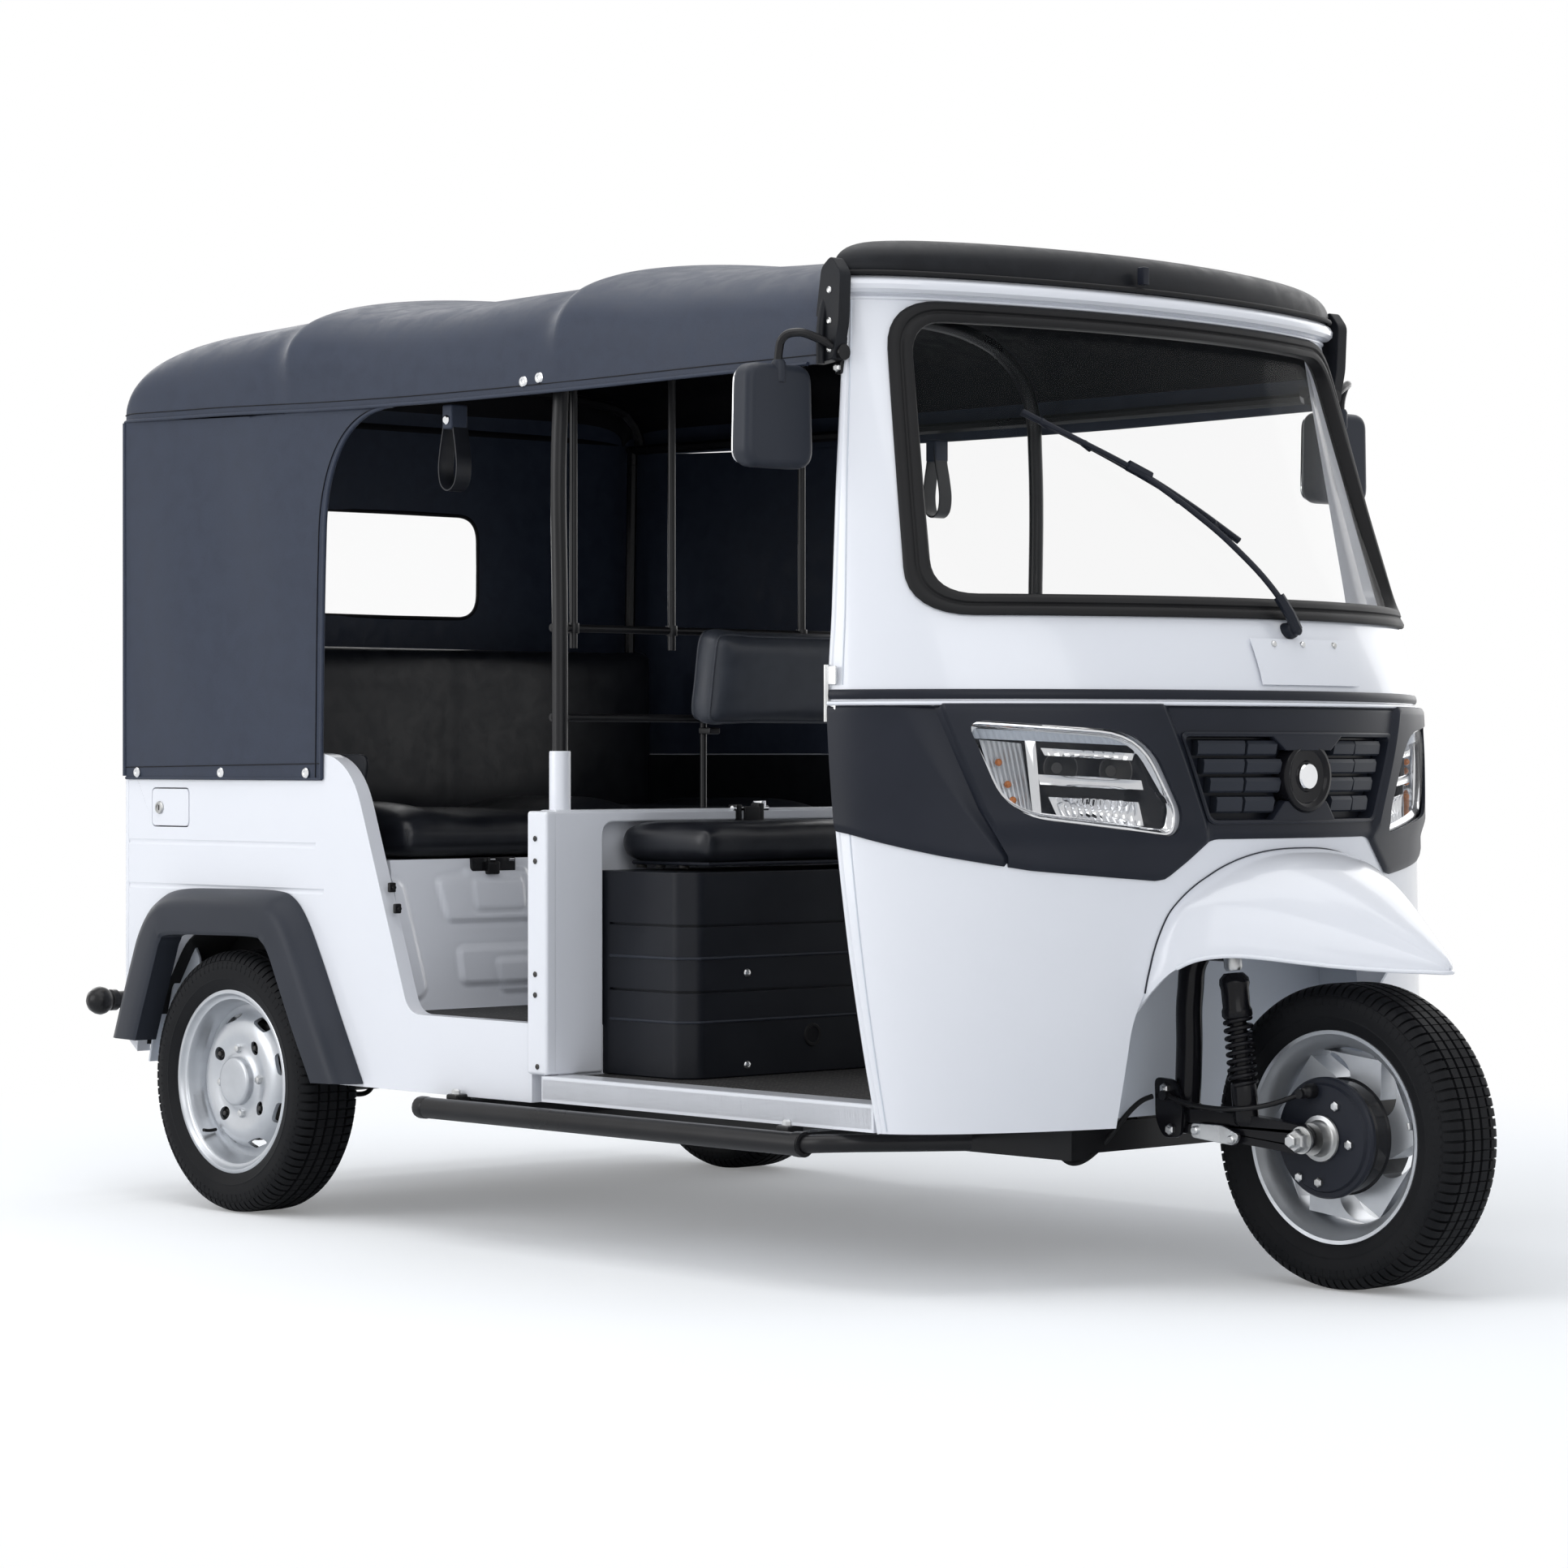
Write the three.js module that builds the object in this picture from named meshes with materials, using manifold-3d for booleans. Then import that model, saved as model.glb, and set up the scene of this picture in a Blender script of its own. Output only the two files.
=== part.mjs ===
// Electric passenger tricycle: open-sided three-wheeler with a vinyl canopy.
// Millimetres. +X is the front, +Y the left side, +Z up, and the ground is z = 0.
import * as THREE from 'three';
import { mergeVertices } from 'three/addons/utils/BufferGeometryUtils.js';
import Module from 'manifold-3d';

const wasm = await Module();
wasm.setup();

// ---- driving dimensions ----
const FRONT_AXLE_X = 1211;
const REAR_AXLE_X = -949;
const HALF_TRACK = 621;
const TYRE_RADIUS = 247;
const TYRE_HALF_WIDTH = 67;
const GAP = 0.3; // between pieces that touch

const BODY_HALF = 650; // outside of the rear side panels
const BODY_REAR = -1329; // outside of the tail panel
const FLOOR_Z = 298; // driver's floor
const REAR_FLOOR_Z = 390; // passengers' floor
const SILL_HALF = 662;
const SILL_BOTTOM = 262;
const BULKHEAD_X = -60; // middle of the panel behind the driver
const BULKHEAD_TOP = 765;
const WAIST_Z = 866; // top edge of the rear body
const BELT_Z = 958; // joint between the lower and the upper cab
const CAB_TOP = 1640;
const WALL = 32; // cab wall

const POST_X = -75; // side posts and the hoop over them
const POST_HALF = 600;
const POST_RADIUS = 14;
const TUBE_RADIUS = 11;
const BAR_RADIUS = 8;
const STEER_TILT = Math.atan(0.445); // steering axis leans back by this angle
const STEER_POINT = [1020, 0, 560]; // a point on the steering axis

// ---- materials ----
const paint = (color, roughness, metalness = 0) => ({ color, roughness, metalness });
const WHITE = paint(0xe4e9f0, 0.28);
const BLACK_PLASTIC = paint(0x1c1d20, 0.5);
const BLACK_METAL = paint(0x121316, 0.35, 0.6);
const VINYL = paint(0x33363d, 0.6);
const SEAT_VINYL = paint(0x17181b, 0.45);
const SILVER = paint(0xb9bec6, 0.35, 0.8);
const RUBBER = paint(0x101113, 0.8);
const CLEAR = paint(0xdfe8ee, 0.06);
const LAMP_RED = paint(0x9c1310, 0.25);

const group = new THREE.Group();

// ---- solids ----
function solid(geometry) {
  const bare = geometry.index ? geometry.clone() : geometry;
  bare.deleteAttribute('normal');
  bare.deleteAttribute('uv');
  const merged = mergeVertices(bare, 1e-3);
  return new wasm.Manifold(new wasm.Mesh({
    numProp: 3,
    vertProperties: new Float32Array(merged.attributes.position.array),
    triVerts: new Uint32Array(merged.index.array),
  }));
}

function add(name, shape, finish) {
  const { vertProperties, triVerts } = shape.getMesh();
  const geometry = new THREE.BufferGeometry();
  geometry.setAttribute('position', new THREE.BufferAttribute(Float32Array.from(vertProperties), 3));
  geometry.setIndex(new THREE.BufferAttribute(Uint32Array.from(triVerts), 1));
  geometry.computeVertexNormals();
  const mesh = new THREE.Mesh(geometry, new THREE.MeshStandardMaterial(finish));
  mesh.name = name;
  group.add(mesh);
}

const join = (shapes) => shapes.reduce((whole, shape) => whole.add(shape));
const cut = (shape, tools) => tools.reduce((rest, tool) => rest.subtract(tool), shape);
const SIDES = [-1, 1]; // right, left
const both = (build) => SIDES.map((side) => build(side));
const SIDE_NAME = { '-1': 'right', 1: 'left' };

// A block between two corners.
function block(x0, x1, y0, y1, z0, z1) {
  const shape = new THREE.BoxGeometry(x1 - x0, y1 - y0, z1 - z0);
  shape.translate((x0 + x1) / 2, (y0 + y1) / 2, (z0 + z1) / 2);
  return solid(shape);
}

// A block on one side of the vehicle, between two distances from its centre line.
function sideBlock(x0, x1, side, near, far, z0, z1) {
  return block(x0, x1, Math.min(side * near, side * far), Math.max(side * near, side * far), z0, z1);
}

function outline(points) {
  return new THREE.Shape(points.map(([a, b]) => new THREE.Vector2(a, b)));
}

// A shape drawn in X and Z, extruded from y0 to y1.
function slabXZ(shape, y0, y1, curveSegments = 5) {
  const options = { depth: Math.abs(y1 - y0), bevelEnabled: false, curveSegments };
  const geometry = new THREE.ExtrudeGeometry(shape, options);
  geometry.rotateX(Math.PI / 2);
  geometry.translate(0, Math.max(y0, y1), 0);
  return solid(geometry);
}

// A shape drawn in Y and Z, extruded from x0 to x1.
function slabYZ(shape, x0, x1, curveSegments = 5) {
  const options = { depth: x1 - x0, bevelEnabled: false, curveSegments };
  const geometry = new THREE.ExtrudeGeometry(shape, options);
  geometry.applyMatrix4(new THREE.Matrix4().set(0, 0, 1, x0, 1, 0, 0, 0, 0, 1, 0, 0, 0, 0, 0, 1));
  return solid(geometry);
}

// A shape drawn in X and Y, extruded from z0 to z1.
function slabXY(shape, z0, z1, curveSegments = 5) {
  const options = { depth: z1 - z0, bevelEnabled: false, curveSegments };
  const geometry = new THREE.ExtrudeGeometry(shape, options);
  geometry.translate(0, 0, z0);
  return solid(geometry);
}

// A polygon with its corners rounded: rows of [a, b, radius].
function roundedShape(rows) {
  const shape = new THREE.Shape();
  rows.forEach(([a, b, radius], i) => {
    const corner = new THREE.Vector2(a, b);
    const [pa, pb] = rows[(i + rows.length - 1) % rows.length];
    const [na, nb] = rows[(i + 1) % rows.length];
    const before = new THREE.Vector2(pa, pb).sub(corner).setLength(radius).add(corner);
    const after = new THREE.Vector2(na, nb).sub(corner).setLength(radius).add(corner);
    if (i === 0) shape.moveTo(before.x, before.y);
    else shape.lineTo(before.x, before.y);
    if (radius > 0) shape.quadraticCurveTo(a, b, after.x, after.y);
  });
  shape.closePath();
  return shape;
}

// A closed solid from its points and triangles, turned outward if they face in.
function closedSolid(positions, index) {
  const geometry = new THREE.BufferGeometry();
  geometry.setAttribute('position', new THREE.Float32BufferAttribute(positions, 3));
  geometry.setIndex(index);
  const shape = solid(geometry);
  if (shape.volume() > 0) return shape;
  const turnedIndex = index.slice();
  for (let i = 0; i < index.length; i += 3) [turnedIndex[i], turnedIndex[i + 1]] = [index[i + 1], index[i]];
  geometry.setIndex(turnedIndex);
  return solid(geometry);
}

// Triangles between neighbouring rings of equal point counts.
function ringWalls(rings) {
  const count = rings[0].length;
  const index = [];
  for (let r = 0; r + 1 < rings.length; r += 1) {
    for (let i = 0; i < count; i += 1) {
      const a = r * count + i;
      const b = r * count + ((i + 1) % count);
      index.push(a, b, b + count, a, b + count, a + count);
    }
  }
  return index;
}

// A skin over round rings, with a fan over each end.
function skin(rings) {
  const count = rings[0].length;
  const last = (rings.length - 1) * count;
  const index = ringWalls(rings);
  for (let i = 1; i + 1 < count; i += 1) index.push(0, i + 1, i, last, last + i, last + i + 1);
  return closedSolid(rings.flat(2), index);
}

// A skin over level rings (all one z) or upright rings (all one x), each a list of [x, y, z].
function loft(rings) {
  const count = rings[0].length;
  const last = (rings.length - 1) * count;
  const index = ringWalls(rings);
  const upright = Math.abs(rings[0][0][0] - rings[0][1][0]) < 1e-6;
  const flat = (ring) => ring.map(([x, y, z]) => new THREE.Vector2(upright ? y : x, upright ? z : y));
  THREE.ShapeUtils.triangulateShape(flat(rings[0]), []).forEach(([a, b, c]) => index.push(a, c, b));
  THREE.ShapeUtils.triangulateShape(flat(rings.at(-1)), []).forEach(([a, b, c]) => {
    index.push(last + a, last + b, last + c);
  });
  return closedSolid(rings.flat(2), index);
}

// A round bar between two points.
function rod(start, end, radius, segments = 14) {
  const a = new THREE.Vector3(...start);
  const b = new THREE.Vector3(...end);
  const shape = new THREE.CylinderGeometry(radius, radius, a.distanceTo(b), segments);
  const up = new THREE.Vector3(0, 1, 0);
  shape.applyQuaternion(new THREE.Quaternion().setFromUnitVectors(up, b.clone().sub(a).normalize()));
  shape.translate((a.x + b.x) / 2, (a.y + b.y) / 2, (a.z + b.z) / 2);
  return solid(shape);
}

function ball(centre, radius) {
  const shape = new THREE.SphereGeometry(radius, 12, 8);
  shape.translate(...centre);
  return solid(shape);
}

// A bent tube through the points, with a mitre at each bend.
function bentTube(points, radius, segments = 8) {
  const path = points.map((point) => new THREE.Vector3(...point));
  const runs = path.slice(1).map((point, i) => point.clone().sub(path[i]).normalize());
  let side = new THREE.Vector3(0.31, 0.27, 0.91).cross(runs[0]).normalize();
  const rings = path.map((point, i) => {
    const before = runs[Math.max(i - 1, 0)];
    const after = runs[Math.min(i, runs.length - 1)];
    const along = before.clone().add(after).normalize();
    side = side.sub(along.clone().multiplyScalar(side.dot(along))).normalize();
    const up = along.clone().cross(side);
    const mitre = 1 / Math.sqrt((1 + before.dot(after)) / 2);
    const bend = before.clone().cross(after);
    const hinge = bend.length() > 1e-6 ? bend.normalize().cross(along) : side;
    return Array.from({ length: segments }, (_, k) => {
      const angle = (2 * Math.PI * k) / segments;
      const spoke = side.clone().multiplyScalar(Math.cos(angle)).addScaledVector(up, Math.sin(angle));
      spoke.addScaledVector(hinge, spoke.dot(hinge) * (mitre - 1)).multiplyScalar(radius);
      return spoke.add(point).toArray();
    });
  });
  return skin(rings);
}

// A turned piece about an axle along Y: rows of [radius, distance along the axle], side outward.
function turned(rows, side, x, y, z, segments) {
  const points = rows.map(([radius, along]) => new THREE.Vector2(radius, along));
  const shape = new THREE.LatheGeometry(points, segments);
  if (side < 0) shape.rotateX(Math.PI);
  shape.translate(x, y, z);
  return closedSolid(Array.from(shape.attributes.position.array), Array.from(shape.index.array));
}

// ---- cab surface ----
// Plan of the cab at each height: rear edge x, half width there, x of the nose on the centre line.
const CAB_ROWS = [
  // z, rear x, half width, nose x
  [262, 788, 664, 1020],
  [400, 762, 672, 1052],
  [560, 733, 676, 1078],
  [770, 701, 676, 1100],
  [958, 686, 675, 1104],
  [1085, 684, 665, 1056],
  [1300, 664, 636, 940],
  [1500, 646, 606, 836],
  [1570, 640, 597, 800],
  [1640, 634, 590, 775],
];
const CAB_STEPS = 12; // plan points on each side of the nose

function cabRow(z) {
  const above = CAB_ROWS.findIndex((row) => row[0] >= z);
  const top = above < 0 ? CAB_ROWS.length - 1 : Math.max(above, 1);
  const upper = CAB_ROWS[top];
  const lower = CAB_ROWS[top - 1];
  const t = (z - lower[0]) / (upper[0] - lower[0]);
  return upper.map((value, i) => lower[i] + (value - lower[i]) * t);
}

// Half plan curve from the rear edge (t = 0) to the nose (t = 1), pushed out by offset.
function cabPoint(z, t, offset, side) {
  const [, rear, half, nose] = cabRow(z);
  const p = [[rear, half], [rear + 0.45 * (nose - rear), half - 22], [nose, 0.49 * half], [nose, 0]];
  const w = [(1 - t) ** 3, 3 * t * (1 - t) ** 2, 3 * t * t * (1 - t), t ** 3];
  const d = [-((1 - t) ** 2), (1 - t) * (1 - 3 * t), t * (2 - 3 * t), t * t];
  const sum = (weights, axis) => weights.reduce((total, weight, i) => total + weight * p[i][axis], 0);
  const length = Math.hypot(sum(d, 0), sum(d, 1));
  const normal = [-sum(d, 1) / length, sum(d, 0) / length];
  return [sum(w, 0) + normal[0] * offset, side * (sum(w, 1) + normal[1] * offset), z];
}

function cabRing(z, offset, behind) {
  const right = [];
  for (let i = 0; i <= CAB_STEPS; i += 1) right.push(cabPoint(z, i / CAB_STEPS, offset, -1));
  const left = right.slice(0, -1).reverse().map(([x, y]) => [x, -y, z]);
  const [x, y] = right[0];
  const open = behind > 0 ? [[x - behind, y, z], [x - behind, -y, z]] : [];
  return behind > 0 ? [open[0], ...right, ...left, open[1]] : [...right, ...left];
}

// The cab's volume between two heights, pushed out by offset and drawn back by behind.
function cabVolume(z0, z1, offset, behind = 0) {
  const rows = CAB_ROWS.map((row) => cabRing(row[0], offset, behind));
  const bottom = rows[0].map(([x, y]) => [x, y, CAB_ROWS[0][0] - 100]);
  const top = rows.at(-1).map(([x, y]) => [x, y, CAB_TOP + 100]);
  return loft([bottom, ...rows, top]).intersect(block(0, 1500, -900, 900, z0, z1));
}

// A skin that follows the cab between two offsets.
function cabSkin(z0, z1, inner, outer, mask) {
  const shell = cabVolume(z0, z1, outer).subtract(cabVolume(z0 - 1, z1 + 1, inner, 60));
  return mask ? shell.intersect(mask) : shell;
}

const bothSides = (half) => [...half, ...half.map(([y, z, r]) => [-y, z, r]).reverse()];

// Front outlines, in Y and Z with corner radii; the first half is the left side from low to high.
const GASKET_OUT = bothSides([[612, 1084, 70], [546, 1600, 75]]);
const GASKET_IN = bothSides([[580, 1117, 50], [516, 1567, 55]]);
const MASK_HALF = [[215, 727, 12], [296, 657, 20], [593, 692, 40], [720, 735, 0], [720, 944, 0]];
const LAMP_ROWS = [[579, 917, 18], [340, 895, 40], [262, 764, 18], [292, 730, 20], [525, 768, 30]];
const GRILLE_HALF = [[205, 752, 20], [262, 895, 16]];
const ARCH_HALF = [[322, 200, 0], [314, 440, 40], [262, 560, 50], [170, 668, 50]];

function frontPrism(rows, grow = 0) {
  const mean = (axis) => rows.reduce((total, row) => total + row[axis], 0) / rows.length;
  const middle = [mean(0), mean(1)];
  const grown = rows.map(([y, z, r]) => [
    y + Math.sign(y - middle[0]) * grow, z + Math.sign(z - middle[1]) * grow, r]);
  return slabYZ(roundedShape(grown), 560, 1420);
}

const lampRows = (side) => LAMP_ROWS.map(([y, z, r]) => [y * side, z, r]);

function buildCab() {
  const archHole = frontPrism(bothSides(ARCH_HALF));
  const lampHoles = both((side) => frontPrism(lampRows(side), 2));
  const grilleHole = frontPrism(bothSides(GRILLE_HALF), 2);
  const apron = cabSkin(SILL_BOTTOM, BELT_Z - GAP, -WALL, 0);
  add('nose_apron', cut(apron, [archHole, ...lampHoles, grilleHole]), WHITE);

  const upper = cabSkin(BELT_Z, CAB_TOP, -WALL, 0);
  const headerLip = cabSkin(1612, CAB_TOP, -WALL, 24);
  add('cab_upper', cut(upper.add(headerLip), [frontPrism(GASKET_OUT, GAP)]), WHITE);

  const gasketRing = frontPrism(GASKET_OUT).subtract(frontPrism(GASKET_IN));
  add('screen_gasket', cabSkin(1070, 1610, -WALL, 10, gasketRing), RUBBER);
  add('windscreen', cabSkin(1070, 1610, -18, -12, frontPrism(GASKET_IN, -GAP)), CLEAR);

  const mask = cabSkin(640, 945, GAP, 12, frontPrism(bothSides(MASK_HALF)));
  add('front_mask', cut(mask, [...lampHoles, grilleHole]), BLACK_PLASTIC);
  SIDES.forEach((side) => {
    add(`headlamp_${SIDE_NAME[side]}`, cabSkin(700, 940, -26, 9, frontPrism(lampRows(side))), CLEAR);
  });
  buildGrille();
}

// Centre panel: back plate, four louvres on each side, frame and a bare boss.
function buildGrille() {
  const field = frontPrism(bothSides(GRILLE_HALF));
  const parts = [cabSkin(745, 902, -24, -10, field)];
  for (let row = 0; row < 4; row += 1) {
    const z = 775 + row * 31;
    parts.push(cabSkin(z, z + 13, -12, 4, field));
  }
  const boss = new THREE.CylinderGeometry(42, 46, 44, 24);
  boss.rotateZ(-Math.PI / 2);
  boss.translate(1092, 0, 827);
  add('grille', join([...parts, solid(boss)]), BLACK_PLASTIC);
}

// ---- front mudguard: hood from the apron to its tip ----
const HOOD_ROWS = [
  // x, edge half width, edge z, crown z
  [1000, 302, 440, 704],
  [1066, 284, 514, 711],
  [1133, 232, 540, 703],
  [1211, 167, 533, 671],
  [1300, 94, 522, 614],
  [1365, 43, 517, 566],
  [1400, 8, 516, 532],
];
const HOOD_STEPS = 10;

function hoodRing([x, half, edge, crown], inset) {
  const ring = [];
  for (let i = 0; i <= HOOD_STEPS; i += 1) {
    const angle = (Math.PI * i) / HOOD_STEPS;
    const y = (half - inset) * Math.sign(Math.cos(angle)) * Math.abs(Math.cos(angle)) ** 0.8;
    const z = edge + (crown - edge - inset) * Math.sin(angle);
    ring.push([x, y, z]);
  }
  const floor = edge - (inset > 0 ? 60 : 0);
  return inset > 0 ? [...ring, [x, -(half - inset), floor], [x, half - inset, floor]] : ring;
}

function buildMudguard() {
  const outer = loft(HOOD_ROWS.map((row) => hoodRing(row, 0)));
  const innerRows = HOOD_ROWS.slice(0, -1).map((row, i) => (i === 0 ? [row[0] - 1, ...row.slice(1)] : row));
  const last = innerRows.at(-1);
  innerRows.push([1384, 22, last[2], 546]);
  const inner = loft(innerRows.map((row) => hoodRing(row, 9)));
  const hood = cut(outer, [inner, cabVolume(400, 800, GAP, 200)]);
  add('front_mudguard', hood, WHITE);
}

// ---- wheel well liner between the front wheel and the driver's feet ----
const WELL_BACK = 840;
const WELL_HALF = 352;
const WELL_TOP = 700;

const steerX = (z) => STEER_POINT[0] + (STEER_POINT[2] - z) * Math.tan(STEER_TILT);

function buildWheelWell() {
  const outer = block(WELL_BACK, 1120, -WELL_HALF, WELL_HALF, SILL_BOTTOM, WELL_TOP);
  const inner = block(WELL_BACK + 14, 1130, -WELL_HALF + 14, WELL_HALF - 14, 100, WELL_TOP - 14);
  const hole = rod([steerX(600), 0, 600], [steerX(760), 0, 760], 34, 20);
  const well = cut(outer.intersect(cabVolume(SILL_BOTTOM, 800, -WALL - GAP, 60)), [inner, hole]);
  add('wheel_well', well, WHITE);
}

// ---- chassis ----
const RAIL_Y = 250;
const HEAD_Z = 772; // middle of the steering head tube
const SPRING_Y = 400;
const SPRING_TOP = 300;

const FRAME_SPLIT_X = -622; // joint between the two frames

// The main frame, level, and the rear frame, which rises over the axle.
function buildChassis() {
  const rail = (points, side) => slabXZ(outline(points), side * (RAIL_Y - 22), side * (RAIL_Y + 22));
  const mainRail = [[FRAME_SPLIT_X, 196], [838, 196], [838, 256], [FRAME_SPLIT_X, 256]];
  const mainRails = both((side) => rail(mainRail, side));
  const mainRibs = [-560, -60, 420, 802].map((x) => block(x, x + 36, -RAIL_Y, RAIL_Y, 206, 256));
  const outriggers = [-300, 560].flatMap((x) => (
    both((side) => sideBlock(x, x + 40, side, RAIL_Y, 640, 216, 250))));
  add('chassis_frame', join([...mainRails, ...mainRibs, ...outriggers]), BLACK_METAL);

  const rise = FRAME_SPLIT_X - GAP;
  const rearRails = both((side) => rail([[-1300, 318], [-745, 318], [rise, 196], [rise, 256], [-715, 378],
    [-1300, 378]], side));
  const rearRibs = [-1300, -1140].map((x) => block(x, x + 36, -RAIL_Y, RAIL_Y, 330, 370));
  const hangers = both((side) => join([
    sideBlock(-1250, -1210, side, RAIL_Y, SPRING_Y + 26, 330, 360),
    sideBlock(-1250, -1210, side, SPRING_Y - 26, SPRING_Y + 26, SPRING_TOP + GAP, 360),
    sideBlock(-700, -664, side, RAIL_Y, SPRING_Y + 26, SPRING_TOP + GAP, 326)]));
  add('rear_frame', join([...rearRails, ...rearRibs, ...hangers]), BLACK_METAL);
}

// Uprights and head tube that carry the steering, on the front cross member.
function buildSteeringNeck() {
  const [back, front] = [806, WELL_BACK - 6];
  const uprights = both((side) => (
    block(back, front, side * 90 - 18, side * 90 + 18, 256 + GAP, HEAD_Z + 16)));
  const foot = block(back, front, -108, 108, 256 + GAP, 280);
  const bridge = block(back, front, -100, 100, HEAD_Z - 20, HEAD_Z + 16);
  const arms = block(820, steerX(HEAD_Z) - 30, -40, 40, HEAD_Z - 18, HEAD_Z + 14);
  const head = rod([steerX(HEAD_Z - 50), 0, HEAD_Z - 50], [steerX(HEAD_Z + 50), 0, HEAD_Z + 50], 40, 20);
  const bore = rod([steerX(HEAD_Z - 90), 0, HEAD_Z - 90], [steerX(HEAD_Z + 90), 0, HEAD_Z + 90], 29, 20);
  add('steering_neck', join([...uprights, foot, bridge, arms, head]).subtract(bore), BLACK_METAL);
}

// ---- floor with its step and the front sills ----
function buildFloor() {
  const rear = block(-552, BULKHEAD_X + 16, -618, 618, REAR_FLOOR_Z - 14, REAR_FLOOR_Z);
  const step = block(BULKHEAD_X + 2, BULKHEAD_X + 16, -618, 618, FLOOR_Z - 14, REAR_FLOOR_Z);
  const front = block(BULKHEAD_X + 2, 740, -618, 618, FLOOR_Z - 14, FLOOR_Z);
  const cabFloor = block(730, WELL_BACK - GAP, -700, 700, FLOOR_Z - 14, FLOOR_Z)
    .intersect(cabVolume(SILL_BOTTOM, 400, -WALL - GAP, 120));
  const sills = both((side) => (
    sideBlock(BULKHEAD_X + 10, 774, side, 598, SILL_HALF, SILL_BOTTOM, FLOOR_Z + 8)));
  const outside = join(sills).subtract(cabVolume(250, 420, GAP));
  const neckRoom = block(805, 900, -109, 109, 200, 400);
  add('floor_pan', join([rear, step, front, cabFloor, outside]).subtract(neckRoom), WHITE);
}

// ---- bulkhead behind the driver ----
function buildBulkhead() {
  const bottom = REAR_FLOOR_Z + GAP;
  const panel = block(BULKHEAD_X - 12, BULKHEAD_X + 12, -640, 640, bottom, BULKHEAD_TOP);
  const rail = block(BULKHEAD_X - 20, BULKHEAD_X + 22, -640, 640, BULKHEAD_TOP - 26, BULKHEAD_TOP);
  const flanges = both((side) => (
    sideBlock(BULKHEAD_X - 30, BULKHEAD_X + 24, side, 622, 662, bottom, BULKHEAD_TOP)));
  add('bulkhead', join([panel, rail, ...flanges]), WHITE);
}

// ---- rear body ----
const ARCH_OPENING = [[-1300, 240], [-1300, 318], [-1150, 526], [-866, 530], [-784, 486], [-672, 240]];
const FLARE = [[-1345, 312], [-1262, 530], [-1212, 580], [-1130, 602], [-820, 606], [-738, 549], [-572, 262],
  [-668, 262], [-792, 506], [-842, 526], [-1143, 520], [-1238, 312]];

function rearSideShape() {
  const shape = new THREE.Shape();
  shape.moveTo(BODY_REAR + GAP, 306);
  shape.lineTo(-1260, 256);
  shape.lineTo(BULKHEAD_X - 31, 256);
  shape.lineTo(BULKHEAD_X - 31, REAR_FLOOR_Z + 5);
  shape.lineTo(-412, REAR_FLOOR_Z + 5);
  shape.quadraticCurveTo(-440, REAR_FLOOR_Z + 7, -448, 415);
  shape.lineTo(-582, 770);
  shape.quadraticCurveTo(-612, 862, -710, WAIST_Z);
  shape.lineTo(BODY_REAR + GAP, WAIST_Z);
  shape.closePath();
  return shape;
}

function archStrip(grow) {
  return outline(ARCH_OPENING.map(([x, z]) => {
    const dx = x < REAR_AXLE_X ? -grow : grow;
    return [x + (z < 300 ? dx : dx * 0.8), z < 300 ? z : z + grow * 0.7];
  }));
}

function buildRearSides() {
  SIDES.forEach((side) => {
    const name = SIDE_NAME[side];
    const outer = side * BODY_HALF;
    const panel = slabXZ(rearSideShape(), outer, outer - side * 30);
    const opening = slabXZ(archStrip(0), side * 530, side * 720);
    const housing = slabXZ(archStrip(14), side * 500, outer - side * 4)
      .subtract(block(-1400, -600, -800, 800, 0, 300));
    const hollow = slabXZ(archStrip(0), side * 512, side * 720);
    let body = cut(panel.subtract(opening).add(housing), [hollow]);
    if (side < 0) body = body.subtract(block(-1252, -1122, -651, -622, 722, 802));
    add(`rear_side_${name}`, body, WHITE);

    add(`arch_flare_${name}`, slabXZ(outline(FLARE), outer + side * GAP, outer + side * 50), BLACK_PLASTIC);
  });
  const tail = block(BODY_REAR - 14, BODY_REAR, -BODY_HALF, BODY_HALF, 306, WAIST_Z);
  add('tail_panel', tail, WHITE);
  SIDES.forEach((side) => {
    const [near, far] = [side * 520, side * 620];
    const lamp = roundedShape([[near, 700, 16], [far, 700, 16], [far, 820, 16], [near, 820, 16]]);
    add(`tail_lamp_${SIDE_NAME[side]}`, slabYZ(lamp, BODY_REAR - 44, BODY_REAR - 14 - GAP), LAMP_RED);
  });
}

// Lid over the charging socket, hinged at its front edge.
function buildChargeLid() {
  const lid = roundedShape([[-1246, 728, 10], [-1128, 728, 10], [-1128, 796, 10], [-1246, 796, 10]]);
  add('charge_lid', slabXZ(lid, -652, -640), WHITE);
}

// ---- roof frame ----
// Half section of the canopy: share of the half width, share of the rise from the edge to the shoulder.
const CANOPY_HALF = [[1, 0], [0.997, 0.3], [0.972, 0.62], [0.93, 0.86], [0.87, 1]];
const CANOPY_ROWS = [
  // x, edge z, shoulder z, crown z, half width
  [-1343, 1512, 1540, 1552, 636],
  [-1334, 1514, 1590, 1606, 650],
  [-1304, 1514, 1628, 1650, 655],
  [-1240, 1512, 1655, 1690, 657],
  [-1040, 1508, 1664, 1714, 657],
  [-850, 1503, 1668, 1722, 657],
  [-790, 1501, 1692, 1742, 658],
  [-700, 1498, 1676, 1730, 657],
  [-400, 1492, 1666, 1718, 657],
  [-90, 1490, 1670, 1724, 657],
  [-10, 1490, 1692, 1742, 658],
  [90, 1490, 1674, 1728, 657],
  [350, 1492, 1660, 1712, 652],
  [632, 1494, 1652, 1702, 640],
];

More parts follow.
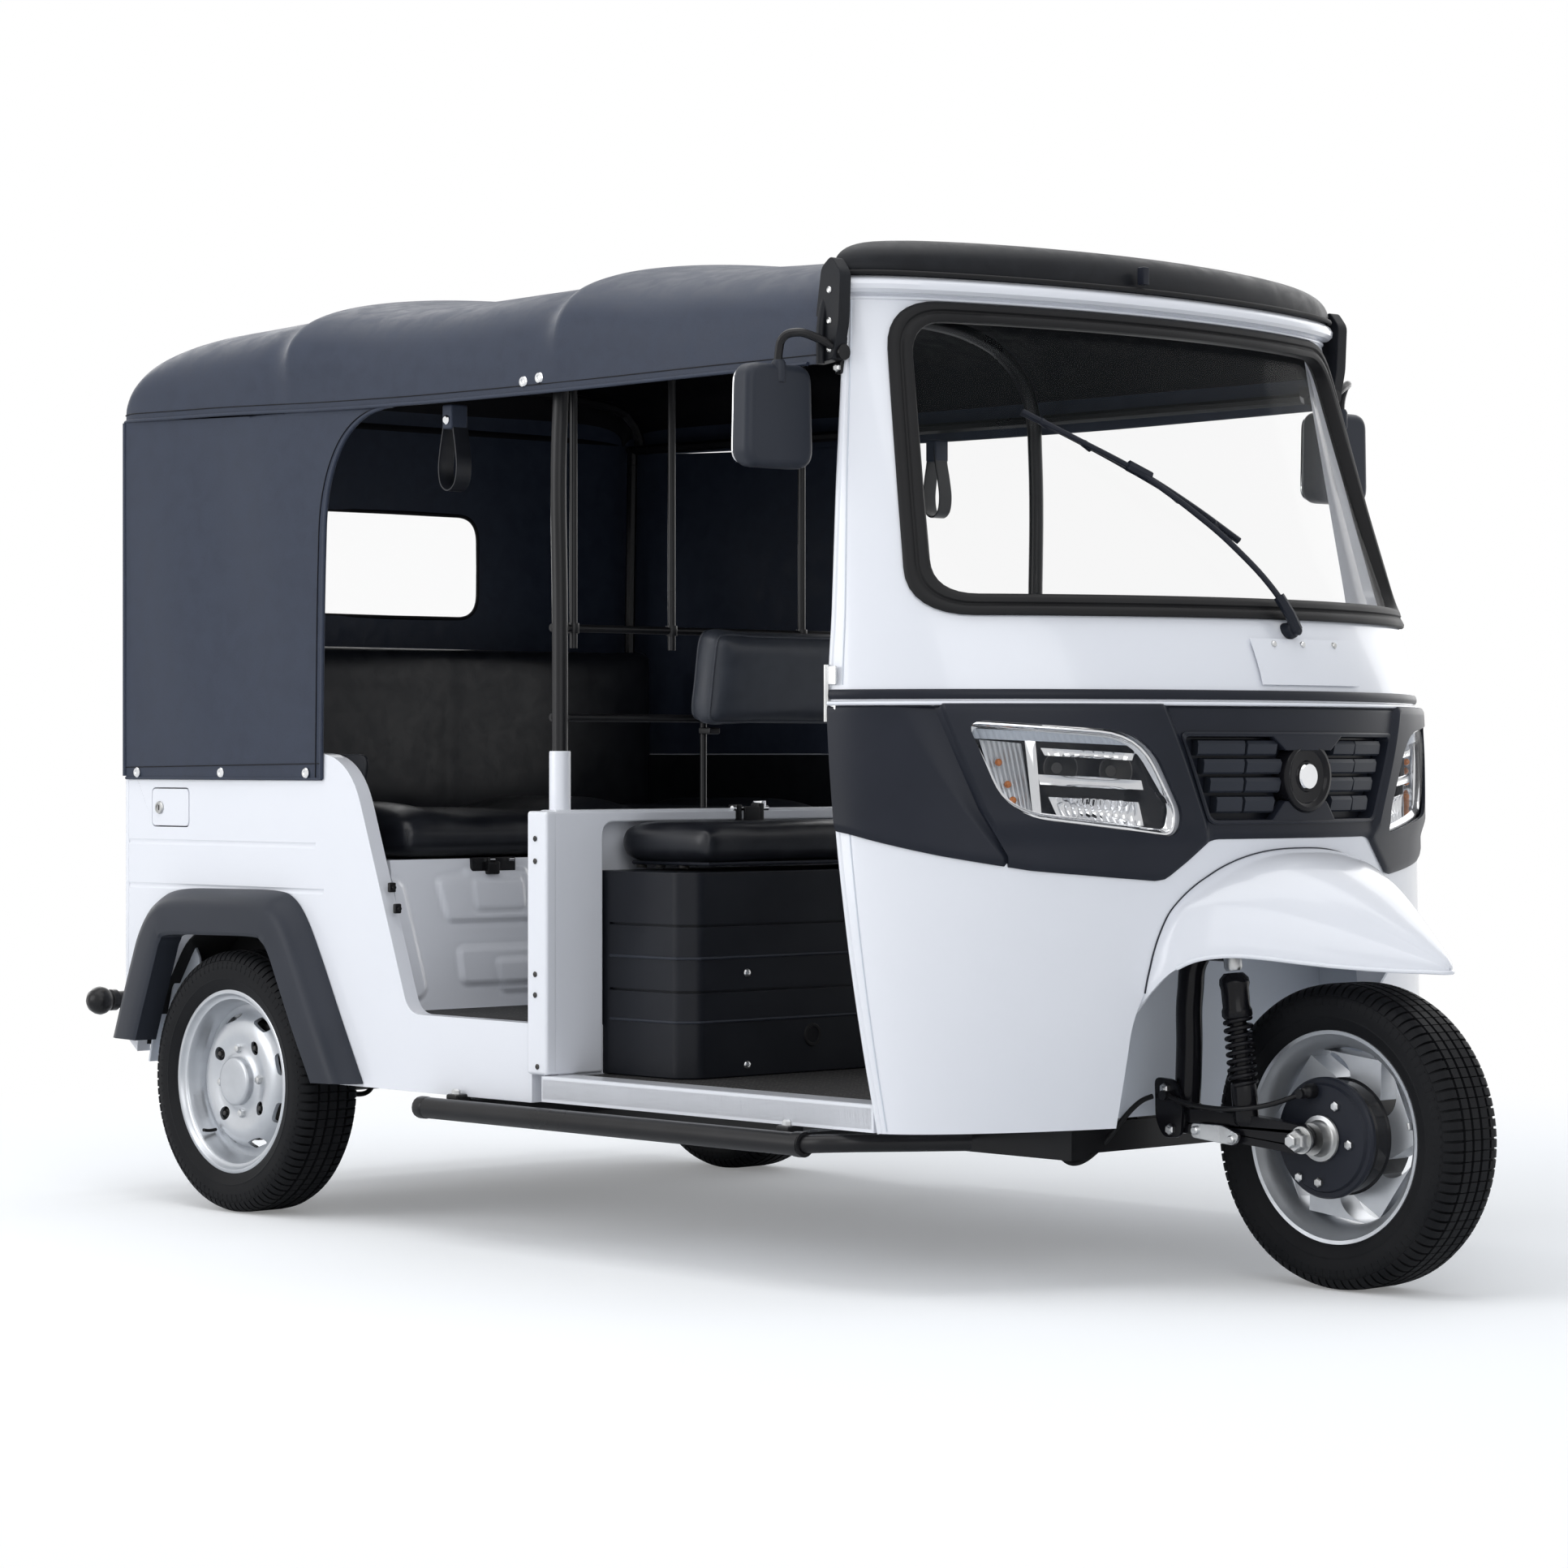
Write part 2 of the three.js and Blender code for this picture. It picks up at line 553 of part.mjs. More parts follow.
function canopyRing([x, edge, shoulder, crown, half], inset, drop) {
  const left = CANOPY_HALF.map(([share, rise]) => [
    x, (half - inset) * share, edge + (shoulder - inset - edge) * rise]);
  left[0][2] -= drop;
  const top = [0.6, 0.3].map((share) => [
    x, half * share, crown - inset - (crown - shoulder) * (share / 0.87) ** 2]);
  const half2 = [...left, ...top];
  const right = half2.map(([px, py, pz]) => [px, -py, pz]).reverse();
  return [...half2, [x, 0, crown - inset], ...right];
}

function canopyRow(x) {
  const next = Math.max(1, CANOPY_ROWS.findIndex((row) => row[0] >= x));
  const [a, b] = [CANOPY_ROWS[next - 1], CANOPY_ROWS[next]];
  const t = (x - a[0]) / (b[0] - a[0]);
  return a.map((value, i) => value + (b[i] - value) * t);
}

function buildCanopy() {
  const outer = loft(CANOPY_ROWS.map((row) => canopyRing(row, 0, 0)));
  const innerRows = [canopyRow(-1318), ...CANOPY_ROWS.slice(3, -1), [640, ...CANOPY_ROWS.at(-1).slice(1)]];
  const inner = loft(innerRows.map((row) => canopyRing(row, 12, 30)));
  add('canopy', outer.subtract(inner), VINYL);

  SIDES.forEach((side) => {
    const shape = new THREE.Shape();
    shape.moveTo(-1329, 822);
    shape.lineTo(-700, 822);
    shape.lineTo(-684, 1330);
    shape.quadraticCurveTo(-660, 1470, -480, 1492 - GAP);
    shape.lineTo(-850, 1502 - GAP);
    shape.lineTo(-1329, 1513 - GAP);
    shape.closePath();
    const sheet = slabXZ(shape, side * (BODY_HALF + GAP), side * (BODY_HALF + 8));
    add(`curtain_${SIDE_NAME[side]}`, sheet, VINYL);
  });
  const rear = block(-1343, BODY_REAR - 6, -BODY_HALF, BODY_HALF, WAIST_Z + GAP, 1512 - GAP);
  const windowRows = [[-232, 1148, 55], [232, 1148, 55], [232, 1364, 55], [-232, 1364, 55]];
  const glazing = (grow) => slabYZ(roundedShape(windowRows.map(([y, z, r]) => [
    y + Math.sign(y) * grow, z + Math.sign(z - 1250) * grow, r])), -1400, -1300);
  add('rear_curtain', rear.subtract(glazing(0)), VINYL);
  add('rear_window', block(-1341, -1337, -300, 300, 1100, 1400).intersect(glazing(-GAP)), CLEAR);
}

function hoopPoints(x, inset) {
  return canopyRing(canopyRow(x), inset, 0).map(([, y, z]) => [x, y, z]);
}

// The posts, hoops, rails and partition are separate frames that meet end to end.
function buildRoofFrame() {
  const arch = hoopPoints(POST_X, 34);
  const hoop = [[POST_X, POST_HALF, BULKHEAD_TOP + GAP], [POST_X, POST_HALF, 1450], ...arch,
    [POST_X, -POST_HALF, 1450], [POST_X, -POST_HALF, BULKHEAD_TOP + GAP]];
  add('side_hoop', bentTube(hoop, POST_RADIUS, 10), BLACK_METAL);

  const partitionX = POST_X - POST_RADIUS - BAR_RADIUS - GAP;
  const [, , shoulder, crown, half] = canopyRow(POST_X);
  const uprights = [-550, -320, 0, 320, 550].map((y) => {
    const roof = crown - 40 - (crown - shoulder) * (y / (0.87 * half)) ** 2;
    return rod([partitionX, y, BULKHEAD_TOP + GAP], [partitionX, y, roof], BAR_RADIUS, 8);
  });
  const bars = [928, 1085].map((z) => (
    rod([partitionX, -POST_HALF, z], [partitionX, POST_HALF, z], BAR_RADIUS, 8)));
  add('partition_frame', join([...uprights, ...bars]), BLACK_METAL);

  const rear = POST_X - POST_RADIUS - GAP;
  const front = POST_X + POST_RADIUS + GAP;
  const rails = both((side) => bentTube([[-1300, side * 620, 1520], [rear, side * 615, 1512]], TUBE_RADIUS));
  const hoops = [-800, -1270].map((x) => bentTube(hoopPoints(x, 34), TUBE_RADIUS));
  const posts = both((side) => (
    rod([-1290, side * 606, WAIST_Z + GAP], [-1290, side * 618, 1524], TUBE_RADIUS, 8)));
  add('roof_frame', join([...rails, ...hoops, ...posts]), BLACK_METAL);
  SIDES.forEach((side) => {
    const path = [[front, side * 615, 1512], [600, side * 606, 1512], [626, side * 572, 1520]];
    add(`roof_rail_${SIDE_NAME[side]}`, bentTube(path, TUBE_RADIUS), BLACK_METAL);
  });
}

// ---- cap over the screen header ----
// Height of each ring and its size against the cab's top ring, about a middle at CAP_MIDDLE_X.
const CAP_MIDDLE_X = 600;
const CAP_LEVELS = [[CAB_TOP + GAP, 1.035], [1654, 1.04], [1674, 1.02], [1691, 0.97], [1702, 0.88],
  [1710, 0.6]];

function buildRoofCap() {
  const rings = CAP_LEVELS.map(([z, size]) => cabRing(CAB_TOP, 0, 60).map(([x, y]) => [
    CAP_MIDDLE_X + (x - CAP_MIDDLE_X) * size, y * size, z]));
  add('roof_cap', loft(rings).subtract(block(500, 640, -800, 800, 1600, 1800)), BLACK_PLASTIC);
}

// ---- seats ----
function buildSeats() {
  const riser = outline([[-537, REAR_FLOOR_Z - 14], [-512, REAR_FLOOR_Z - 14], [-560, 670], [-1150, 670],
    [-1150, 642], [-581, 642]]);
  const floorRoom = block(-552 - GAP, 0, -700, 700, 0, REAR_FLOOR_Z + GAP);
  add('bench_base', slabXZ(riser, -524, 524).subtract(floorRoom), WHITE);
  const seat = roundedShape([[-1128, 671, 20], [-560, 671, 25], [-552, 768, 35], [-1128, 760, 20]]);
  add('bench_cushion', slabXZ(seat, -575, 575), SEAT_VINYL);
  const back = roundedShape([[-1210, 690, 20], [-1136, 690, 20], [-1150, 1095, 25], [-1210, 1095, 25]]);
  add('bench_backrest', slabXZ(back, -575, 575), SEAT_VINYL);

  const box = roundedShape([[BULKHEAD_X + 24, -528, 10], [BULKHEAD_X + 24, 528, 10], [130, 528, 20],
    [172, 470, 20], [172, -470, 20], [130, -528, 20]]);
  add('seat_box', slabXY(box, FLOOR_Z + GAP, 666), BLACK_PLASTIC);
  const cushion = roundedShape([[-34, 673, 16], [186, 673, 20], [192, 740, 26], [-34, 744, 22]]);
  add('driver_cushion', slabXZ(cushion, -500, 500), SEAT_VINYL);
  const pad = roundedShape([[-60, 905, 20], [30, 905, 30], [8, 1100, 26], [-62, 1100, 22]]);
  add('driver_backrest', slabXZ(pad, -330, 330), SEAT_VINYL);
}

// ---- small fixed pieces ----
function buildFittings() {
  SIDES.forEach((side) => {
    const name = SIDE_NAME[side];
    const path = [[-355, side * 690, 236], [600, side * 690, 236], [690, side * 660, 240],
      [800, side * 470, 238]];
    const brackets = [-300, 560].map((x) => sideBlock(x, x + 40, side, 640 + GAP, 690, 226, 246));
    const guard = join([bentTube(path, 19, 12), ball(path[0], 19.4), ...brackets]);
    add(`side_guard_${name}`, guard, BLACK_METAL);

    const arm = bentTube([[656, side * 611, 1520], [648, side * 660, 1538], [620, side * 700, 1545],
      [588, side * 706, 1532], [586, side * 706, 1480]], 7);
    const glassBox = roundedShape([[side * 632, 1322, 26], [side * 778, 1322, 26], [side * 778, 1490, 22],
      [side * 632, 1490, 22]]);
    add(`mirror_${name}`, arm.add(slabYZ(glassBox, 564, 606)), BLACK_PLASTIC);

    const strap = roundedShape([[-376, 1335, 20], [-334, 1335, 20], [-340, 1474, 4], [-370, 1474, 4]]);
    add(`strap_${name}`, slabXZ(strap, side * 618, side * 610), SEAT_VINYL);
  });
  const bar = rod([-1440, -600, 378], [-1440, 600, 378], 18, 14);
  const ends = both((side) => ball([-1430, side * 650, 378], 28));
  const necks = both((side) => rod([-1440, side * 590, 378], [-1430, side * 640, 378], 14, 10));
  const stays = both((side) => (
    block(-1440, BODY_REAR - 14 - GAP, side * RAIL_Y - 20, side * RAIL_Y + 20, 364, 392)));
  add('rear_bumper', join([bar, ...ends, ...necks, ...stays]), BLACK_METAL);

  const surface = (y, z, offset) => {
    let best = null;
    for (let i = 0; i <= 200; i += 1) {
      const p = cabPoint(z, i / 200, offset, y < 0 ? -1 : 1);
      if (!best || Math.abs(p[1] - y) < Math.abs(best[1] - y)) best = p;
    }
    return best;
  };
  const pivot = rod(surface(0, 1066, 8), surface(0, 1066, 34), 13, 12);
  const armPlaces = [[0, 1066, 26], [-72, 1203, 26], [-198, 1323, 12]];
  const arm = bentTube(armPlaces.map((place) => surface(...place)), 6);
  const bladePlaces = [[-34, 1213, 7], [-115, 1272, 9], [-200, 1324, 10], [-290, 1374, 9], [-374, 1417, 7]];
  const blade = bentTube(bladePlaces.map((place) => surface(...place)), 6);
  add('wiper', join([pivot, arm, blade]), BLACK_PLASTIC);
}

// ---- running gear ----
const WHEEL_SEGMENTS = 36;
const TYRE_ROWS = [[168, -46], [180, -60], [208, -67], [232, -62], [247, -36], [247, 36], [232, 62],
  [208, 67], [180, 60], [168, 46]];
// Rim profiles run outward along the axle from the hub cap round the barrel and back to the hub.
const REAR_RIM_ROWS = [[0, 52], [36, 50], [40, 36], [64, 32], [98, 40], [126, 16], [144, 12], [152, 48],
  [166, 52], [166, 44], [148, 22], [148, -24], [166, -44], [166, -52], [152, -50], [132, 2], [122, 6],
  [96, 30], [60, 22], [0, 22]];
const FRONT_RIM_ROWS = [[0, 62], [38, 60], [42, 36], [100, 34], [130, 28], [142, 30], [152, 50], [166, 52],
  [166, 44], [148, 22], [148, -24], [166, -44], [166, -52], [154, -50], [138, 16], [126, 18], [92, 22],
  [92, -58], [17, -58], [17, 46], [0, 46]];

function wheelCuts(x, y, count, radius, size) {
  const holes = [];
  for (let i = 0; i < count; i += 1) {
    const angle = ((i + 0.5) * 2 * Math.PI) / count;
    const cx = x + radius * Math.cos(angle);
    const cz = TYRE_RADIUS + radius * Math.sin(angle);
    holes.push(rod([cx, y - 70, cz], [cx, y + 70, cz], size, 8));
  }
  return holes;
}

function buildRearWheels() {
  SIDES.forEach((side) => {
    const name = SIDE_NAME[side];
    const place = [side, REAR_AXLE_X, side * HALF_TRACK, TYRE_RADIUS, WHEEL_SEGMENTS];
    add(`rear_tyre_${name}`, turned([...TYRE_ROWS, TYRE_ROWS[0]], ...place), RUBBER);
    const slots = wheelCuts(REAR_AXLE_X, side * HALF_TRACK, 6, 112, 12);
    add(`rear_rim_${name}`, cut(turned(REAR_RIM_ROWS, ...place), slots), SILVER);
  });
}

function buildFrontWheel() {
  const place = [1, FRONT_AXLE_X, 0, TYRE_RADIUS, WHEEL_SEGMENTS];
  add('front_tyre', turned([...TYRE_ROWS, TYRE_ROWS[0]], ...place), RUBBER);
  const slots = wheelCuts(FRONT_AXLE_X, 0, 8, 112, 10);
  add('front_rim', cut(turned(FRONT_RIM_ROWS, ...place), slots), SILVER);
}

function buildFork() {
  const low = [944, -112, 266];
  const column = rod([steerX(572), 0, 572], [steerX(1040), 0, 1040], 20, 14);
  const stemPath = [[steerX(578), 0, 578], [1000, -60, 574], [982, -112, 536], [954, -112, 300], low];
  const stem = bentTube(stemPath, 22, 12);
  const link = rod([low[0], -126, low[2]], [FRONT_AXLE_X, -126, TYRE_RADIUS], 15, 8);
  const knuckle = rod([low[0], -140, low[2]], [low[0], -90, low[2]], 26, 14);
  const axle = rod([FRONT_AXLE_X, -158, TYRE_RADIUS], [FRONT_AXLE_X, 14, TYRE_RADIUS], 11, 14);
  const plate = rod([FRONT_AXLE_X, -84, TYRE_RADIUS], [FRONT_AXLE_X, -68, TYRE_RADIUS], 98, 24);
  const shock = rod([1058, -126, 540], [1088, -126, 268], 25, 14);
  const topArm = rod([982, -112, 540], [1058, -126, 540], 15, 10);
  add('steering_fork', join([column, stem, link, knuckle, axle, plate, shock, topArm]), BLACK_METAL);

  const clamp = rod([steerX(1041), 0, 1041], [steerX(1076), 0, 1076], 26, 14);
  const bars = both((side) => (
    bentTube([[steerX(1060), 0, 1060], [790, side * 120, 1078], [742, side * 300, 1070]], 12, 10)));
  const grips = both((side) => rod([764, side * 216, 1074], [736, side * 322, 1069], 17, 12));
  add('handlebar', join([clamp, ...bars, ...grips]), BLACK_PLASTIC);
}

function buildRearAxle() {
  const y = HALF_TRACK - TYRE_HALF_WIDTH - 12;
  const tube = rod([REAR_AXLE_X, -y, TYRE_RADIUS], [REAR_AXLE_X, y, TYRE_RADIUS], 32, 16);
  const plates = both((side) => (
    rod([REAR_AXLE_X, side * (y - 14), TYRE_RADIUS], [REAR_AXLE_X, side * y, TYRE_RADIUS], 104, 24)));
  const gears = rod([REAR_AXLE_X, -70, TYRE_RADIUS], [REAR_AXLE_X, 90, TYRE_RADIUS], 84, 20);
  const springs = both((side) => (
    sideBlock(-1250, -660, side, SPRING_Y - 26, SPRING_Y + 26, SPRING_TOP - 24, SPRING_TOP)));
  const pads = both((side) => (
    sideBlock(REAR_AXLE_X - 50, REAR_AXLE_X + 50, side, SPRING_Y - 30, SPRING_Y + 30, 240, 290)));
  add('rear_axle', join([tube, ...plates, gears, ...springs, ...pads]), BLACK_METAL);
  const motor = rod([REAR_AXLE_X + 150, -70, 300], [REAR_AXLE_X + 150, 110, 300], 62, 20);
  add('drive_motor', motor, SILVER);
}

buildCab();
buildMudguard();
buildWheelWell();
buildChassis();
buildSteeringNeck();
buildFloor();
buildBulkhead();
buildRearSides();
buildChargeLid();
buildRoofFrame();
buildCanopy();
buildRoofCap();
buildSeats();
buildFittings();
buildRearWheels();
buildFrontWheel();
buildFork();
buildRearAxle();

export default group;
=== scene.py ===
"""Electric passenger tricycle: the looks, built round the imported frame. Sizes below are millimetres."""
import math

import bmesh
import bpy
from mathutils import Matrix, Vector
from mathutils.bvhtree import BVHTree


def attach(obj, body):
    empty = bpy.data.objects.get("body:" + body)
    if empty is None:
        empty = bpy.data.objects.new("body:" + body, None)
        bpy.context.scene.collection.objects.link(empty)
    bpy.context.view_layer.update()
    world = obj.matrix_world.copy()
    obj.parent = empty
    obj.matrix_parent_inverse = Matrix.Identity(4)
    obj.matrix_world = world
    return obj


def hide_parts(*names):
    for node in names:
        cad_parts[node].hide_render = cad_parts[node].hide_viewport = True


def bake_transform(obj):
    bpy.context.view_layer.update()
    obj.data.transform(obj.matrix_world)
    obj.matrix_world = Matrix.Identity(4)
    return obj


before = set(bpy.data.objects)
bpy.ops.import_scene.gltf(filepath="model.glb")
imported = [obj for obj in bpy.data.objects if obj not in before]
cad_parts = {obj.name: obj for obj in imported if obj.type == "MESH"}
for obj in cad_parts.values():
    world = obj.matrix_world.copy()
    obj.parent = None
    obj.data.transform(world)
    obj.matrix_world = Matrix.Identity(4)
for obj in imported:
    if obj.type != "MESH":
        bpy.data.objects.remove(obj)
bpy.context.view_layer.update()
MM = 0.001
RIGHT, LEFT = -1, 1
SIDE_NAME = {RIGHT: "right", LEFT: "left"}
SIDES = (RIGHT, LEFT)


# ---- working with Blender's tools ----
def rest_hands():
    """Object mode with nothing selected."""
    if bpy.context.object and bpy.context.object.mode != "OBJECT":
        bpy.ops.object.mode_set(mode="OBJECT")
    bpy.ops.object.select_all(action="DESELECT")


def hold(*pieces):
    """Selects the pieces and makes the first one active."""
    rest_hands()
    for piece in pieces:
        piece.select_set(True)
    bpy.context.view_layer.objects.active = pieces[0]


def settle(name):
    """Names the new object and puts its place into its mesh."""
    piece = bpy.context.object
    hold(piece)
    piece.name = name
    piece.data.name = name
    bpy.ops.object.transform_apply(location=True, rotation=True, scale=True)
    return piece


def pick(piece, kind, wanted):
    """Edit mode, with the faces, edges or vertices for which wanted() is true selected."""
    hold(piece)
    bpy.ops.object.mode_set(mode="EDIT")
    bpy.ops.mesh.select_mode(type=kind)
    bpy.ops.mesh.select_all(action="DESELECT")
    mesh = bmesh.from_edit_mesh(piece.data)
    for part in {"FACE": mesh.faces, "EDGE": mesh.edges, "VERT": mesh.verts}[kind]:
        if wanted(part):
            part.select_set(True)
    mesh.select_flush_mode()
    bmesh.update_edit_mesh(piece.data)


def face_outward():
    """Turns the faces of the mesh in hand outward and leaves edit mode."""
    bpy.ops.mesh.select_all(action="SELECT")
    bpy.ops.mesh.normals_make_consistent(inside=False)
    rest_hands()


def close_up(piece, gap=0.01):
    """Merges doubled points and turns the faces outward."""
    pick(piece, "VERT", lambda vert: True)
    bpy.ops.mesh.remove_doubles(threshold=gap * MM)
    face_outward()
    return piece


def modify(piece, kind, **settings):
    """Adds a modifier and applies it."""
    hold(piece)
    modifier = piece.modifiers.new(kind.lower(), kind)
    for key, value in settings.items():
        setattr(modifier, key, value)
    bpy.ops.object.modifier_apply(modifier=modifier.name)
    return piece


def round_edges(piece, width, segments=2, angle=35):
    return modify(piece, "BEVEL", width=width * MM, segments=segments, limit_method="ANGLE",
                  angle_limit=math.radians(angle), use_clamp_overlap=True)


def thicken(piece, depth, offset=-1.0):
    return modify(piece, "SOLIDIFY", thickness=depth * MM, offset=offset)


def soften(piece, levels=1):
    return modify(piece, "SUBSURF", levels=levels, render_levels=levels)


def carve(piece, cutter, operation="DIFFERENCE"):
    """Cuts the piece with another, which is used up."""
    hold(piece)
    modifier = piece.modifiers.new("cut", "BOOLEAN")
    modifier.object = cutter
    modifier.operation = operation
    modifier.solver = "EXACT"
    bpy.ops.object.modifier_apply(modifier=modifier.name)
    bpy.data.objects.remove(cutter, do_unlink=True)
    return piece


def smooth(piece, angle=32):
    """Smooth shading up to the angle, with the large flat faces kept flat."""
    hold(piece)
    bpy.ops.object.shade_smooth_by_angle(angle=math.radians(angle))
    modify(piece, "WEIGHTED_NORMAL", keep_sharp=True, weight=60)
    rest_hands()
    return piece


def join(name, pieces):
    """One piece of several."""
    hold(*pieces)
    if len(pieces) > 1:
        bpy.ops.object.join()
    return settle(name)


def shift(x, y, z):
    return Matrix.Translation(Vector((x, y, z)) * MM)


def facing(point, direction):
    """Matrix that carries the origin's +Z to the direction at a point."""
    turn = Vector(direction).normalized().to_track_quat("Z", "Y").to_matrix().to_4x4()
    return Matrix.Translation(Vector(point) * MM) @ turn


# ---- starting shapes ----
def box(name, low, high):
    rest_hands()
    corners = [sorted(pair) for pair in zip(low, high)]
    low, high = (Vector([pair[i] for pair in corners]) * MM for i in (0, 1))
    bpy.ops.mesh.primitive_cube_add(size=1, location=(low + high) / 2, scale=high - low)
    return settle(name)


def bar(name, start, end, radius, sides=24):
    rest_hands()
    start, end = Vector(start) * MM, Vector(end) * MM
    along = end - start
    turn = along.to_track_quat("Z", "Y").to_euler()
    bpy.ops.mesh.primitive_cone_add(vertices=sides, radius1=radius * MM, radius2=radius * MM,
                                    depth=along.length, location=(start + end) / 2, rotation=turn)
    return settle(name)


def turned(name, profile, centre, axis="Y", steps=72, flip=1):
    """A closed profile of (radius, distance along the axis) spun about the axis through centre."""
    rest_hands()
    bpy.ops.mesh.primitive_circle_add(vertices=len(profile), radius=1, fill_type="NOTHING")
    piece = bpy.context.object
    across, along = {"Y": ((0, 0, 1), (0, 1, 0)), "X": ((0, 0, 1), (1, 0, 0)),
                     "Z": ((1, 0, 0), (0, 0, 1))}[axis]
    centre = Vector(centre)
    for vert, (radius, reach) in zip(piece.data.vertices, profile):
        vert.co = (centre + Vector(across) * radius + Vector(along) * reach * flip) * MM
    pick(piece, "VERT", lambda vert: True)
    bpy.ops.mesh.spin(steps=steps, angle=2 * math.pi, center=centre * MM, axis=along)
    bpy.ops.mesh.select_all(action="SELECT")
    bpy.ops.mesh.remove_doubles(threshold=0.02 * MM)
    bpy.ops.mesh.delete_loose(use_verts=True, use_edges=True)
    face_outward()
    return settle(name)


def tube(name, points, radius, sides=3, bent=True, closed=False, steps=8):
    """A round tube along the points: smooth through them, or straight between them."""
    rest_hands()
    bpy.ops.curve.primitive_bezier_curve_add()
    piece = bpy.context.object
    spline = piece.data.splines[0]
    spline.bezier_points.add(len(points) - 2)
    for knot, point in zip(spline.bezier_points, points):
        knot.co = Vector(point) * MM
        knot.handle_left_type = knot.handle_right_type = "AUTO" if bent else "VECTOR"
        knot.radius = 1
    spline.use_cyclic_u = closed
    piece.data.bevel_depth = radius * MM
    piece.data.bevel_resolution = sides
    piece.data.resolution_u = steps if bent else 1
    piece.data.use_fill_caps = not closed
    hold(piece)
    bpy.ops.object.convert(target="MESH")
    return close_up(settle(name))


def sheet_of(name, place, across, along):
    """A grid whose points place(u, v) puts, u and v from 0 to 1, in millimetres."""
    rest_hands()
    bpy.ops.mesh.primitive_grid_add(x_subdivisions=across, y_subdivisions=along, size=2)
    piece = bpy.context.object
    for vert in piece.data.vertices:
        vert.co = Vector(place((vert.co.x + 1) / 2, (vert.co.y + 1) / 2)) * MM
    return settle(name)


def rounded(corners, steps=5):
    """Corner points (a, b, radius) as a closed outline with rounded corners."""
    outline = []
    for i, (a, b, radius) in enumerate(corners):
        corner = Vector((a, b))
        before = (Vector(corners[i - 1][:2]) - corner).normalized() * radius + corner
        after = (Vector(corners[(i + 1) % len(corners)][:2]) - corner).normalized() * radius + corner
        if radius <= 0:
            outline.append(corner)
            continue
        for k in range(steps + 1):
            t = k / steps
            outline.append(before * (1 - t) ** 2 + corner * 2 * t * (1 - t) + after * t * t)
    return outline


def prism(name, outline, axis, start, end):
    """The outline drawn out along X, Y or Z between two distances."""
    level = "XYZ".index(axis)
    rest_hands()
    bpy.ops.mesh.primitive_circle_add(vertices=len(outline), radius=1, fill_type="NGON")
    piece = bpy.context.object
    for vert, point in zip(piece.data.vertices, outline):
        spot = list(point)
        spot.insert(level, start)
        vert.co = Vector(spot) * MM
    reach = Vector([end - start if i == level else 0 for i in range(3)]) * MM
    pick(piece, "FACE", lambda face: True)
    bpy.ops.mesh.extrude_region_move(TRANSFORM_OT_translate={"value": reach})
    face_outward()
    return settle(name)


# ---- handing a piece over ----
def fit(piece, material, slot, body="body", replaces=()):
    """Gives the piece its material and the body it rides on, and hides the solids that it stands for. The
    slot is not used.
    """
    piece.data.materials.clear()
    piece.data.materials.append(material)
    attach(piece, body)
    if replaces:
        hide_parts(*replaces)
    return piece


def finish(piece, material, angle=32, slot=None, **where):
    """As fit, with smooth shading up to the angle; unless another is named, the material's usual slot is
    passed on to fit.
    """
    usual = next(label for label, kinds in USUAL_SLOTS.items() if material in kinds)
    return fit(smooth(piece, angle), material, slot or usual, **where)


# ---- camera, floor and light ----
CAMERA_PLACE = (5524, -5276, 857)
CAMERA_AZIMUTH = 47.06
LENS = 95.83
FRAMING_SHIFT = -0.0166
WHITE_LEVEL = 1.0
FLOOR_GLOW = 0.2


def set_up_camera():
    rest_hands()
    bpy.ops.object.camera_add(location=Vector(CAMERA_PLACE) * MM,
                              rotation=(math.pi / 2, 0, math.radians(CAMERA_AZIMUTH)))
    camera = bpy.context.object
    camera.data.lens = LENS
    camera.data.sensor_width = 36
    camera.data.shift_y = FRAMING_SHIFT
    camera.data.clip_end = 100
    bpy.context.scene.camera = camera
    bpy.context.scene.view_settings.view_transform = "Standard"


class Nodes:
    """A short hand for building a node tree."""

    def __init__(self, tree):
        self.tree = tree

    def add(self, kind, inputs=None, **settings):
        node = self.tree.nodes.new(kind)
        for key, value in settings.items():
            setattr(node, key, value)
        for key, value in (inputs or {}).items():
            if isinstance(value, bpy.types.NodeSocket):
                self.tree.links.new(value, node.inputs[key])
            else:
                node.inputs[key].default_value = value
        return node

    def link(self, output, target):
        self.tree.links.new(output, target)

    def place(self):
        return self.add("ShaderNodeTexCoord").outputs["Object"]

    def noise(self, place, scale, detail, **more):
        return self.add("ShaderNodeTexNoise",
                        {"Vector": place, "Scale": scale, "Detail": detail, **more}).outputs["Fac"]

    def sum_of(self, first, second, operation="ADD"):
        return self.add("ShaderNodeMath", {0: first, 1: second}, operation=operation).outputs[0]

    def ramp(self, value, low, high, start=0.0, end=1.0):
        node = self.add("ShaderNodeMapRange", {"Value": value, "From Min": low, "From Max": high,
                                               "To Min": start, "To Max": end})
        return node.outputs["Result"]

    def mix(self, share, first, second):
        node = self.add("ShaderNodeMix", {"Factor": share, "A": first, "B": second}, data_type="FLOAT")
        return node.outputs["Result"]

    def tint(self, share, first, second):
        node = self.add("ShaderNodeMix", data_type="RGBA")
        for index, value in ((0, share), (6, first), (7, second)):
            if isinstance(value, bpy.types.NodeSocket):
                self.link(value, node.inputs[index])
            else:
                node.inputs[index].default_value = (*value, 1.0) if index else value
        return node.outputs[2]


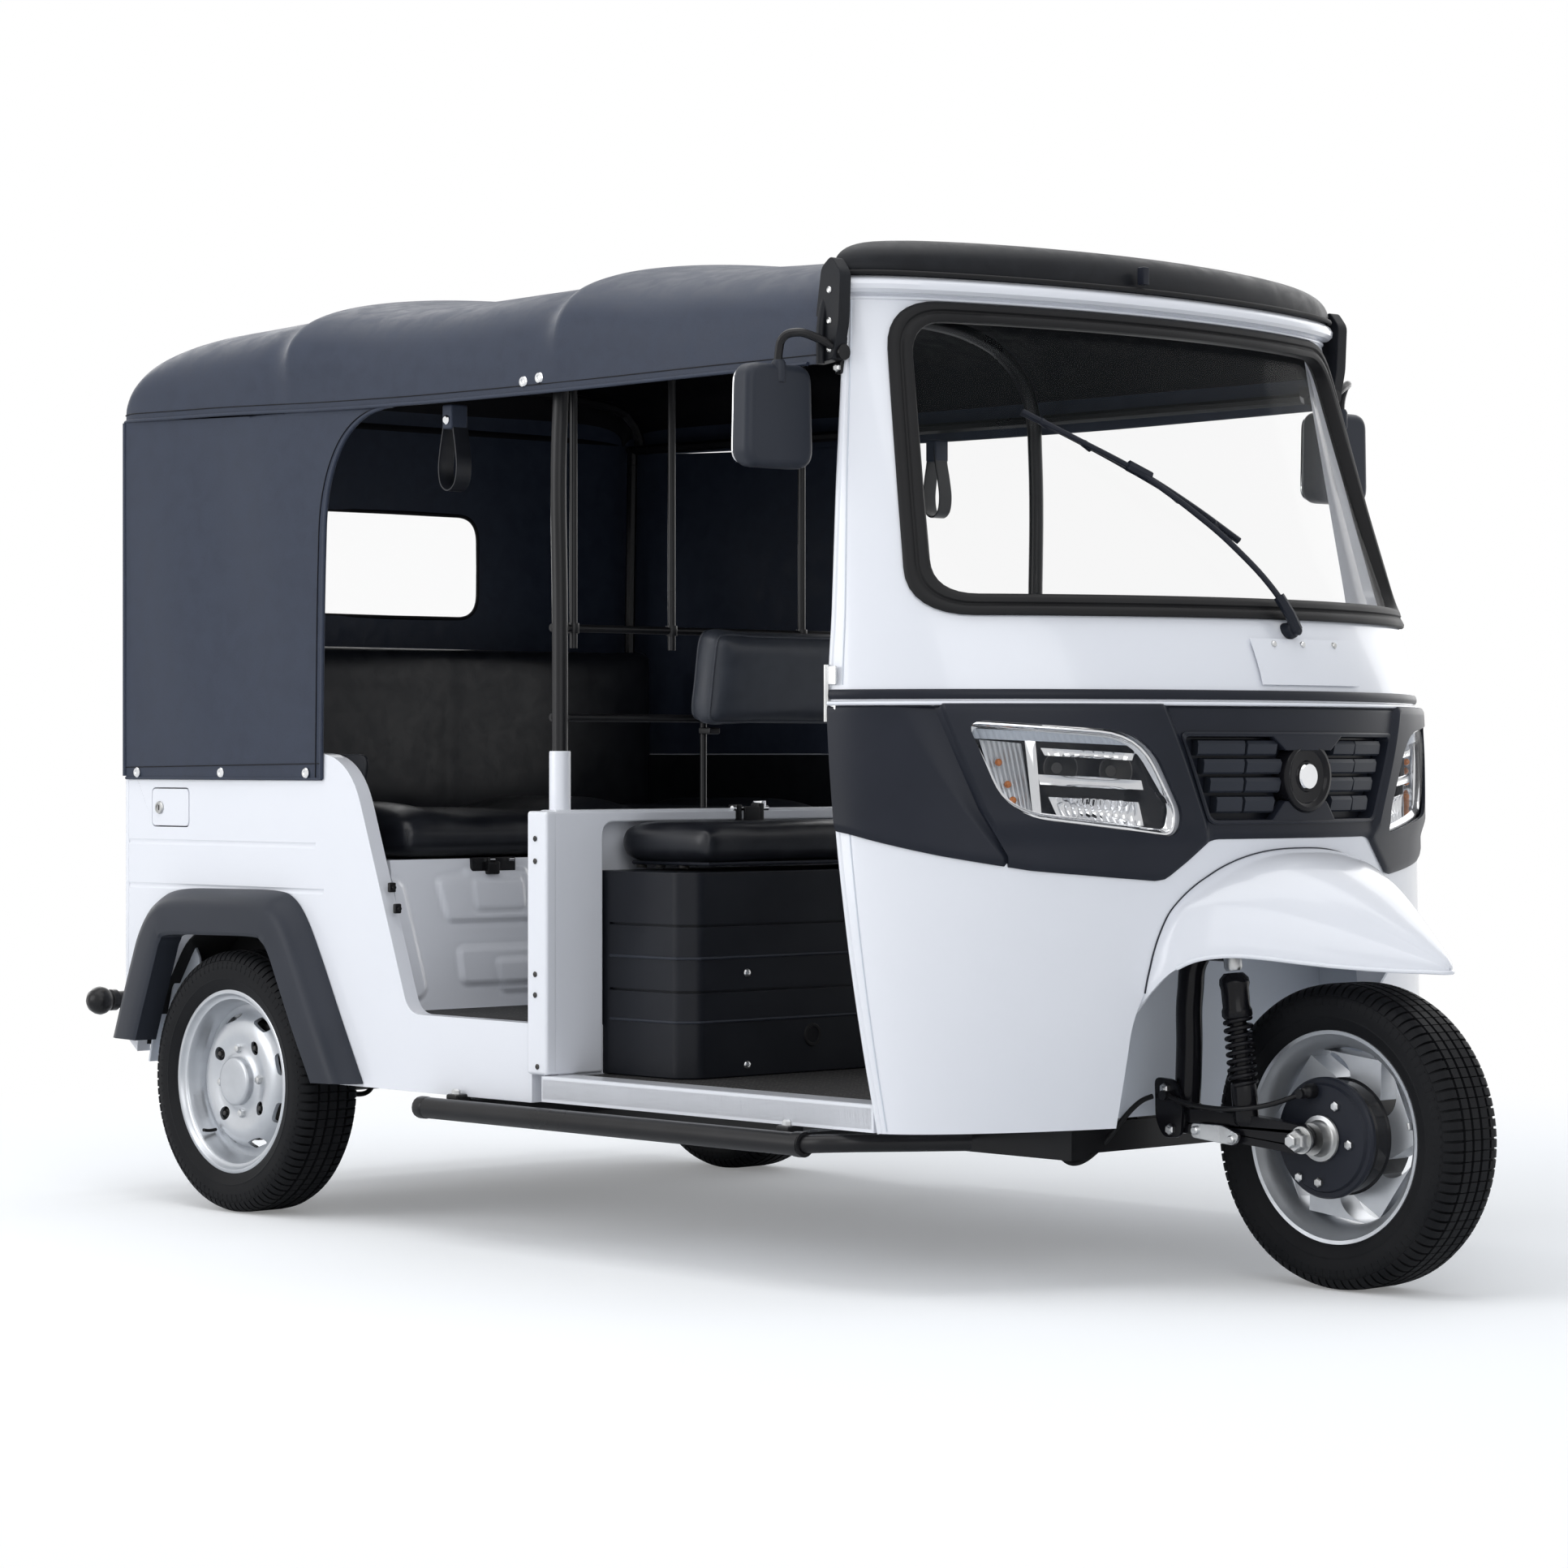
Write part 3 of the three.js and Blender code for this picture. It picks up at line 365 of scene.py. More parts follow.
def seen_directly(nodes):
    """One for camera, mirror and glass rays, which show the white backdrop."""
    path = nodes.add("ShaderNodeLightPath")
    some = nodes.sum_of(path.outputs["Is Camera Ray"], path.outputs["Is Glossy Ray"], "MAXIMUM")
    return nodes.sum_of(some, path.outputs["Is Transmission Ray"], "MAXIMUM")


def set_up_world():
    world = bpy.data.worlds.new("studio")
    bpy.context.scene.world = world
    world.use_nodes = True
    nodes = Nodes(world.node_tree)
    world.node_tree.nodes.clear()
    around = nodes.add("ShaderNodeBackground", {"Color": (0.88, 0.93, 1.0, 1), "Strength": 0.45})
    white = nodes.add("ShaderNodeBackground", {"Color": (1, 1, 1, 1), "Strength": WHITE_LEVEL})
    both = nodes.add("ShaderNodeMixShader", {0: seen_directly(nodes)})
    nodes.link(around.outputs[0], both.inputs[1])
    nodes.link(white.outputs[0], both.inputs[2])
    out = nodes.add("ShaderNodeOutputWorld")
    nodes.link(both.outputs[0], out.inputs[0])


def set_up_floor():
    """A pale floor that keeps its shadow near the vehicle and runs out into the white backdrop."""
    rest_hands()
    bpy.ops.mesh.primitive_plane_add(size=60)
    floor = settle("studio_floor")
    material = bpy.data.materials.new("studio_floor")
    material.use_nodes = True
    nodes = Nodes(material.node_tree)
    material.node_tree.nodes.clear()
    diffuse = nodes.add("ShaderNodeBsdfDiffuse", {"Color": (0.86, 0.87, 0.88, 1)})
    path = nodes.add("ShaderNodeLightPath")
    glow = nodes.add("ShaderNodeEmission", {"Color": (1, 1, 1, 1)})
    nodes.link(nodes.ramp(path.outputs["Is Camera Ray"], 0, 1, 0.0, FLOOR_GLOW), glow.inputs["Strength"])
    near = nodes.add("ShaderNodeAddShader")
    nodes.link(diffuse.outputs[0], near.inputs[0])
    nodes.link(glow.outputs[0], near.inputs[1])
    white = nodes.add("ShaderNodeEmission", {"Color": (1, 1, 1, 1), "Strength": WHITE_LEVEL})
    place = nodes.place()
    reach = nodes.add("ShaderNodeVectorMath", {0: place}, operation="LENGTH").outputs["Value"]
    far = nodes.ramp(reach, 2.2, 3.6)
    seen = nodes.sum_of(far, seen_directly(nodes), "MULTIPLY")
    total = nodes.add("ShaderNodeMixShader", {0: seen})
    nodes.link(near.outputs[0], total.inputs[1])
    nodes.link(white.outputs[0], total.inputs[2])
    nodes.link(total.outputs[0], nodes.add("ShaderNodeOutputMaterial").inputs[0])
    floor.data.materials.append(material)


# name, place, aim, size, power
LAMPS = [
    ("top_softbox", (0, -600, 4200), (0, 0, 900), 4.6, 95),
    ("front_softbox", (4600, -2600, 2600), (900, 0, 900), 3.0, 42),
    ("side_softbox", (-1800, -4800, 2300), (-300, 0, 900), 3.2, 84),
    ("far_softbox", (-500, 4600, 2600), (0, 0, 900), 3.2, 40),
    ("back_softbox", (-4600, 800, 2400), (-900, 0, 1000), 2.6, 30),
]


def set_up_lamps():
    for name, place, aim, size, power in LAMPS:
        rest_hands()
        bpy.ops.object.light_add(type="AREA", location=Vector(place) * MM)
        lamp = bpy.context.object
        lamp.name = name
        lamp.data.size = size
        lamp.data.energy = power
        lamp.rotation_euler = (Vector(place) - Vector(aim)).to_track_quat("Z", "Y").to_euler()


# ---- shared surface effects ----
def new_group(name, inputs, outputs):
    group = bpy.data.node_groups.new(name, "ShaderNodeTree")
    for label, value in inputs.items():
        socket = group.interface.new_socket(name=label, in_out="INPUT", socket_type="NodeSocketFloat")
        socket.default_value = value
    for label in outputs:
        group.interface.new_socket(name=label, in_out="OUTPUT", socket_type="NodeSocketFloat")
    return group, Nodes(group)


def make_moulded_grain():
    """Fine pitted grain of moulded plastic or powder coat, with slow changes of shine."""
    group, nodes = new_group("moulded_grain", {"Grain Size": 900.0, "Patch Size": 6.0}, ("Height", "Patches"))
    start = nodes.add("NodeGroupInput")
    place = nodes.place()
    pits = nodes.add("ShaderNodeTexVoronoi", {"Vector": place, "Scale": start.outputs["Grain Size"]})
    fine = nodes.noise(place, start.outputs["Grain Size"], 2.0)
    slow = nodes.noise(place, start.outputs["Patch Size"], 3.0)
    height = nodes.mix(0.5, pits.outputs["Distance"], fine)
    out = nodes.add("NodeGroupOutput")
    nodes.link(height, out.inputs["Height"])
    nodes.link(nodes.ramp(slow, 0.3, 0.7), out.inputs["Patches"])
    return group


def make_hide_grain():
    """Creased cells of leather cloth, with slow folds across them."""
    group, nodes = new_group("hide_grain", {"Cell Size": 380.0, "Crease Size": 26.0},
                             ("Height", "Cells", "Creases"))
    start = nodes.add("NodeGroupInput")
    place = nodes.place()
    wander = nodes.add("ShaderNodeTexNoise", {"Vector": place, "Scale": 120.0, "Detail": 2.0})
    bent = nodes.add("ShaderNodeVectorMath", {0: wander.outputs["Color"], "Scale": 0.0016}, operation="SCALE")
    moved = nodes.add("ShaderNodeVectorMath", {0: place, 1: bent.outputs[0]}, operation="ADD")
    cells = nodes.add("ShaderNodeTexVoronoi",
                      {"Vector": moved.outputs[0], "Scale": start.outputs["Cell Size"]},
                      feature="DISTANCE_TO_EDGE")
    creases = nodes.noise(place, start.outputs["Crease Size"], 4.0, Distortion=0.6)
    out = nodes.add("NodeGroupOutput")
    cell = nodes.ramp(cells.outputs["Distance"], 0.0, 0.12)
    nodes.link(nodes.mix(0.3, cell, creases), out.inputs["Height"])
    nodes.link(cell, out.inputs["Cells"])
    nodes.link(nodes.ramp(creases, 0.35, 0.65), out.inputs["Creases"])
    return group


def make_road_dust():
    """A light film that gathers towards the ground and in slow patches."""
    group, nodes = new_group("road_dust", {"Low": 0.0, "High": 0.5, "Amount": 0.1}, ("Dust",))
    start = nodes.add("NodeGroupInput")
    place = nodes.place()
    height = nodes.add("ShaderNodeSeparateXYZ", {0: place}).outputs["Z"]
    fall = nodes.add("ShaderNodeMapRange", {"Value": height, "From Min": start.outputs["Low"],
                                            "From Max": start.outputs["High"], "To Min": 1.0, "To Max": 0.0})
    patches = nodes.noise(place, 9.0, 5.0)
    some = nodes.sum_of(fall.outputs[0], nodes.ramp(patches, 0.35, 0.7), "MULTIPLY")
    out = nodes.add("NodeGroupOutput")
    nodes.link(nodes.sum_of(some, start.outputs["Amount"], "MULTIPLY"), out.inputs["Dust"])
    return group


MOULDED = make_moulded_grain()
HIDE = make_hide_grain()
DUST = make_road_dust()


def start_material(name, **constants):
    """A material with a Principled shader and the constants on its own sockets."""
    material = bpy.data.materials.new(name)
    material.use_nodes = True
    shader = material.node_tree.nodes["Principled BSDF"]
    for label, value in constants.items():
        shader.inputs[label.replace("_", " ")].default_value = value
    return material, Nodes(material.node_tree), shader


def use_group(nodes, group, **values):
    node = nodes.add("ShaderNodeGroup", node_tree=group)
    for label, value in values.items():
        node.inputs[label.replace("_", " ")].default_value = value
    return node


def bump(nodes, shader, height, strength, distance):
    node = nodes.add("ShaderNodeBump", {"Height": height, "Strength": strength, "Distance": distance})
    nodes.link(node.outputs["Normal"], shader.inputs["Normal"])


def paint_material(name, colour, shadow, roughness, coat, dust=0.02):
    """Sprayed gloss paint: faint orange peel, a slow change of tone and a little dust low down."""
    material, nodes, shader = start_material(name, Coat_Weight=coat, Coat_Roughness=0.06)
    place = nodes.place()
    peel = nodes.noise(place, 260.0, 1.0)
    slow = nodes.noise(place, 3.0, 2.0)
    film = use_group(nodes, DUST, High=0.7, Amount=dust)
    base = nodes.tint(nodes.ramp(slow, 0.1, 0.9), colour, shadow)
    nodes.link(nodes.tint(film.outputs["Dust"], base, (0.36, 0.33, 0.3)), shader.inputs["Base Color"])
    shine = nodes.ramp(slow, 0.1, 0.9, roughness * 0.85, roughness * 1.15)
    nodes.link(nodes.sum_of(shine, film.outputs["Dust"]), shader.inputs["Roughness"])
    bump(nodes, shader, peel, 0.06, 0.0006)
    return material


def plastic_material(name, colour, worn, roughness, grain=900.0, depth=0.25, metallic=0.0, dust=0.012,
                     gloss=0.18):
    """Moulded plastic, rubber or powder coat: pitted grain, patchy shine and a light dust."""
    material, nodes, shader = start_material(name, Metallic=metallic, Specular_IOR_Level=gloss)
    surface = use_group(nodes, MOULDED, Grain_Size=grain)
    film = use_group(nodes, DUST, High=0.6, Amount=dust)
    base = nodes.tint(surface.outputs["Patches"], colour, worn)
    nodes.link(nodes.tint(film.outputs["Dust"], base, (0.3, 0.28, 0.26)), shader.inputs["Base Color"])
    shine = nodes.ramp(surface.outputs["Patches"], 0.0, 1.0, roughness * 0.88, roughness * 1.12)
    nodes.link(shine, shader.inputs["Roughness"])
    bump(nodes, shader, surface.outputs["Height"], depth, 0.0004)
    return material


def hide_material(name, colour, worn, roughness, cell, depth, sheen=0.0, gloss=0.16, groove_shade=0.3):
    """Leather cloth: cells, creases and a faint sheen, with painted shade darkening the sunken lines between
    the cells.
    """
    material, nodes, shader = start_material(name, Sheen_Weight=sheen, Sheen_Roughness=0.5,
                                             Specular_IOR_Level=gloss)
    surface = use_group(nodes, HIDE, Cell_Size=cell)
    base = nodes.tint(surface.outputs["Creases"], colour, worn)
    # Painted shade: the sunken edges of the cells are tinted towards near black by the given share.
    nodes.link(nodes.tint(nodes.ramp(surface.outputs["Cells"], 0, 1, groove_shade, 0.0), base,
                          (0.004, 0.004, 0.005)),
               shader.inputs["Base Color"])
    nodes.link(nodes.ramp(surface.outputs["Creases"], 0, 1, roughness * 0.85, roughness * 1.15),
               shader.inputs["Roughness"])
    bump(nodes, shader, surface.outputs["Height"], depth, 0.0006)
    return material


def metal_material(name, colour, worn, roughness, metallic=1.0, streak=600.0):
    """Bare, plated or silver-painted metal with fine streaks."""
    material, nodes, shader = start_material(name, Metallic=metallic)
    place = nodes.place()
    fine = nodes.noise(place, streak, 3.0)
    slow = nodes.noise(place, 14.0, 4.0)
    nodes.link(nodes.tint(nodes.ramp(slow, 0.4, 0.7), colour, worn), shader.inputs["Base Color"])
    nodes.link(nodes.ramp(slow, 0.3, 0.7, roughness * 0.8, roughness * 1.25),
               shader.inputs["Roughness"])
    bump(nodes, shader, fine, 0.12, 0.0003)
    return material


def glass_material(name, colour, roughness, alpha):
    """Thin clear glass or plastic that lets what is behind it show."""
    material, nodes, shader = start_material(name, Base_Color=(*colour, 1.0), IOR=1.45, Metallic=0.0,
                                             Alpha=alpha, Coat_Weight=0.3, Coat_Roughness=0.03)
    place = nodes.place()
    smear = nodes.noise(place, 7.0, 4.0)
    nodes.link(nodes.ramp(smear, 0.3, 0.7, roughness * 0.6, roughness * 1.6),
               shader.inputs["Roughness"])
    return material


def speckled_mat_material():
    """Rubber floor mat with raised dots."""
    material, nodes, shader = start_material("speckled_rubber_mat")
    place = nodes.place()
    dots = nodes.add("ShaderNodeTexVoronoi", {"Vector": place, "Scale": 105.0, "Randomness": 0.35})
    dot = nodes.ramp(dots.outputs["Distance"], 0.28, 0.42, 1.0, 0.0)
    nodes.link(nodes.tint(dot, (0.005, 0.005, 0.006), (0.034, 0.030, 0.027)), shader.inputs["Base Color"])
    nodes.link(nodes.ramp(dot, 0, 1, 0.75, 0.5), shader.inputs["Roughness"])
    bump(nodes, shader, dot, 0.5, 0.0015)
    return material


WHITE_PAINT = paint_material("white_gloss_paint", (0.862, 0.876, 0.922), (0.832, 0.848, 0.898), 0.24, 0.5)
# Painted shade: a darker, bluer and less glossy copy of the white paint, for the wheel housings and well, the
# arch stays, the bench ends and the cab's edge seams.
SHADED_WHITE_PAINT = paint_material("white_paint_painted_shade", (0.70, 0.74, 0.80), (0.65, 0.69, 0.76), 0.42, 0.1, 0.06)
BLACK_PLASTIC = plastic_material("satin_black_plastic", (0.013, 0.0155, 0.023), (0.018, 0.0205, 0.030), 0.36,
                                 1400.0, 0.12)
GLOSS_BLACK = plastic_material("gloss_black_plastic", (0.006, 0.006, 0.008), (0.009, 0.009, 0.011), 0.16,
                               1400.0, 0.04)
# Dark grey plastic of the flares, mirrors, louvres, mudguard seam and socket; on the seat box's ribs it is
# painted highlight.
GREY_PLASTIC_AND_RIB_HIGHLIGHT = plastic_material("dark_grey_plastic_and_rib_highlight", (0.025, 0.029, 0.039), (0.031, 0.035, 0.046), 0.38,
                                1100.0, 0.2)
BOX_PLASTIC = plastic_material("grained_black_plastic", (0.009, 0.010, 0.014), (0.013, 0.0145, 0.019), 0.36,
                               700.0, 0.35)
BLACK_STEEL = plastic_material("black_powder_coat", (0.008, 0.008, 0.009), (0.014, 0.014, 0.016), 0.30,
                               1000.0, 0.12, 0.2, 0.012, 0.3)
RUBBER = plastic_material("black_rubber", (0.008, 0.008, 0.009), (0.014, 0.014, 0.015), 0.55, 800.0, 0.3)
TYRE = plastic_material("tyre_rubber", (0.007, 0.0075, 0.009), (0.011, 0.0115, 0.013), 0.55, 500.0, 0.35, 0.0,
                        0.02, 0.09)
CANOPY_VINYL = hide_material("canopy_leather_cloth", (0.027, 0.036, 0.061), (0.035, 0.045, 0.072), 0.44,
                             520.0, 0.10, 0.04, 0.20)
CANOPY_BLACK = hide_material("black_leather_cloth", (0.009, 0.010, 0.013), (0.013, 0.0145, 0.018), 0.40,
                             520.0, 0.1)
# Near-black cloth of the canopy lining, stitches, seams and piping; on the disc in the seat box's hole it is
# painted shade.
LINING_AND_HOLE_SHADE = hide_material("canopy_inner_cloth_and_hole_shade", (0.005, 0.005, 0.007), (0.008, 0.008, 0.011), 0.6, 300.0, 0.2)
SEAT_HIDE = hide_material("seat_leather_cloth", (0.010, 0.011, 0.015), (0.014, 0.0155, 0.020), 0.34, 420.0,
                          0.02, 0.0, 0.34, 0.06)
# A lighter copy of the seat cover: painted highlight for the driver's backrest and its piping, which face the
# light.
SEAT_HIDE_PAINTED_HIGHLIGHT = hide_material("seat_leather_cloth_painted_highlight", (0.042, 0.047, 0.060), (0.050, 0.056, 0.070), 0.40,
                              420.0, 0.02, 0.0, 0.36, 0.06)
SILVER = metal_material("silver_wheel_paint", (0.56, 0.58, 0.61), (0.48, 0.50, 0.53), 0.34, 0.75)
ZINC = metal_material("zinc_plated_steel", (0.62, 0.63, 0.64), (0.42, 0.42, 0.41), 0.30)
CHROME = metal_material("chrome", (0.80, 0.81, 0.83), (0.72, 0.73, 0.75), 0.08, 1.0, 300.0)
DARK_IRON = metal_material("dark_iron", (0.05, 0.05, 0.052), (0.09, 0.085, 0.08), 0.5, 0.8)
SCREEN_GLASS = glass_material("screen_glass", (0.04, 0.05, 0.055), 0.03, 0.04)
CLEAR_LENS = glass_material("clear_lens", (0.10, 0.11, 0.13), 0.04, 0.08)
LIGHT_GUIDE = glass_material("light_guide", (0.80, 0.86, 0.95), 0.12, 0.55)
FILM_WINDOW = glass_material("clear_film_window", (0.92, 0.94, 0.95), 0.1, 0.025)
AMBER = glass_material("amber_lens", (0.75, 0.22, 0.02), 0.12, 0.8)
RED_LENS = glass_material("red_lens", (0.42, 0.015, 0.012), 0.12, 0.92)
FLOOR_MAT = speckled_mat_material()

USUAL_SLOTS = {
    "white_panels": (WHITE_PAINT, SHADED_WHITE_PAINT),
    "black_plastic": (BLACK_PLASTIC, GREY_PLASTIC_AND_RIB_HIGHLIGHT, BOX_PLASTIC, CANOPY_BLACK),
    "black_metal": (GLOSS_BLACK, BLACK_STEEL), "rubber": (RUBBER, FLOOR_MAT), "tyre_rubber": (TYRE,),
    "canopy_vinyl": (CANOPY_VINYL, LINING_AND_HOLE_SHADE), "seat_vinyl": (SEAT_HIDE, SEAT_HIDE_PAINTED_HIGHLIGHT),
    "silver_metal": (SILVER, ZINC, CHROME, DARK_IRON),
    "clear_glass": (SCREEN_GLASS, CLEAR_LENS, LIGHT_GUIDE, FILM_WINDOW), "red_lens": (AMBER, RED_LENS)}

set_up_camera()
set_up_world()
set_up_floor()
set_up_lamps()


# ---- the cab's surface ----
# height, x of the rear edge, half width there, x of the nose on the centre line
CAB_ROWS = [
    (262, 788, 664, 1020), (400, 762, 672, 1052), (560, 733, 676, 1078), (770, 701, 676, 1100),
    (958, 686, 675, 1104), (1085, 684, 665, 1056), (1300, 664, 636, 940), (1500, 646, 606, 836),
    (1570, 640, 597, 800), (1640, 634, 590, 775),
]
CAB_FOOT, BELT_Z, CAB_TOP = 262, 958, 1640
WALL = 30


def cab_row(z):
    """Rear edge, half width and nose at a height, smooth between the rows."""
    z = min(max(z, CAB_ROWS[0][0]), CAB_ROWS[-1][0])
    k = next(i for i in range(1, len(CAB_ROWS)) if CAB_ROWS[i][0] >= z)
    low, high = CAB_ROWS[k - 1], CAB_ROWS[k]
    before, after = CAB_ROWS[max(k - 2, 0)], CAB_ROWS[min(k + 1, len(CAB_ROWS) - 1)]
    span = high[0] - low[0]
    t = (z - low[0]) / span
    row = []
    for i in (1, 2, 3):
        start = (high[i] - before[i]) / (high[0] - before[0]) * span
        end = (after[i] - low[i]) / (after[0] - low[0]) * span
        row.append(low[i] * (1 - 3 * t * t + 2 * t ** 3) + high[i] * (3 * t * t - 2 * t ** 3)
                   + start * (t - 2 * t * t + t ** 3) + end * (t ** 3 - t * t))
    return row


def on_cab(s, z, proud=0.0):
    """A point of the cab: s runs from -1 at the right rear edge by 0 at the nose to 1 on the left."""
    rear, half, nose = cab_row(z)
    t, side = 1 - min(abs(s), 1), (-1 if s < 0 else 1)
    knots = ((rear, half), (rear + 0.45 * (nose - rear), half - 22), (nose, 0.49 * half), (nose, 0))
    share = ((1 - t) ** 3, 3 * t * (1 - t) ** 2, 3 * t * t * (1 - t), t ** 3)
    slope = (-((1 - t) ** 2), (1 - t) * (1 - 3 * t), t * (2 - 3 * t), t * t)
    x, y = (sum(w * p[i] for w, p in zip(share, knots)) for i in (0, 1))
    dx, dy = (sum(w * p[i] for w, p in zip(slope, knots)) for i in (0, 1))
    length = math.hypot(dx, dy)
    return Vector((x - dy / length * proud, side * (y + dx / length * proud), z))


def cab_share(y, z):
    """The s of the cab's point with this y at this height."""
    low, high = 0.0, 1.0
    for _ in range(22):
        half = (low + high) / 2
        if abs(on_cab(half, z).y) < abs(y):
            low = half
        else:
            high = half
    return math.copysign((low + high) / 2, y)


def at_front(y, z, proud=0.0):
    return on_cab(cab_share(y, z), z, proud)


def cab_normal(s, z):
    return (on_cab(s, z, 1) - on_cab(s, z, 0)).normalized()


def cab_strip(name, profile, s_start, s_end, height, cells=140):
    """A moulding along the cab; its closed profile is (up from height, proud of the cab)."""
    count = len(profile)
    centre = [sum(row[i] for row in profile) / count for i in (0, 1)]

    def place(u, v):
        up, proud = profile[round(v * count) % count]
        end = 1 if 0.5 / cells < u < 1 - 0.5 / cells else 0
        share = min(max((u * cells - 1) / (cells - 2), 0), 1)
        s = s_start + (s_end - s_start) * share
        up, proud = (up, proud) if end else centre
        level = height(s) if callable(height) else height
        return on_cab(s, level + up, proud)

    return close_up(sheet_of(name, place, cells, count))


def bead_profile(low, high, inner, outer, steps=6):
    """A half round bead between two heights, from inner to outer proud."""
    rows = [(low, inner), (high, inner)]
    middle_z, half = (low + high) / 2, (high - low) / 2
    for k in range(steps + 1):
        angle = math.pi * k / steps
        rows.append((middle_z + half * math.cos(angle),
                     inner + 1 + (outer - inner - 1) * math.sin(angle) ** 0.6))
    return rows


# Front outlines in Y and Z with corner radii: right half from low to high, mirrored by both_sides.
def both_sides(half):
    return [(y, z, r) for y, z, r in half] + [(-y, z, r) for y, z, r in reversed(half)]


SCREEN_OUTER = both_sides([(612, 1084, 78), (546, 1600, 82)])
SCREEN_INNER = both_sides([(578, 1119, 56), (514, 1566, 60)])
ARCH = both_sides([(322, 200, 0), (314, 440, 40), (262, 560, 50), (170, 668, 50)])
GRILLE = both_sides([(205, 752, 16), (262, 897, 14)])
LAMP = [(574, 917, 26), (330, 897, 62), (262, 768, 20), (268, 731, 16), (525, 766, 62)]


def middle_of(rows):
    return [sum(column) / len(rows) for column in list(zip(*rows))[:2]]


def front_cutter(rows, grow=0.0):
    middle = middle_of(rows)
    grown = [(*(value + grow * math.copysign(1, value - centre) for value, centre in zip(row, middle)),
              row[2])
             for row in rows]
    return prism("cutter", rounded(grown, 8), "X", 500, 1420)


def lamp_rows(side):
    rows = [(y * side, z, r) for y, z, r in LAMP]
    return rows if side > 0 else rows[::-1]


def dense_outline(corners, steps, straight):
    """A rounded outline with the same number of points on every straight."""
    arc = rounded(corners, steps)
    count = steps + 1
    points = []
    for i in range(len(corners)):
        points += arc[i * count:(i + 1) * count]
        start, end = arc[(i + 1) * count - 1], arc[((i + 1) * count) % len(arc)]
        points += [start.lerp(end, k / straight) for k in range(1, straight)]
    return points


def ring_on_cab(name, outer, inner, profile, steps=8, straight=36):
    """A closed ring on the cab: its profile is (share from outer to inner, proud of the cab)."""
    outside, inside = dense_outline(outer, steps, straight), dense_outline(inner, steps, straight)
    count, rows = len(outside), len(profile)

    def place(u, v):
        k = round(u * count) % count
        share, proud = profile[round(v * rows) % rows]
        y, z = outside[k].lerp(inside[k], share)
        return at_front(y, z, proud)

    return close_up(sheet_of(name, place, count, rows))


def cab_shell(name, low, high, cutters, node):
    """The cab's wall between two heights, with its openings cut and its edges rolled."""
    def place(u, v):
        return on_cab(2 * u - 1, low + (high - low) * v)
    shell = thicken(sheet_of(name, place, 112, 30), WALL)
    for cutter in cutters:
        carve(shell, cutter)
    finish(round_edges(shell, 1.6, 2, 40), WHITE_PAINT, 25, replaces=[node])


def make_cab_shells():
    openings = [front_cutter(ARCH), front_cutter(GRILLE, 2)]
    openings += [front_cutter(lamp_rows(side), 3) for side in SIDES]
    cab_shell("cab_apron", CAB_FOOT, BELT_Z - 0.5, openings, "nose_apron")
    cab_shell("cab_upper_shell", BELT_Z + 0.5, CAB_TOP, [front_cutter(SCREEN_OUTER, -8)], "cab_upper")
    for label, bead, reach, height, look in (
            ("cab_header_lip", (-30, 0, -4, 24), 1, CAB_TOP - 1, WHITE_PAINT),
            ("cab_header_gutter", (-39, -32, -3, 4), 1, CAB_TOP - 1, WHITE_PAINT),
            ("belt_band", (-2, 15, -3, 5), 0.995, BELT_Z - 6, BLACK_PLASTIC),
            ("belt_bead", (-12, -3.5, -3, 11), 0.995, BELT_Z - 6, WHITE_PAINT),
            ("belt_groove", (-15, -12.4, -3, 7), 0.995, BELT_Z - 6, BLACK_PLASTIC)):
        finish(cab_strip(label, bead_profile(*bead), -reach, reach, height), look)


def make_screen():
    profile = [(0.0, -2), (0.0, 5), (0.08, 9), (0.22, 11), (0.38, 10), (0.46, 6.5), (0.54, 6.5), (0.62, 10),
               (0.80, 10), (0.94, 7), (1.0, 1), (1.0, -14), (0.8, -20), (0.2, -20)]
    gasket = ring_on_cab("screen_rubber", SCREEN_OUTER, SCREEN_INNER, profile)
    finish(gasket, RUBBER, 40, replaces=["screen_gasket"])

    def place(u, v):
        return on_cab(1.8 * u - 0.9, 1090 + 500 * v, -10)
    glass = thicken(sheet_of("screen_glass", place, 72, 20), 5)
    carve(glass, front_cutter(SCREEN_INNER, 6), "INTERSECT")
    finish(glass, SCREEN_GLASS, 25, replaces=["windscreen"])


# ---- dark mask round the lamps and the grille ----
# share of the way round, lower edge height
MASK_EDGE = [(0.0, 726), (0.19, 726), (0.205, 722), (0.245, 691), (0.285, 663), (0.305, 660), (0.54, 678),
             (0.725, 702), (0.95, 735), (1.0, 740)]
MASK_TOP = 943
FACET_OUTER = [(700, 0.60), (773, 0.672), (935, 0.815), (960, 0.835)]
FACET_INNER = [(700, 0.585), (776, 0.638), (927, 0.712), (960, 0.725)]
PANEL_CREASE = [(700, 0.195), (756, 0.212), (937, 0.292), (960, 0.30)]


def along_table(table, value):
    """Straight line reading of a two-column table."""
    for (a, first), (b, second) in zip(table, table[1:]):
        if value <= b:
            return first + (second - first) * max(value - a, 0) / (b - a)
    return table[-1][1]


def eased(value):
    value = min(max(value, 0), 1)
    return value * value * (3 - 2 * value)


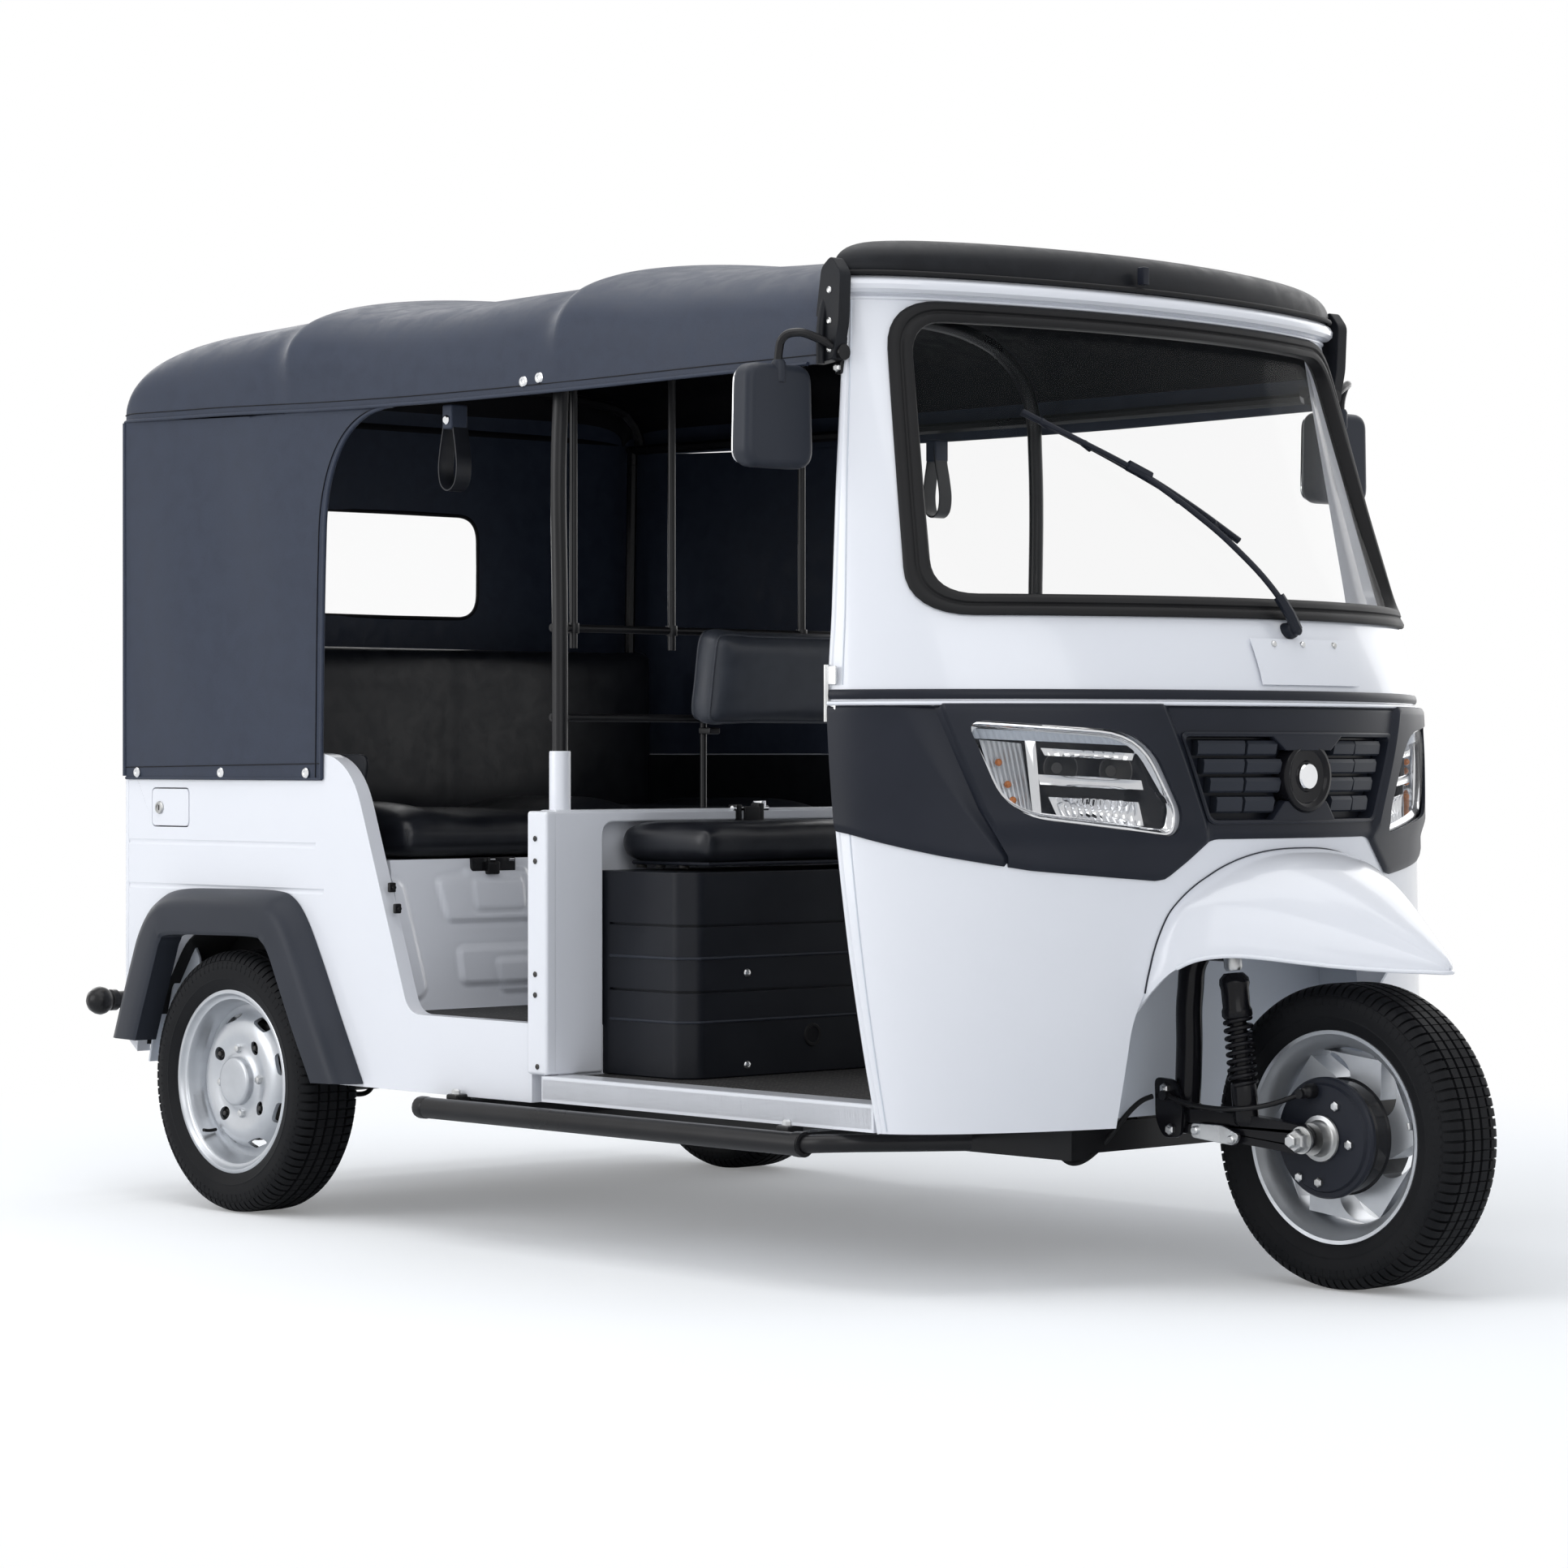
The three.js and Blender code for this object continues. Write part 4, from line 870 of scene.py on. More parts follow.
def mask_relief(s, z):
    """How far the mask stands off the cab."""
    s = abs(s)
    outer, inner, crease = (along_table(table, z) for table in (FACET_OUTER, FACET_INNER, PANEL_CREASE))
    proud = 7.0
    if s > inner:
        proud -= 6.0 * eased((outer - s) / max(outer - inner, 0.01))
    fade = eased((z - 715) / 40)
    proud += 9.0 * fade * eased((inner - s) / 0.012) * (1 - eased((crease + 0.014 - s) / 0.014))
    proud -= 2.5 * (1 - eased((s - crease) / 0.01)) * 0.6
    edge = along_table(MASK_EDGE, s)
    proud -= 4.0 * (1 - eased((z - edge) / 9))
    proud -= 3.0 * (1 - eased((MASK_TOP - z) / 7))
    return proud


def mask_share(u, z):
    """Share of the way round, with columns that run along the crease and the facet's edges."""
    outer, inner, crease = (along_table(table, z) for table in (FACET_OUTER, FACET_INNER, PANEL_CREASE))
    rows = [(0, 0), (0.22, crease), (0.25, crease + 0.014), (0.62, inner - 0.012), (0.65, inner),
            (0.74, outer), (1, 1)]
    return math.copysign(along_table(rows, abs(u)), u)


def make_mask():
    def place(u, v):
        s, z = 2 * u - 1, 850
        for _ in range(4):
            low = along_table(MASK_EDGE, abs(s))
            z = low + (MASK_TOP - low) * v
            s = mask_share(2 * u - 1, z)
        return on_cab(s, z, mask_relief(s, z))
    mask = thicken(sheet_of("front_mask_moulding", place, 200, 44), 6)
    for side in SIDES:
        carve(mask, front_cutter(lamp_rows(side), 1.0))
    carve(mask, front_cutter(GRILLE, 0.5))
    finish(mask, BLACK_PLASTIC, 26, replaces=["front_mask"])


# Each louvre's lower and upper height, and how far round the cab it reaches.
LOUVRES = [(861, 887, 0.235), (831, 857, 0.222), (801, 827, 0.208), (768, 796, 0.193)]


def make_grille():
    back = sheet_of("grille_back", lambda u, v: on_cab(0.55 * u - 0.275, 745 + 158 * v, -18), 40, 12)
    finish(thicken(back, 4), BLACK_PLASTIC, replaces=["grille"])
    wall = ring_on_cab("grille_wall", both_sides([(206, 750, 16), (264, 899, 14)]),
                       both_sides([(199, 758, 12), (254, 890, 10)]),
                       [(0, -18), (0, 9), (0.3, 11), (0.8, 8), (1, -16), (0.5, -19)], 6, 24)
    finish(wall, BLACK_PLASTIC, 40)

    slats = []
    for row, (low, high, far) in enumerate(LOUVRES):
        for side in SIDES:
            near, notch = 0.055 + 0.012 * abs(row - 1.5), 0.14
            for start, end, lift in ((near, notch - 0.004, 0), (notch + 0.001, far, 3)):
                profile = [(low, -16), (low, -2), (low + 3, 2), (high - 8, 5 - lift / 2), (high - 2, 1),
                           (high, -16)]
                slats.append(cab_strip(f"slat_{row}_{side}_{lift}", profile, side * start, side * end, 0, 18))
    slats = join("grille_louvres", slats)
    finish(slats, GREY_PLASTIC_AND_RIB_HIGHLIGHT, 28)

    # Flat plates above and below the boss, each narrower towards it.
    plates = []
    for far, near in (((94, 898), (56, 869)), ((82, 752), (52, 787))):
        def place(u, v, far=far, near=near):
            half, z = near[0] + (far[0] - near[0]) * v, near[1] + (far[1] - near[1]) * v
            return at_front(half * (2 * u - 1), z, 9)
        turned_round = far[1] < near[1]
        plate = sheet_of("plate", (lambda u, v: place(1 - u, v)) if turned_round else place, 30, 6)
        plates.append(round_edges(thicken(plate, 18), 2.5, 2, 40))
    finish(join("grille_frame", plates), BLACK_PLASTIC, 40)

    spot = (1103, 0, 827)
    ring = turned("grille_boss_ring",
                  [(60, -24), (60, 6), (57, 11), (51, 13), (46, 11), (43, 7), (26, 6), (24, 8),
                   (0, 8), (0, -24)], spot, "X", 72)
    finish(ring, GLOSS_BLACK, slot="black_plastic")
    dome = turned("grille_boss", [(0, 7), (21, 7), (22, 9.5), (20, 12.5), (12, 14.5), (0, 15)], spot, "X", 64)
    finish(dome, CHROME)


# ---- headlamps ----
def make_headlamp(side):
    name = SIDE_NAME[side]
    rows = lamp_rows(side)
    middle = Vector(middle_of(rows))

    def domed(label, corners, rings, depth):
        """Rings that shrink from a rounded outline to the middle; depth is read from the edge inward."""
        outline = dense_outline(corners, 6, 10)
        count = len(outline)

        def place(u, v):
            spot = outline[round(u * count) % count].lerp(middle, min(v, 0.999))
            return at_front(spot.x, spot.y, depth(v))
        return thicken(close_up(sheet_of(f"headlamp_{label}_{name}", place, count, rings), 0.6), 2.5)

    lens = domed("lens", rows, 12, lambda v: 7 + 7 * (1 - (1 - v) ** 3))
    finish(lens, CLEAR_LENS, 40, replaces=[f"headlamp_{name}"])

    # Bright bezel inside the lens, and the dark bowl behind it.
    inner = [(y + math.copysign(13, middle.x - y), z + math.copysign(11, middle.y - z), r * 0.7)
             for y, z, r in rows]
    bezel = ring_on_cab(f"headlamp_bezel_{name}", rows, inner,
                        [(0, 2), (0.1, 6), (0.35, 6), (0.5, 2), (0.95, -2), (1, -30), (0.6, -34), (0, -24)],
                        6, 10)
    finish(bezel, CHROME, 40)
    bowl = domed("bowl", inner, 10, lambda v: -30 - 22 * eased(v * 2))
    finish(bowl, GLOSS_BLACK, 40, slot="black_plastic")

    # Two reflectors with a bright bar between them, a light guide above and the turn lamp outboard.
    def patch(label, corners, depth, dish, flutes, material, cells):
        a, b, c, d = (Vector(corner) for corner in corners)

        def place(u, v):
            spot = a.lerp(b, u).lerp(d.lerp(c, u), v)
            hollow = dish * (1 - (2 * u - 1) ** 2) * (1 - (2 * v - 1) ** 2)
            ripple = 1.6 * abs(math.sin(math.pi * flutes * u)) if flutes else 0
            return at_front(side * spot.x, spot.y, depth - hollow + ripple)
        finish(thicken(sheet_of(f"headlamp_{label}_{name}", place, *cells), 1.5), material, 22)

    patch("upper_reflector", [(464, 861), (334, 853), (330, 864), (470, 873)], -10, 3, 9, CHROME, (72, 5))
    patch("bright_bar", [(470, 815), (314, 806), (318, 821), (474, 831)], -9, 5, 0, CHROME, (20, 8))
    patch("lower_reflector", [(440, 757), (306, 748), (316, 786), (456, 795)], -20, 18, 13, CHROME, (104, 12))
    patch("light_guide", [(556, 888), (326, 876), (334, 890), (560, 904)], -4, 1, 26, LIGHT_GUIDE, (104, 5))
    patch("amber_reflector", [(520, 776), (478, 768), (494, 880), (548, 886)], -22, 8, 8, SILVER, (64, 20))
    patch("divider", [(480, 762), (468, 761), (478, 884), (492, 885)], -4, -3, 0, CHROME, (8, 18))
    bulbs = []
    for y, z in ((524, 850), (512, 815), (505, 790)):
        rest_hands()
        bpy.ops.mesh.primitive_uv_sphere_add(segments=16, ring_count=10, radius=6 * MM,
                                             location=at_front(side * y, z, -17) * MM)
        bulbs.append(settle("bulb"))
    finish(join(f"headlamp_amber_bulbs_{name}", bulbs), AMBER, slot="silver_metal")
    projectors = []
    for y, z in ((440, 841), (356, 836)):
        spot = at_front(side * y, z, -40)
        projector = turned("projector",
                           [(0, 0), (9, 0), (11, 3), (17, 7), (24, 15), (27, 22), (28.5, 22), (26, 14),
                            (19, 4), (11, -3), (0, -3)], (0, 0, 0), "Z", 40)
        projector.data.transform(facing(spot, cab_normal(cab_share(side * y, z), z)))
        projectors.append(projector)
    finish(join(f"headlamp_projectors_{name}", projectors), DARK_IRON)


# ---- front end: roof cap, mudguard, wheel well, wiper, mirrors, plate ----
def through(rows, share):
    """Smooth reading of a table's rows, share from 0 at the first to 1 at the last."""
    place = min(max(share, 0), 1) * (len(rows) - 1)
    k = min(int(place), len(rows) - 2)
    t = place - k
    around = rows[max(k - 1, 0)], rows[k], rows[k + 1], rows[min(k + 2, len(rows) - 1)]
    return [(2 * b + (c - a) * t + (2 * a - 5 * b + 4 * c - d) * t * t + (3 * b - a - 3 * c + d) * t ** 3) / 2
            for a, b, c, d in zip(*around)]


CAP_MIDDLE_X = 600
# height, size against the cab's top
CAP_LEVELS = [(CAB_TOP, 1.0), (1641, 1.030), (1648, 1.043), (1660, 1.043), (1676, 1.022), (1690, 0.975),
              (1701, 0.89), (1709, 0.74), (1714, 0.5), (1716, 0.25), (1717, 0.03)]


def make_roof_cap():
    def place(u, v):
        z, size = through(CAP_LEVELS, v)
        edge = on_cab(2 * u - 1, CAB_TOP)
        return CAP_MIDDLE_X + (edge.x - CAP_MIDDLE_X) * size, edge.y * size, z
    cap = thicken(sheet_of("roof_cap_pad", place, 110, 30), 4)
    finish(cap, CANOPY_BLACK, 40, replaces=["roof_cap"])
    piping = tube("roof_cap_piping",
                  [on_cab(k / 20, CAB_TOP, 21) + Vector((0, 0, 3)) for k in range(-20, 21)], 4)
    finish(piping, RUBBER, 50, slot="black_plastic")
    clip = round_edges(box("roof_cap_clip", (790, -60, 1652), (806, -46, 1682)), 2, 2)
    finish(clip, BLACK_PLASTIC)


# x, half width, height of the edge, height of the crown
HOOD_ROWS = [(975, 303, 415, 696), (1005, 300, 448, 704), (1035, 294, 484, 709), (1066, 284, 514, 711),
             (1098, 262, 533, 709), (1133, 232, 540, 703), (1168, 203, 539, 691), (1211, 167, 533, 671),
             (1260, 127, 526, 642), (1310, 86, 521, 606), (1352, 53, 518, 575), (1382, 29, 517, 551),
             (1398, 13, 516, 536), (1403, 2, 516, 526)]


def on_hood(u, v):
    x, half, edge, crown = through(HOOD_ROWS, v)
    angle = math.pi * u
    across = math.copysign(abs(math.cos(angle)) ** 0.8, math.cos(angle))
    crease = max(0.0, 1 - abs(min(u, 1 - u) - 0.17) / 0.11) * (1 - v) ** 0.6
    return Vector((x, (half + 7 * crease) * across, edge + (crown - edge) * math.sin(angle) + 5 * crease))


def make_mudguard():
    hood = thicken(sheet_of("mudguard_hood", on_hood, 90, 70), 5)
    finish(round_edges(hood, 1.5, 2, 50), WHITE_PAINT, 30, replaces=["front_mudguard"])
    rolled = [on_hood(0, v / 24) for v in range(6, 25)] + [on_hood(1, v / 24) for v in range(23, 5, -1)]
    lip = tube("mudguard_edge", [point + Vector((0, 0, 1)) for point in rolled], 3.6)
    finish(lip, WHITE_PAINT, 50)

    seam = []
    for k in range(61):
        low, high = 0.0, 0.9
        for _ in range(20):
            v = (low + high) / 2
            point = on_hood(0.015 + 0.97 * k / 60, v)
            if point.x < at_front(point.y, point.z).x:
                low = v
            else:
                high = v
        seam.append(on_cab(cab_share(point.y, point.z), point.z, 1.0))
    finish(tube("mudguard_seam", seam, 1.5, 2), GREY_PLASTIC_AND_RIB_HIGHLIGHT)


def make_wiper():
    along = at_front
    boss = turned("wiper_boss", [(0, -6), (13, -6), (14, 10), (12, 16), (8, 18), (8, 26), (5, 28), (0, 28)],
                  (0, 0, 0), "Z", 28)
    boss.data.transform(facing(along(0, 1066, 2), cab_normal(0, 1066)))
    arm = tube("wiper_arm",
               [along(0, 1066, 26), along(-20, 1120, 30), along(-72, 1203, 27), along(-130, 1264, 24),
                along(-172, 1300, 22), along(-198, 1323, 20)], 5.2)
    head = tube("wiper_arm_head", [along(0, 1066, 24), along(-9, 1092, 29), along(-20, 1122, 30)], 9.5,
                bent=False)
    ends = [along(-374, 1417, 4), along(-34, 1213, 4)]
    middle_point = along(-200, 1324, 4)
    blade = tube("wiper_blade", [ends[0], along(-290, 1374, 4), middle_point, along(-115, 1272, 4), ends[1]],
                 3.4)
    spine = tube("wiper_spine", [ends[0] + Vector((3, 0, 3)), along(-290, 1374, 13), along(-200, 1324, 18),
                                 along(-115, 1272, 13), ends[1] + Vector((3, 0, 3))], 4.6)
    clamp = bar("wiper_clamp", along(-182, 1316, 18), along(-218, 1335, 18), 9.5, 8)
    claws = [bar("wiper_claw", along(y, z, 3), along(y - 14, z + 8, 10), 6.5, 8)
             for y, z in ((-66, 1236), (-128, 1280), (-268, 1362), (-334, 1398))]
    wiper = join("wiper_assembly", [boss, arm, head, blade, spine, clamp, *claws])
    finish(wiper, BLACK_PLASTIC, replaces=["wiper"])


def make_mirrors():
    for side in SIDES:
        name = SIDE_NAME[side]
        rows = [(630, 1324, 34), (780, 1324, 34), (776, 1492, 30), (634, 1492, 30)]
        outline = rounded([(side * y, z, r) for y, z, r in rows], 8)
        shell = round_edges(prism("mirror_shell", outline, "X", 562, 608), 15, 5, 30)
        socket = turned("mirror_socket", [(0, 0), (11, 0), (12, 4), (12, 30), (9, 36), (0, 36)],
                        (600, side * 706, 1462), "Z", 24)
        housing = join(f"mirror_housing_{name}", [shell, socket])
        finish(housing, GREY_PLASTIC_AND_RIB_HIGHLIGHT, 40, replaces=[f"mirror_{name}"])
        glass_rows = rounded([(side * (y + (6 if y < 700 else -6)), z + (6 if z < 1400 else -6), 26)
                              for y, z, r in rows], 6)
        face = round_edges(prism(f"mirror_glass_{name}", glass_rows, "X", 560.5, 564), 1, 2)
        finish(face, CHROME)
        bend = [(650, 606, 1508), (650, 632, 1520), (642, 664, 1534), (628, 692, 1541), (610, 704, 1534),
                (601, 706, 1512), (600, 706, 1480)]
        arm = tube(f"mirror_arm_{name}", [(x, side * y, z) for x, y, z in bend], 7)
        finish(arm, BLACK_STEEL, slot="black_plastic")
        strap = box("mirror_strap", (634, side * 598, 1478), (650, side * 614, 1540))
        clamp = turned("mirror_clamp", [(0, -12), (13, -12), (14, -8), (14, 8), (13, 12), (0, 12)],
                       (650, side * 618, 1512), "X", 24)
        foot = join(f"mirror_bracket_{name}", [round_edges(strap, 3, 2), clamp])
        finish(foot, BLACK_STEEL, slot="black_plastic")
        nuts = [turned("nut", [(0, 0), (7, 0), (7, 5), (5, 7), (0, 7)], (642, side * 613, z), "Y", 6, side)
                for z in (1488, 1532)]
        finish(join(f"mirror_nuts_{name}", nuts), ZINC)


def make_plate():
    def place(u, v):
        return at_front(-98 + 256 * u, 976 + 76 * v, 7)
    plate = round_edges(thicken(sheet_of("blank_plate", place, 20, 4), 2), 0.7, 2)
    finish(plate, WHITE_PAINT)
    bolts = []
    for y in (-50, 20, 108):
        bolt = turned("bolt", [(0, -4), (5.5, -4), (5.5, 2), (4, 4), (0, 4.4)], (0, 0, 0), "Z", 12)
        bolt.data.transform(facing(at_front(y, 1043, 7), cab_normal(cab_share(y, 1043), 1043)))
        bolts.append(bolt)
    finish(join("blank_plate_bolts", bolts), ZINC)


def make_cab_edges():
    for side in SIDES:
        name = SIDE_NAME[side]
        for label, low, high in (("lower", CAB_FOOT, 936), ("upper", 970, 1606)):
            points = [on_cab(side, low + (high - low) * k / 12, -6) + Vector((2, 0, 0)) for k in range(13)]
            bead = tube(f"cab_edge_bead_{label}_{name}", points, 7.5)
            finish(bead, WHITE_PAINT, 50)
            points = [on_cab(side * 0.955, low + 4 + (high - low - 8) * k / 12, 0.4) for k in range(13)]
            seam = tube(f"cab_edge_seam_{label}_{name}", points, 1.3, 2)
            finish(seam, SHADED_WHITE_PAINT)
        edge = on_cab(side, 955, 0)
        leaves = [round_edges(box("leaf", (edge.x + 1, edge.y, z), (edge.x + 19, edge.y + side * 5, z + 30)),
                              1.5, 2)
                  for z in (917, 974)]
        pin_x, pin_y = edge.x - 3, edge.y + side * 3
        pin = bar("hinge_pin", (pin_x, pin_y, 915), (pin_x, pin_y, 1006), 5, 14)
        finish(join(f"cab_hinge_{name}", [*leaves, pin]), ZINC)


# ---- canopy, curtains and window ----
# x, height of the lower edge, height of the crown, half width
CANOPY_LINE = [(-1345, 1512, 1522, 642), (-1343, 1512, 1566, 647), (-1335, 1513, 1612, 650),
               (-1312, 1514, 1654, 653), (-1270, 1513, 1686, 655), (-1180, 1511, 1704, 656),
               (-1020, 1508, 1713, 657), (-850, 1503, 1719, 657), (-700, 1498, 1719, 657),
               (-400, 1492, 1714, 657), (-90, 1490, 1719, 657), (90, 1490, 1720, 657), (350, 1492, 1711, 652),
               (500, 1493, 1706, 646), (632, 1494, 1701, 640)]
BOWS = (-790, -10)


def on_canopy(u, v, inside=0.0):
    """u runs from the right edge over the crown to the left edge, v from the rear to the front."""
    x, edge, crown, half = through(CANOPY_LINE, v)
    angle = math.pi * u
    side, up = math.copysign(abs(math.cos(angle)) ** 0.76, math.cos(angle)), math.sin(angle) ** 0.43
    bulge = 0.0
    for bow in BOWS:
        reach = (x - bow) / (24 if x < bow else 150)
        bulge += 23 * math.exp(-abs(reach) ** 1.6) * eased((up - 0.08) / 0.7)
        bulge -= 5 * math.exp(-((x - bow + 62) / 34) ** 2) * eased((up - 0.08) / 0.7)
    sag = 5 * math.sin(9 * up + 0.011 * x) * math.sin(0.0105 * x + 2 * side)
    sag *= eased(up * 2) * (1 - eased(3 * up - 2))
    out = bulge + sag * 0.5 - inside
    return Vector((x + (inside * 0.6 if v < 0.05 else 0), -(half + out * (1 - up ** 6)) * side,
                   edge + (crown - edge) * up + out * up ** 3))


def make_canopy():
    cloth = thicken(sheet_of("canopy_cloth", lambda u, v: on_canopy(1 - u, v), 84, 190), 2.5)
    finish(cloth, CANOPY_VINYL, 60, replaces=["canopy"])
    lining = sheet_of("canopy_lining", lambda u, v: on_canopy(0.985 - 0.97 * u, 0.006 + 0.988 * v, 9), 60,
                      120)
    thicken(lining, 1.5)
    finish(lining, LINING_AND_HOLE_SHADE, 60)
    trims = []
    for side in SIDES:
        name = SIDE_NAME[side]
        u = 0 if side > 0 else 1
        low = [on_canopy(1 - u, k / 90) for k in range(4, 90, 2)]
        hem = tube(f"canopy_hem_{name}", [point + Vector((0, side * 1.5, 1.5)) for point in low], 3.4)
        finish(hem, CANOPY_VINYL, 60)
        stitched = [on_canopy(1 - u, k / 90) + Vector((0, side * 0.8, 15)) for k in range(2, 91)]
        stitch = tube(f"canopy_stitch_{name}", stitched, 0.9, 1)
        finish(stitch, LINING_AND_HOLE_SHADE, 60)
        trims += [hem, stitch]
        snaps = []
        for x, z in ((-105, 1512), (-62, 1516)):
            snap = turned("snap", [(0, -3), (9.5, -3), (10, 0), (8.5, 2.4), (5, 2.6), (4.4, 1.4), (2.6, 1.6),
                                   (0, 2.6)],
                          (x, side * 658, z), "Y", 24, side)
            snaps.append(snap)
        finish(join(f"canopy_snaps_{name}", snaps), CHROME)

    front = [on_canopy(1 - k / 60, 1, -1.5) + Vector((-2, 0, 0)) for k in range(61)]
    binding = tube("canopy_front_binding", front, 7)
    finish(binding, CANOPY_BLACK, 60)
    for side in SIDES:
        flap_points = [(600, 1494), (655, 1500), (668, 1560), (672, 1640), (650, 1668), (626, 1650),
                       (612, 1560)]
        outline = rounded([(x, z, 9) for x, z in flap_points], 3)
        flap = prism(f"canopy_lacing_flap_{SIDE_NAME[side]}", outline, "Y", side * 612, side * 637)
        finish(round_edges(flap, 5, 3, 30), CANOPY_BLACK, 40)
        eyes = [turned("eyelet", [(0, -2), (5.5, -2), (5.5, 1), (4, 2.2), (2.6, 1), (0, 1)],
                       (646, side * 637, z), "Y", 20, side) for z in (1516, 1562, 1612)]
        finish(join(f"canopy_eyelets_{SIDE_NAME[side]}", eyes), ZINC)


CURTAIN_REAR, CURTAIN_FOOT, CURTAIN_HEAD = -1333, 818, 1516
# x and height along the open edge of the side curtain, from its foot to its head
CURTAIN_EDGE = [(-697, CURTAIN_FOOT), (-694, 950), (-690, 1120), (-686, 1240), (-682, 1310), (-670, 1362),
                (-650, 1405), (-622, 1441), (-585, 1469), (-540, 1487), (-480, 1496)]


def make_curtains():
    for side in SIDES:
        name = SIDE_NAME[side]

        def place(u, v, proud=0.0):
            """u from the rear corner to the open edge, v from the foot up."""
            x_edge, z_edge = through(CURTAIN_EDGE, v)
            head = CURTAIN_HEAD - 22 * u
            if v < 1:
                z = CURTAIN_FOOT + (CURTAIN_HEAD - CURTAIN_FOOT) * v * (1 - u) + (z_edge - CURTAIN_FOOT) * u
            elif u > 0.999:
                z = min(z_edge, head)
            else:
                z = z_edge * u + head * (1 - u)
            x = CURTAIN_REAR + (x_edge - CURTAIN_REAR) * u
            wave = 2.6 * math.sin(0.019 * x + 0.004 * z) * math.sin(math.pi * v)
            wave += 1.8 * math.sin(0.006 * z + 0.009 * x)
            return x, side * (654.5 + wave * 0.8 + proud), z

        cloth = close_up(thicken(sheet_of(f"curtain_cloth_{name}", place, 60, 70), 2.5, side))
        finish(cloth, CANOPY_VINYL, 60, replaces=[f"curtain_{name}"])
        edge = [Vector(place(1, k / 30)) + Vector((0, side * 0.5, 0)) for k in range(31)]
        piping = tube(f"curtain_piping_{name}", edge, 4)
        foot = tube(f"curtain_foot_{name}", [Vector(place(k / 20, 0.0)) for k in range(21)], 3)
        seam = tube(f"curtain_seam_{name}", [Vector(place(k / 20, 0.03, 1)) for k in range(21)], 0.9, 1)
        run_up = [Vector(place(0.972, k / 30, 1)) for k in range(31)]
        inner = tube(f"curtain_edge_seam_{name}", run_up, 0.9, 1)
        for trim, look in ((piping, CANOPY_VINYL), (foot, CANOPY_VINYL), (seam, LINING_AND_HOLE_SHADE), (inner, LINING_AND_HOLE_SHADE)):
            finish(trim, look, 60)
        snaps = [turned("snap", [(0, -2), (9.5, -2), (10, 1), (8, 3), (4, 3), (3.4, 2), (0, 2.4)],
                        (x, side * 656, 829), "Y", 24, side) for x in (-1292, -1012, -742)]
        finish(join(f"curtain_snaps_{name}", snaps), CHROME)


WINDOW = both_sides([(232, 1148, 55), (232, 1364, 55)])


def make_rear_curtain():
    def place(u, v):
        y, z = 648 - 1296 * u, 868 + 664 * v
        return -1339 - 2.5 * math.sin(0.011 * y + 1) * math.sin(math.pi * v), y, z
    cloth = thicken(sheet_of("rear_curtain_cloth", place, 70, 44), 2.5)
    carve(cloth, prism("cutter", rounded(WINDOW, 8), "X", -1400, -1300))
    finish(cloth, CANOPY_VINYL, 60, replaces=["rear_curtain"])
    ring = [(-1340, point.x, point.y) for point in rounded(WINDOW, 8)]
    frame_piece = tube("rear_window_piping", ring, 4.5, closed=True, steps=2)
    finish(frame_piece, LINING_AND_HOLE_SHADE, 60)
    pane_rows = rounded([(y * 1.01, z, 55) for y, z, r in WINDOW], 8)
    pane = prism("rear_window_pane", pane_rows, "X", -1341, -1339)
    finish(pane, FILM_WINDOW, replaces=["rear_window"])
    for side in SIDES:
        corner = tube(f"rear_corner_piping_{SIDE_NAME[side]}",
                      [(-1339, side * 652, z) for z in (822, 1000, 1300, 1512)], 5)
        finish(corner, CANOPY_VINYL, 60)
    snaps = [turned("snap", [(0, 0), (9.5, 0), (10, 2), (8, 4), (4, 4), (3.4, 3), (0, 3.4)], (-1343, y, 884),
                    "X", 24, -1)
             for y in (-600, -300, 0, 300, 600)]
    finish(join("rear_curtain_snaps", snaps), CHROME)


# ---- rear body ----
def dress(material, *nodes):
    """Gives CAD solids that stay in view their finish."""
    for node in nodes:
        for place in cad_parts[node].material_slots:
            place.material = material


BODY_SIDE = 650
DOOR_EDGE = [(-1329, 306, 6), (-1262, 257, 10), (-91, 257, 3), (-91, 395, 2), (-440, 396, 34),
             (-618, 866, 100), (-1329, 866, 5)]
ARCH_ROWS = [(-1300, 200, 0), (-1300, 318, 30), (-1150, 526, 60), (-866, 530, 42), (-784, 486, 42),
             (-660, 200, 0)]
LID_X, LID_Z = (-1250, -1124), (724, 800)
# matching points of the flare's outer and inner edges, in x and z
FLARE_OUTER = [(-1349, 312), (-1316, 394), (-1282, 476), (-1252, 538), (-1205, 584), (-1140, 602),
               (-990, 606), (-840, 606), (-786, 594), (-745, 556), (-700, 484), (-640, 376), (-575, 262)]
FLARE_INNER = [(-1238, 312), (-1215, 370), (-1192, 424), (-1172, 472), (-1156, 506), (-1128, 521),
               (-990, 525), (-854, 526), (-824, 518), (-800, 494), (-768, 436), (-722, 352), (-668, 262)]
# share from the outer to the inner edge, stand off the panel
FLARE_SECTION = [(0.0, 0.5), (0.02, 7), (0.08, 17), (0.18, 31), (0.30, 42), (0.44, 47), (0.74, 49.5),
                 (0.95, 50), (1.0, 47), (1.0, 0.5)]


def lid_rows(inset=0.0, radius=12):
    """Corners of the charging lid's opening, drawn in by inset."""
    (x0, x1), (z0, z1) = LID_X, LID_Z
    return [(x0 + inset, z0 + inset, radius), (x1 - inset, z0 + inset, radius),
            (x1 - inset, z1 - inset, radius), (x0 + inset, z1 - inset, radius)]


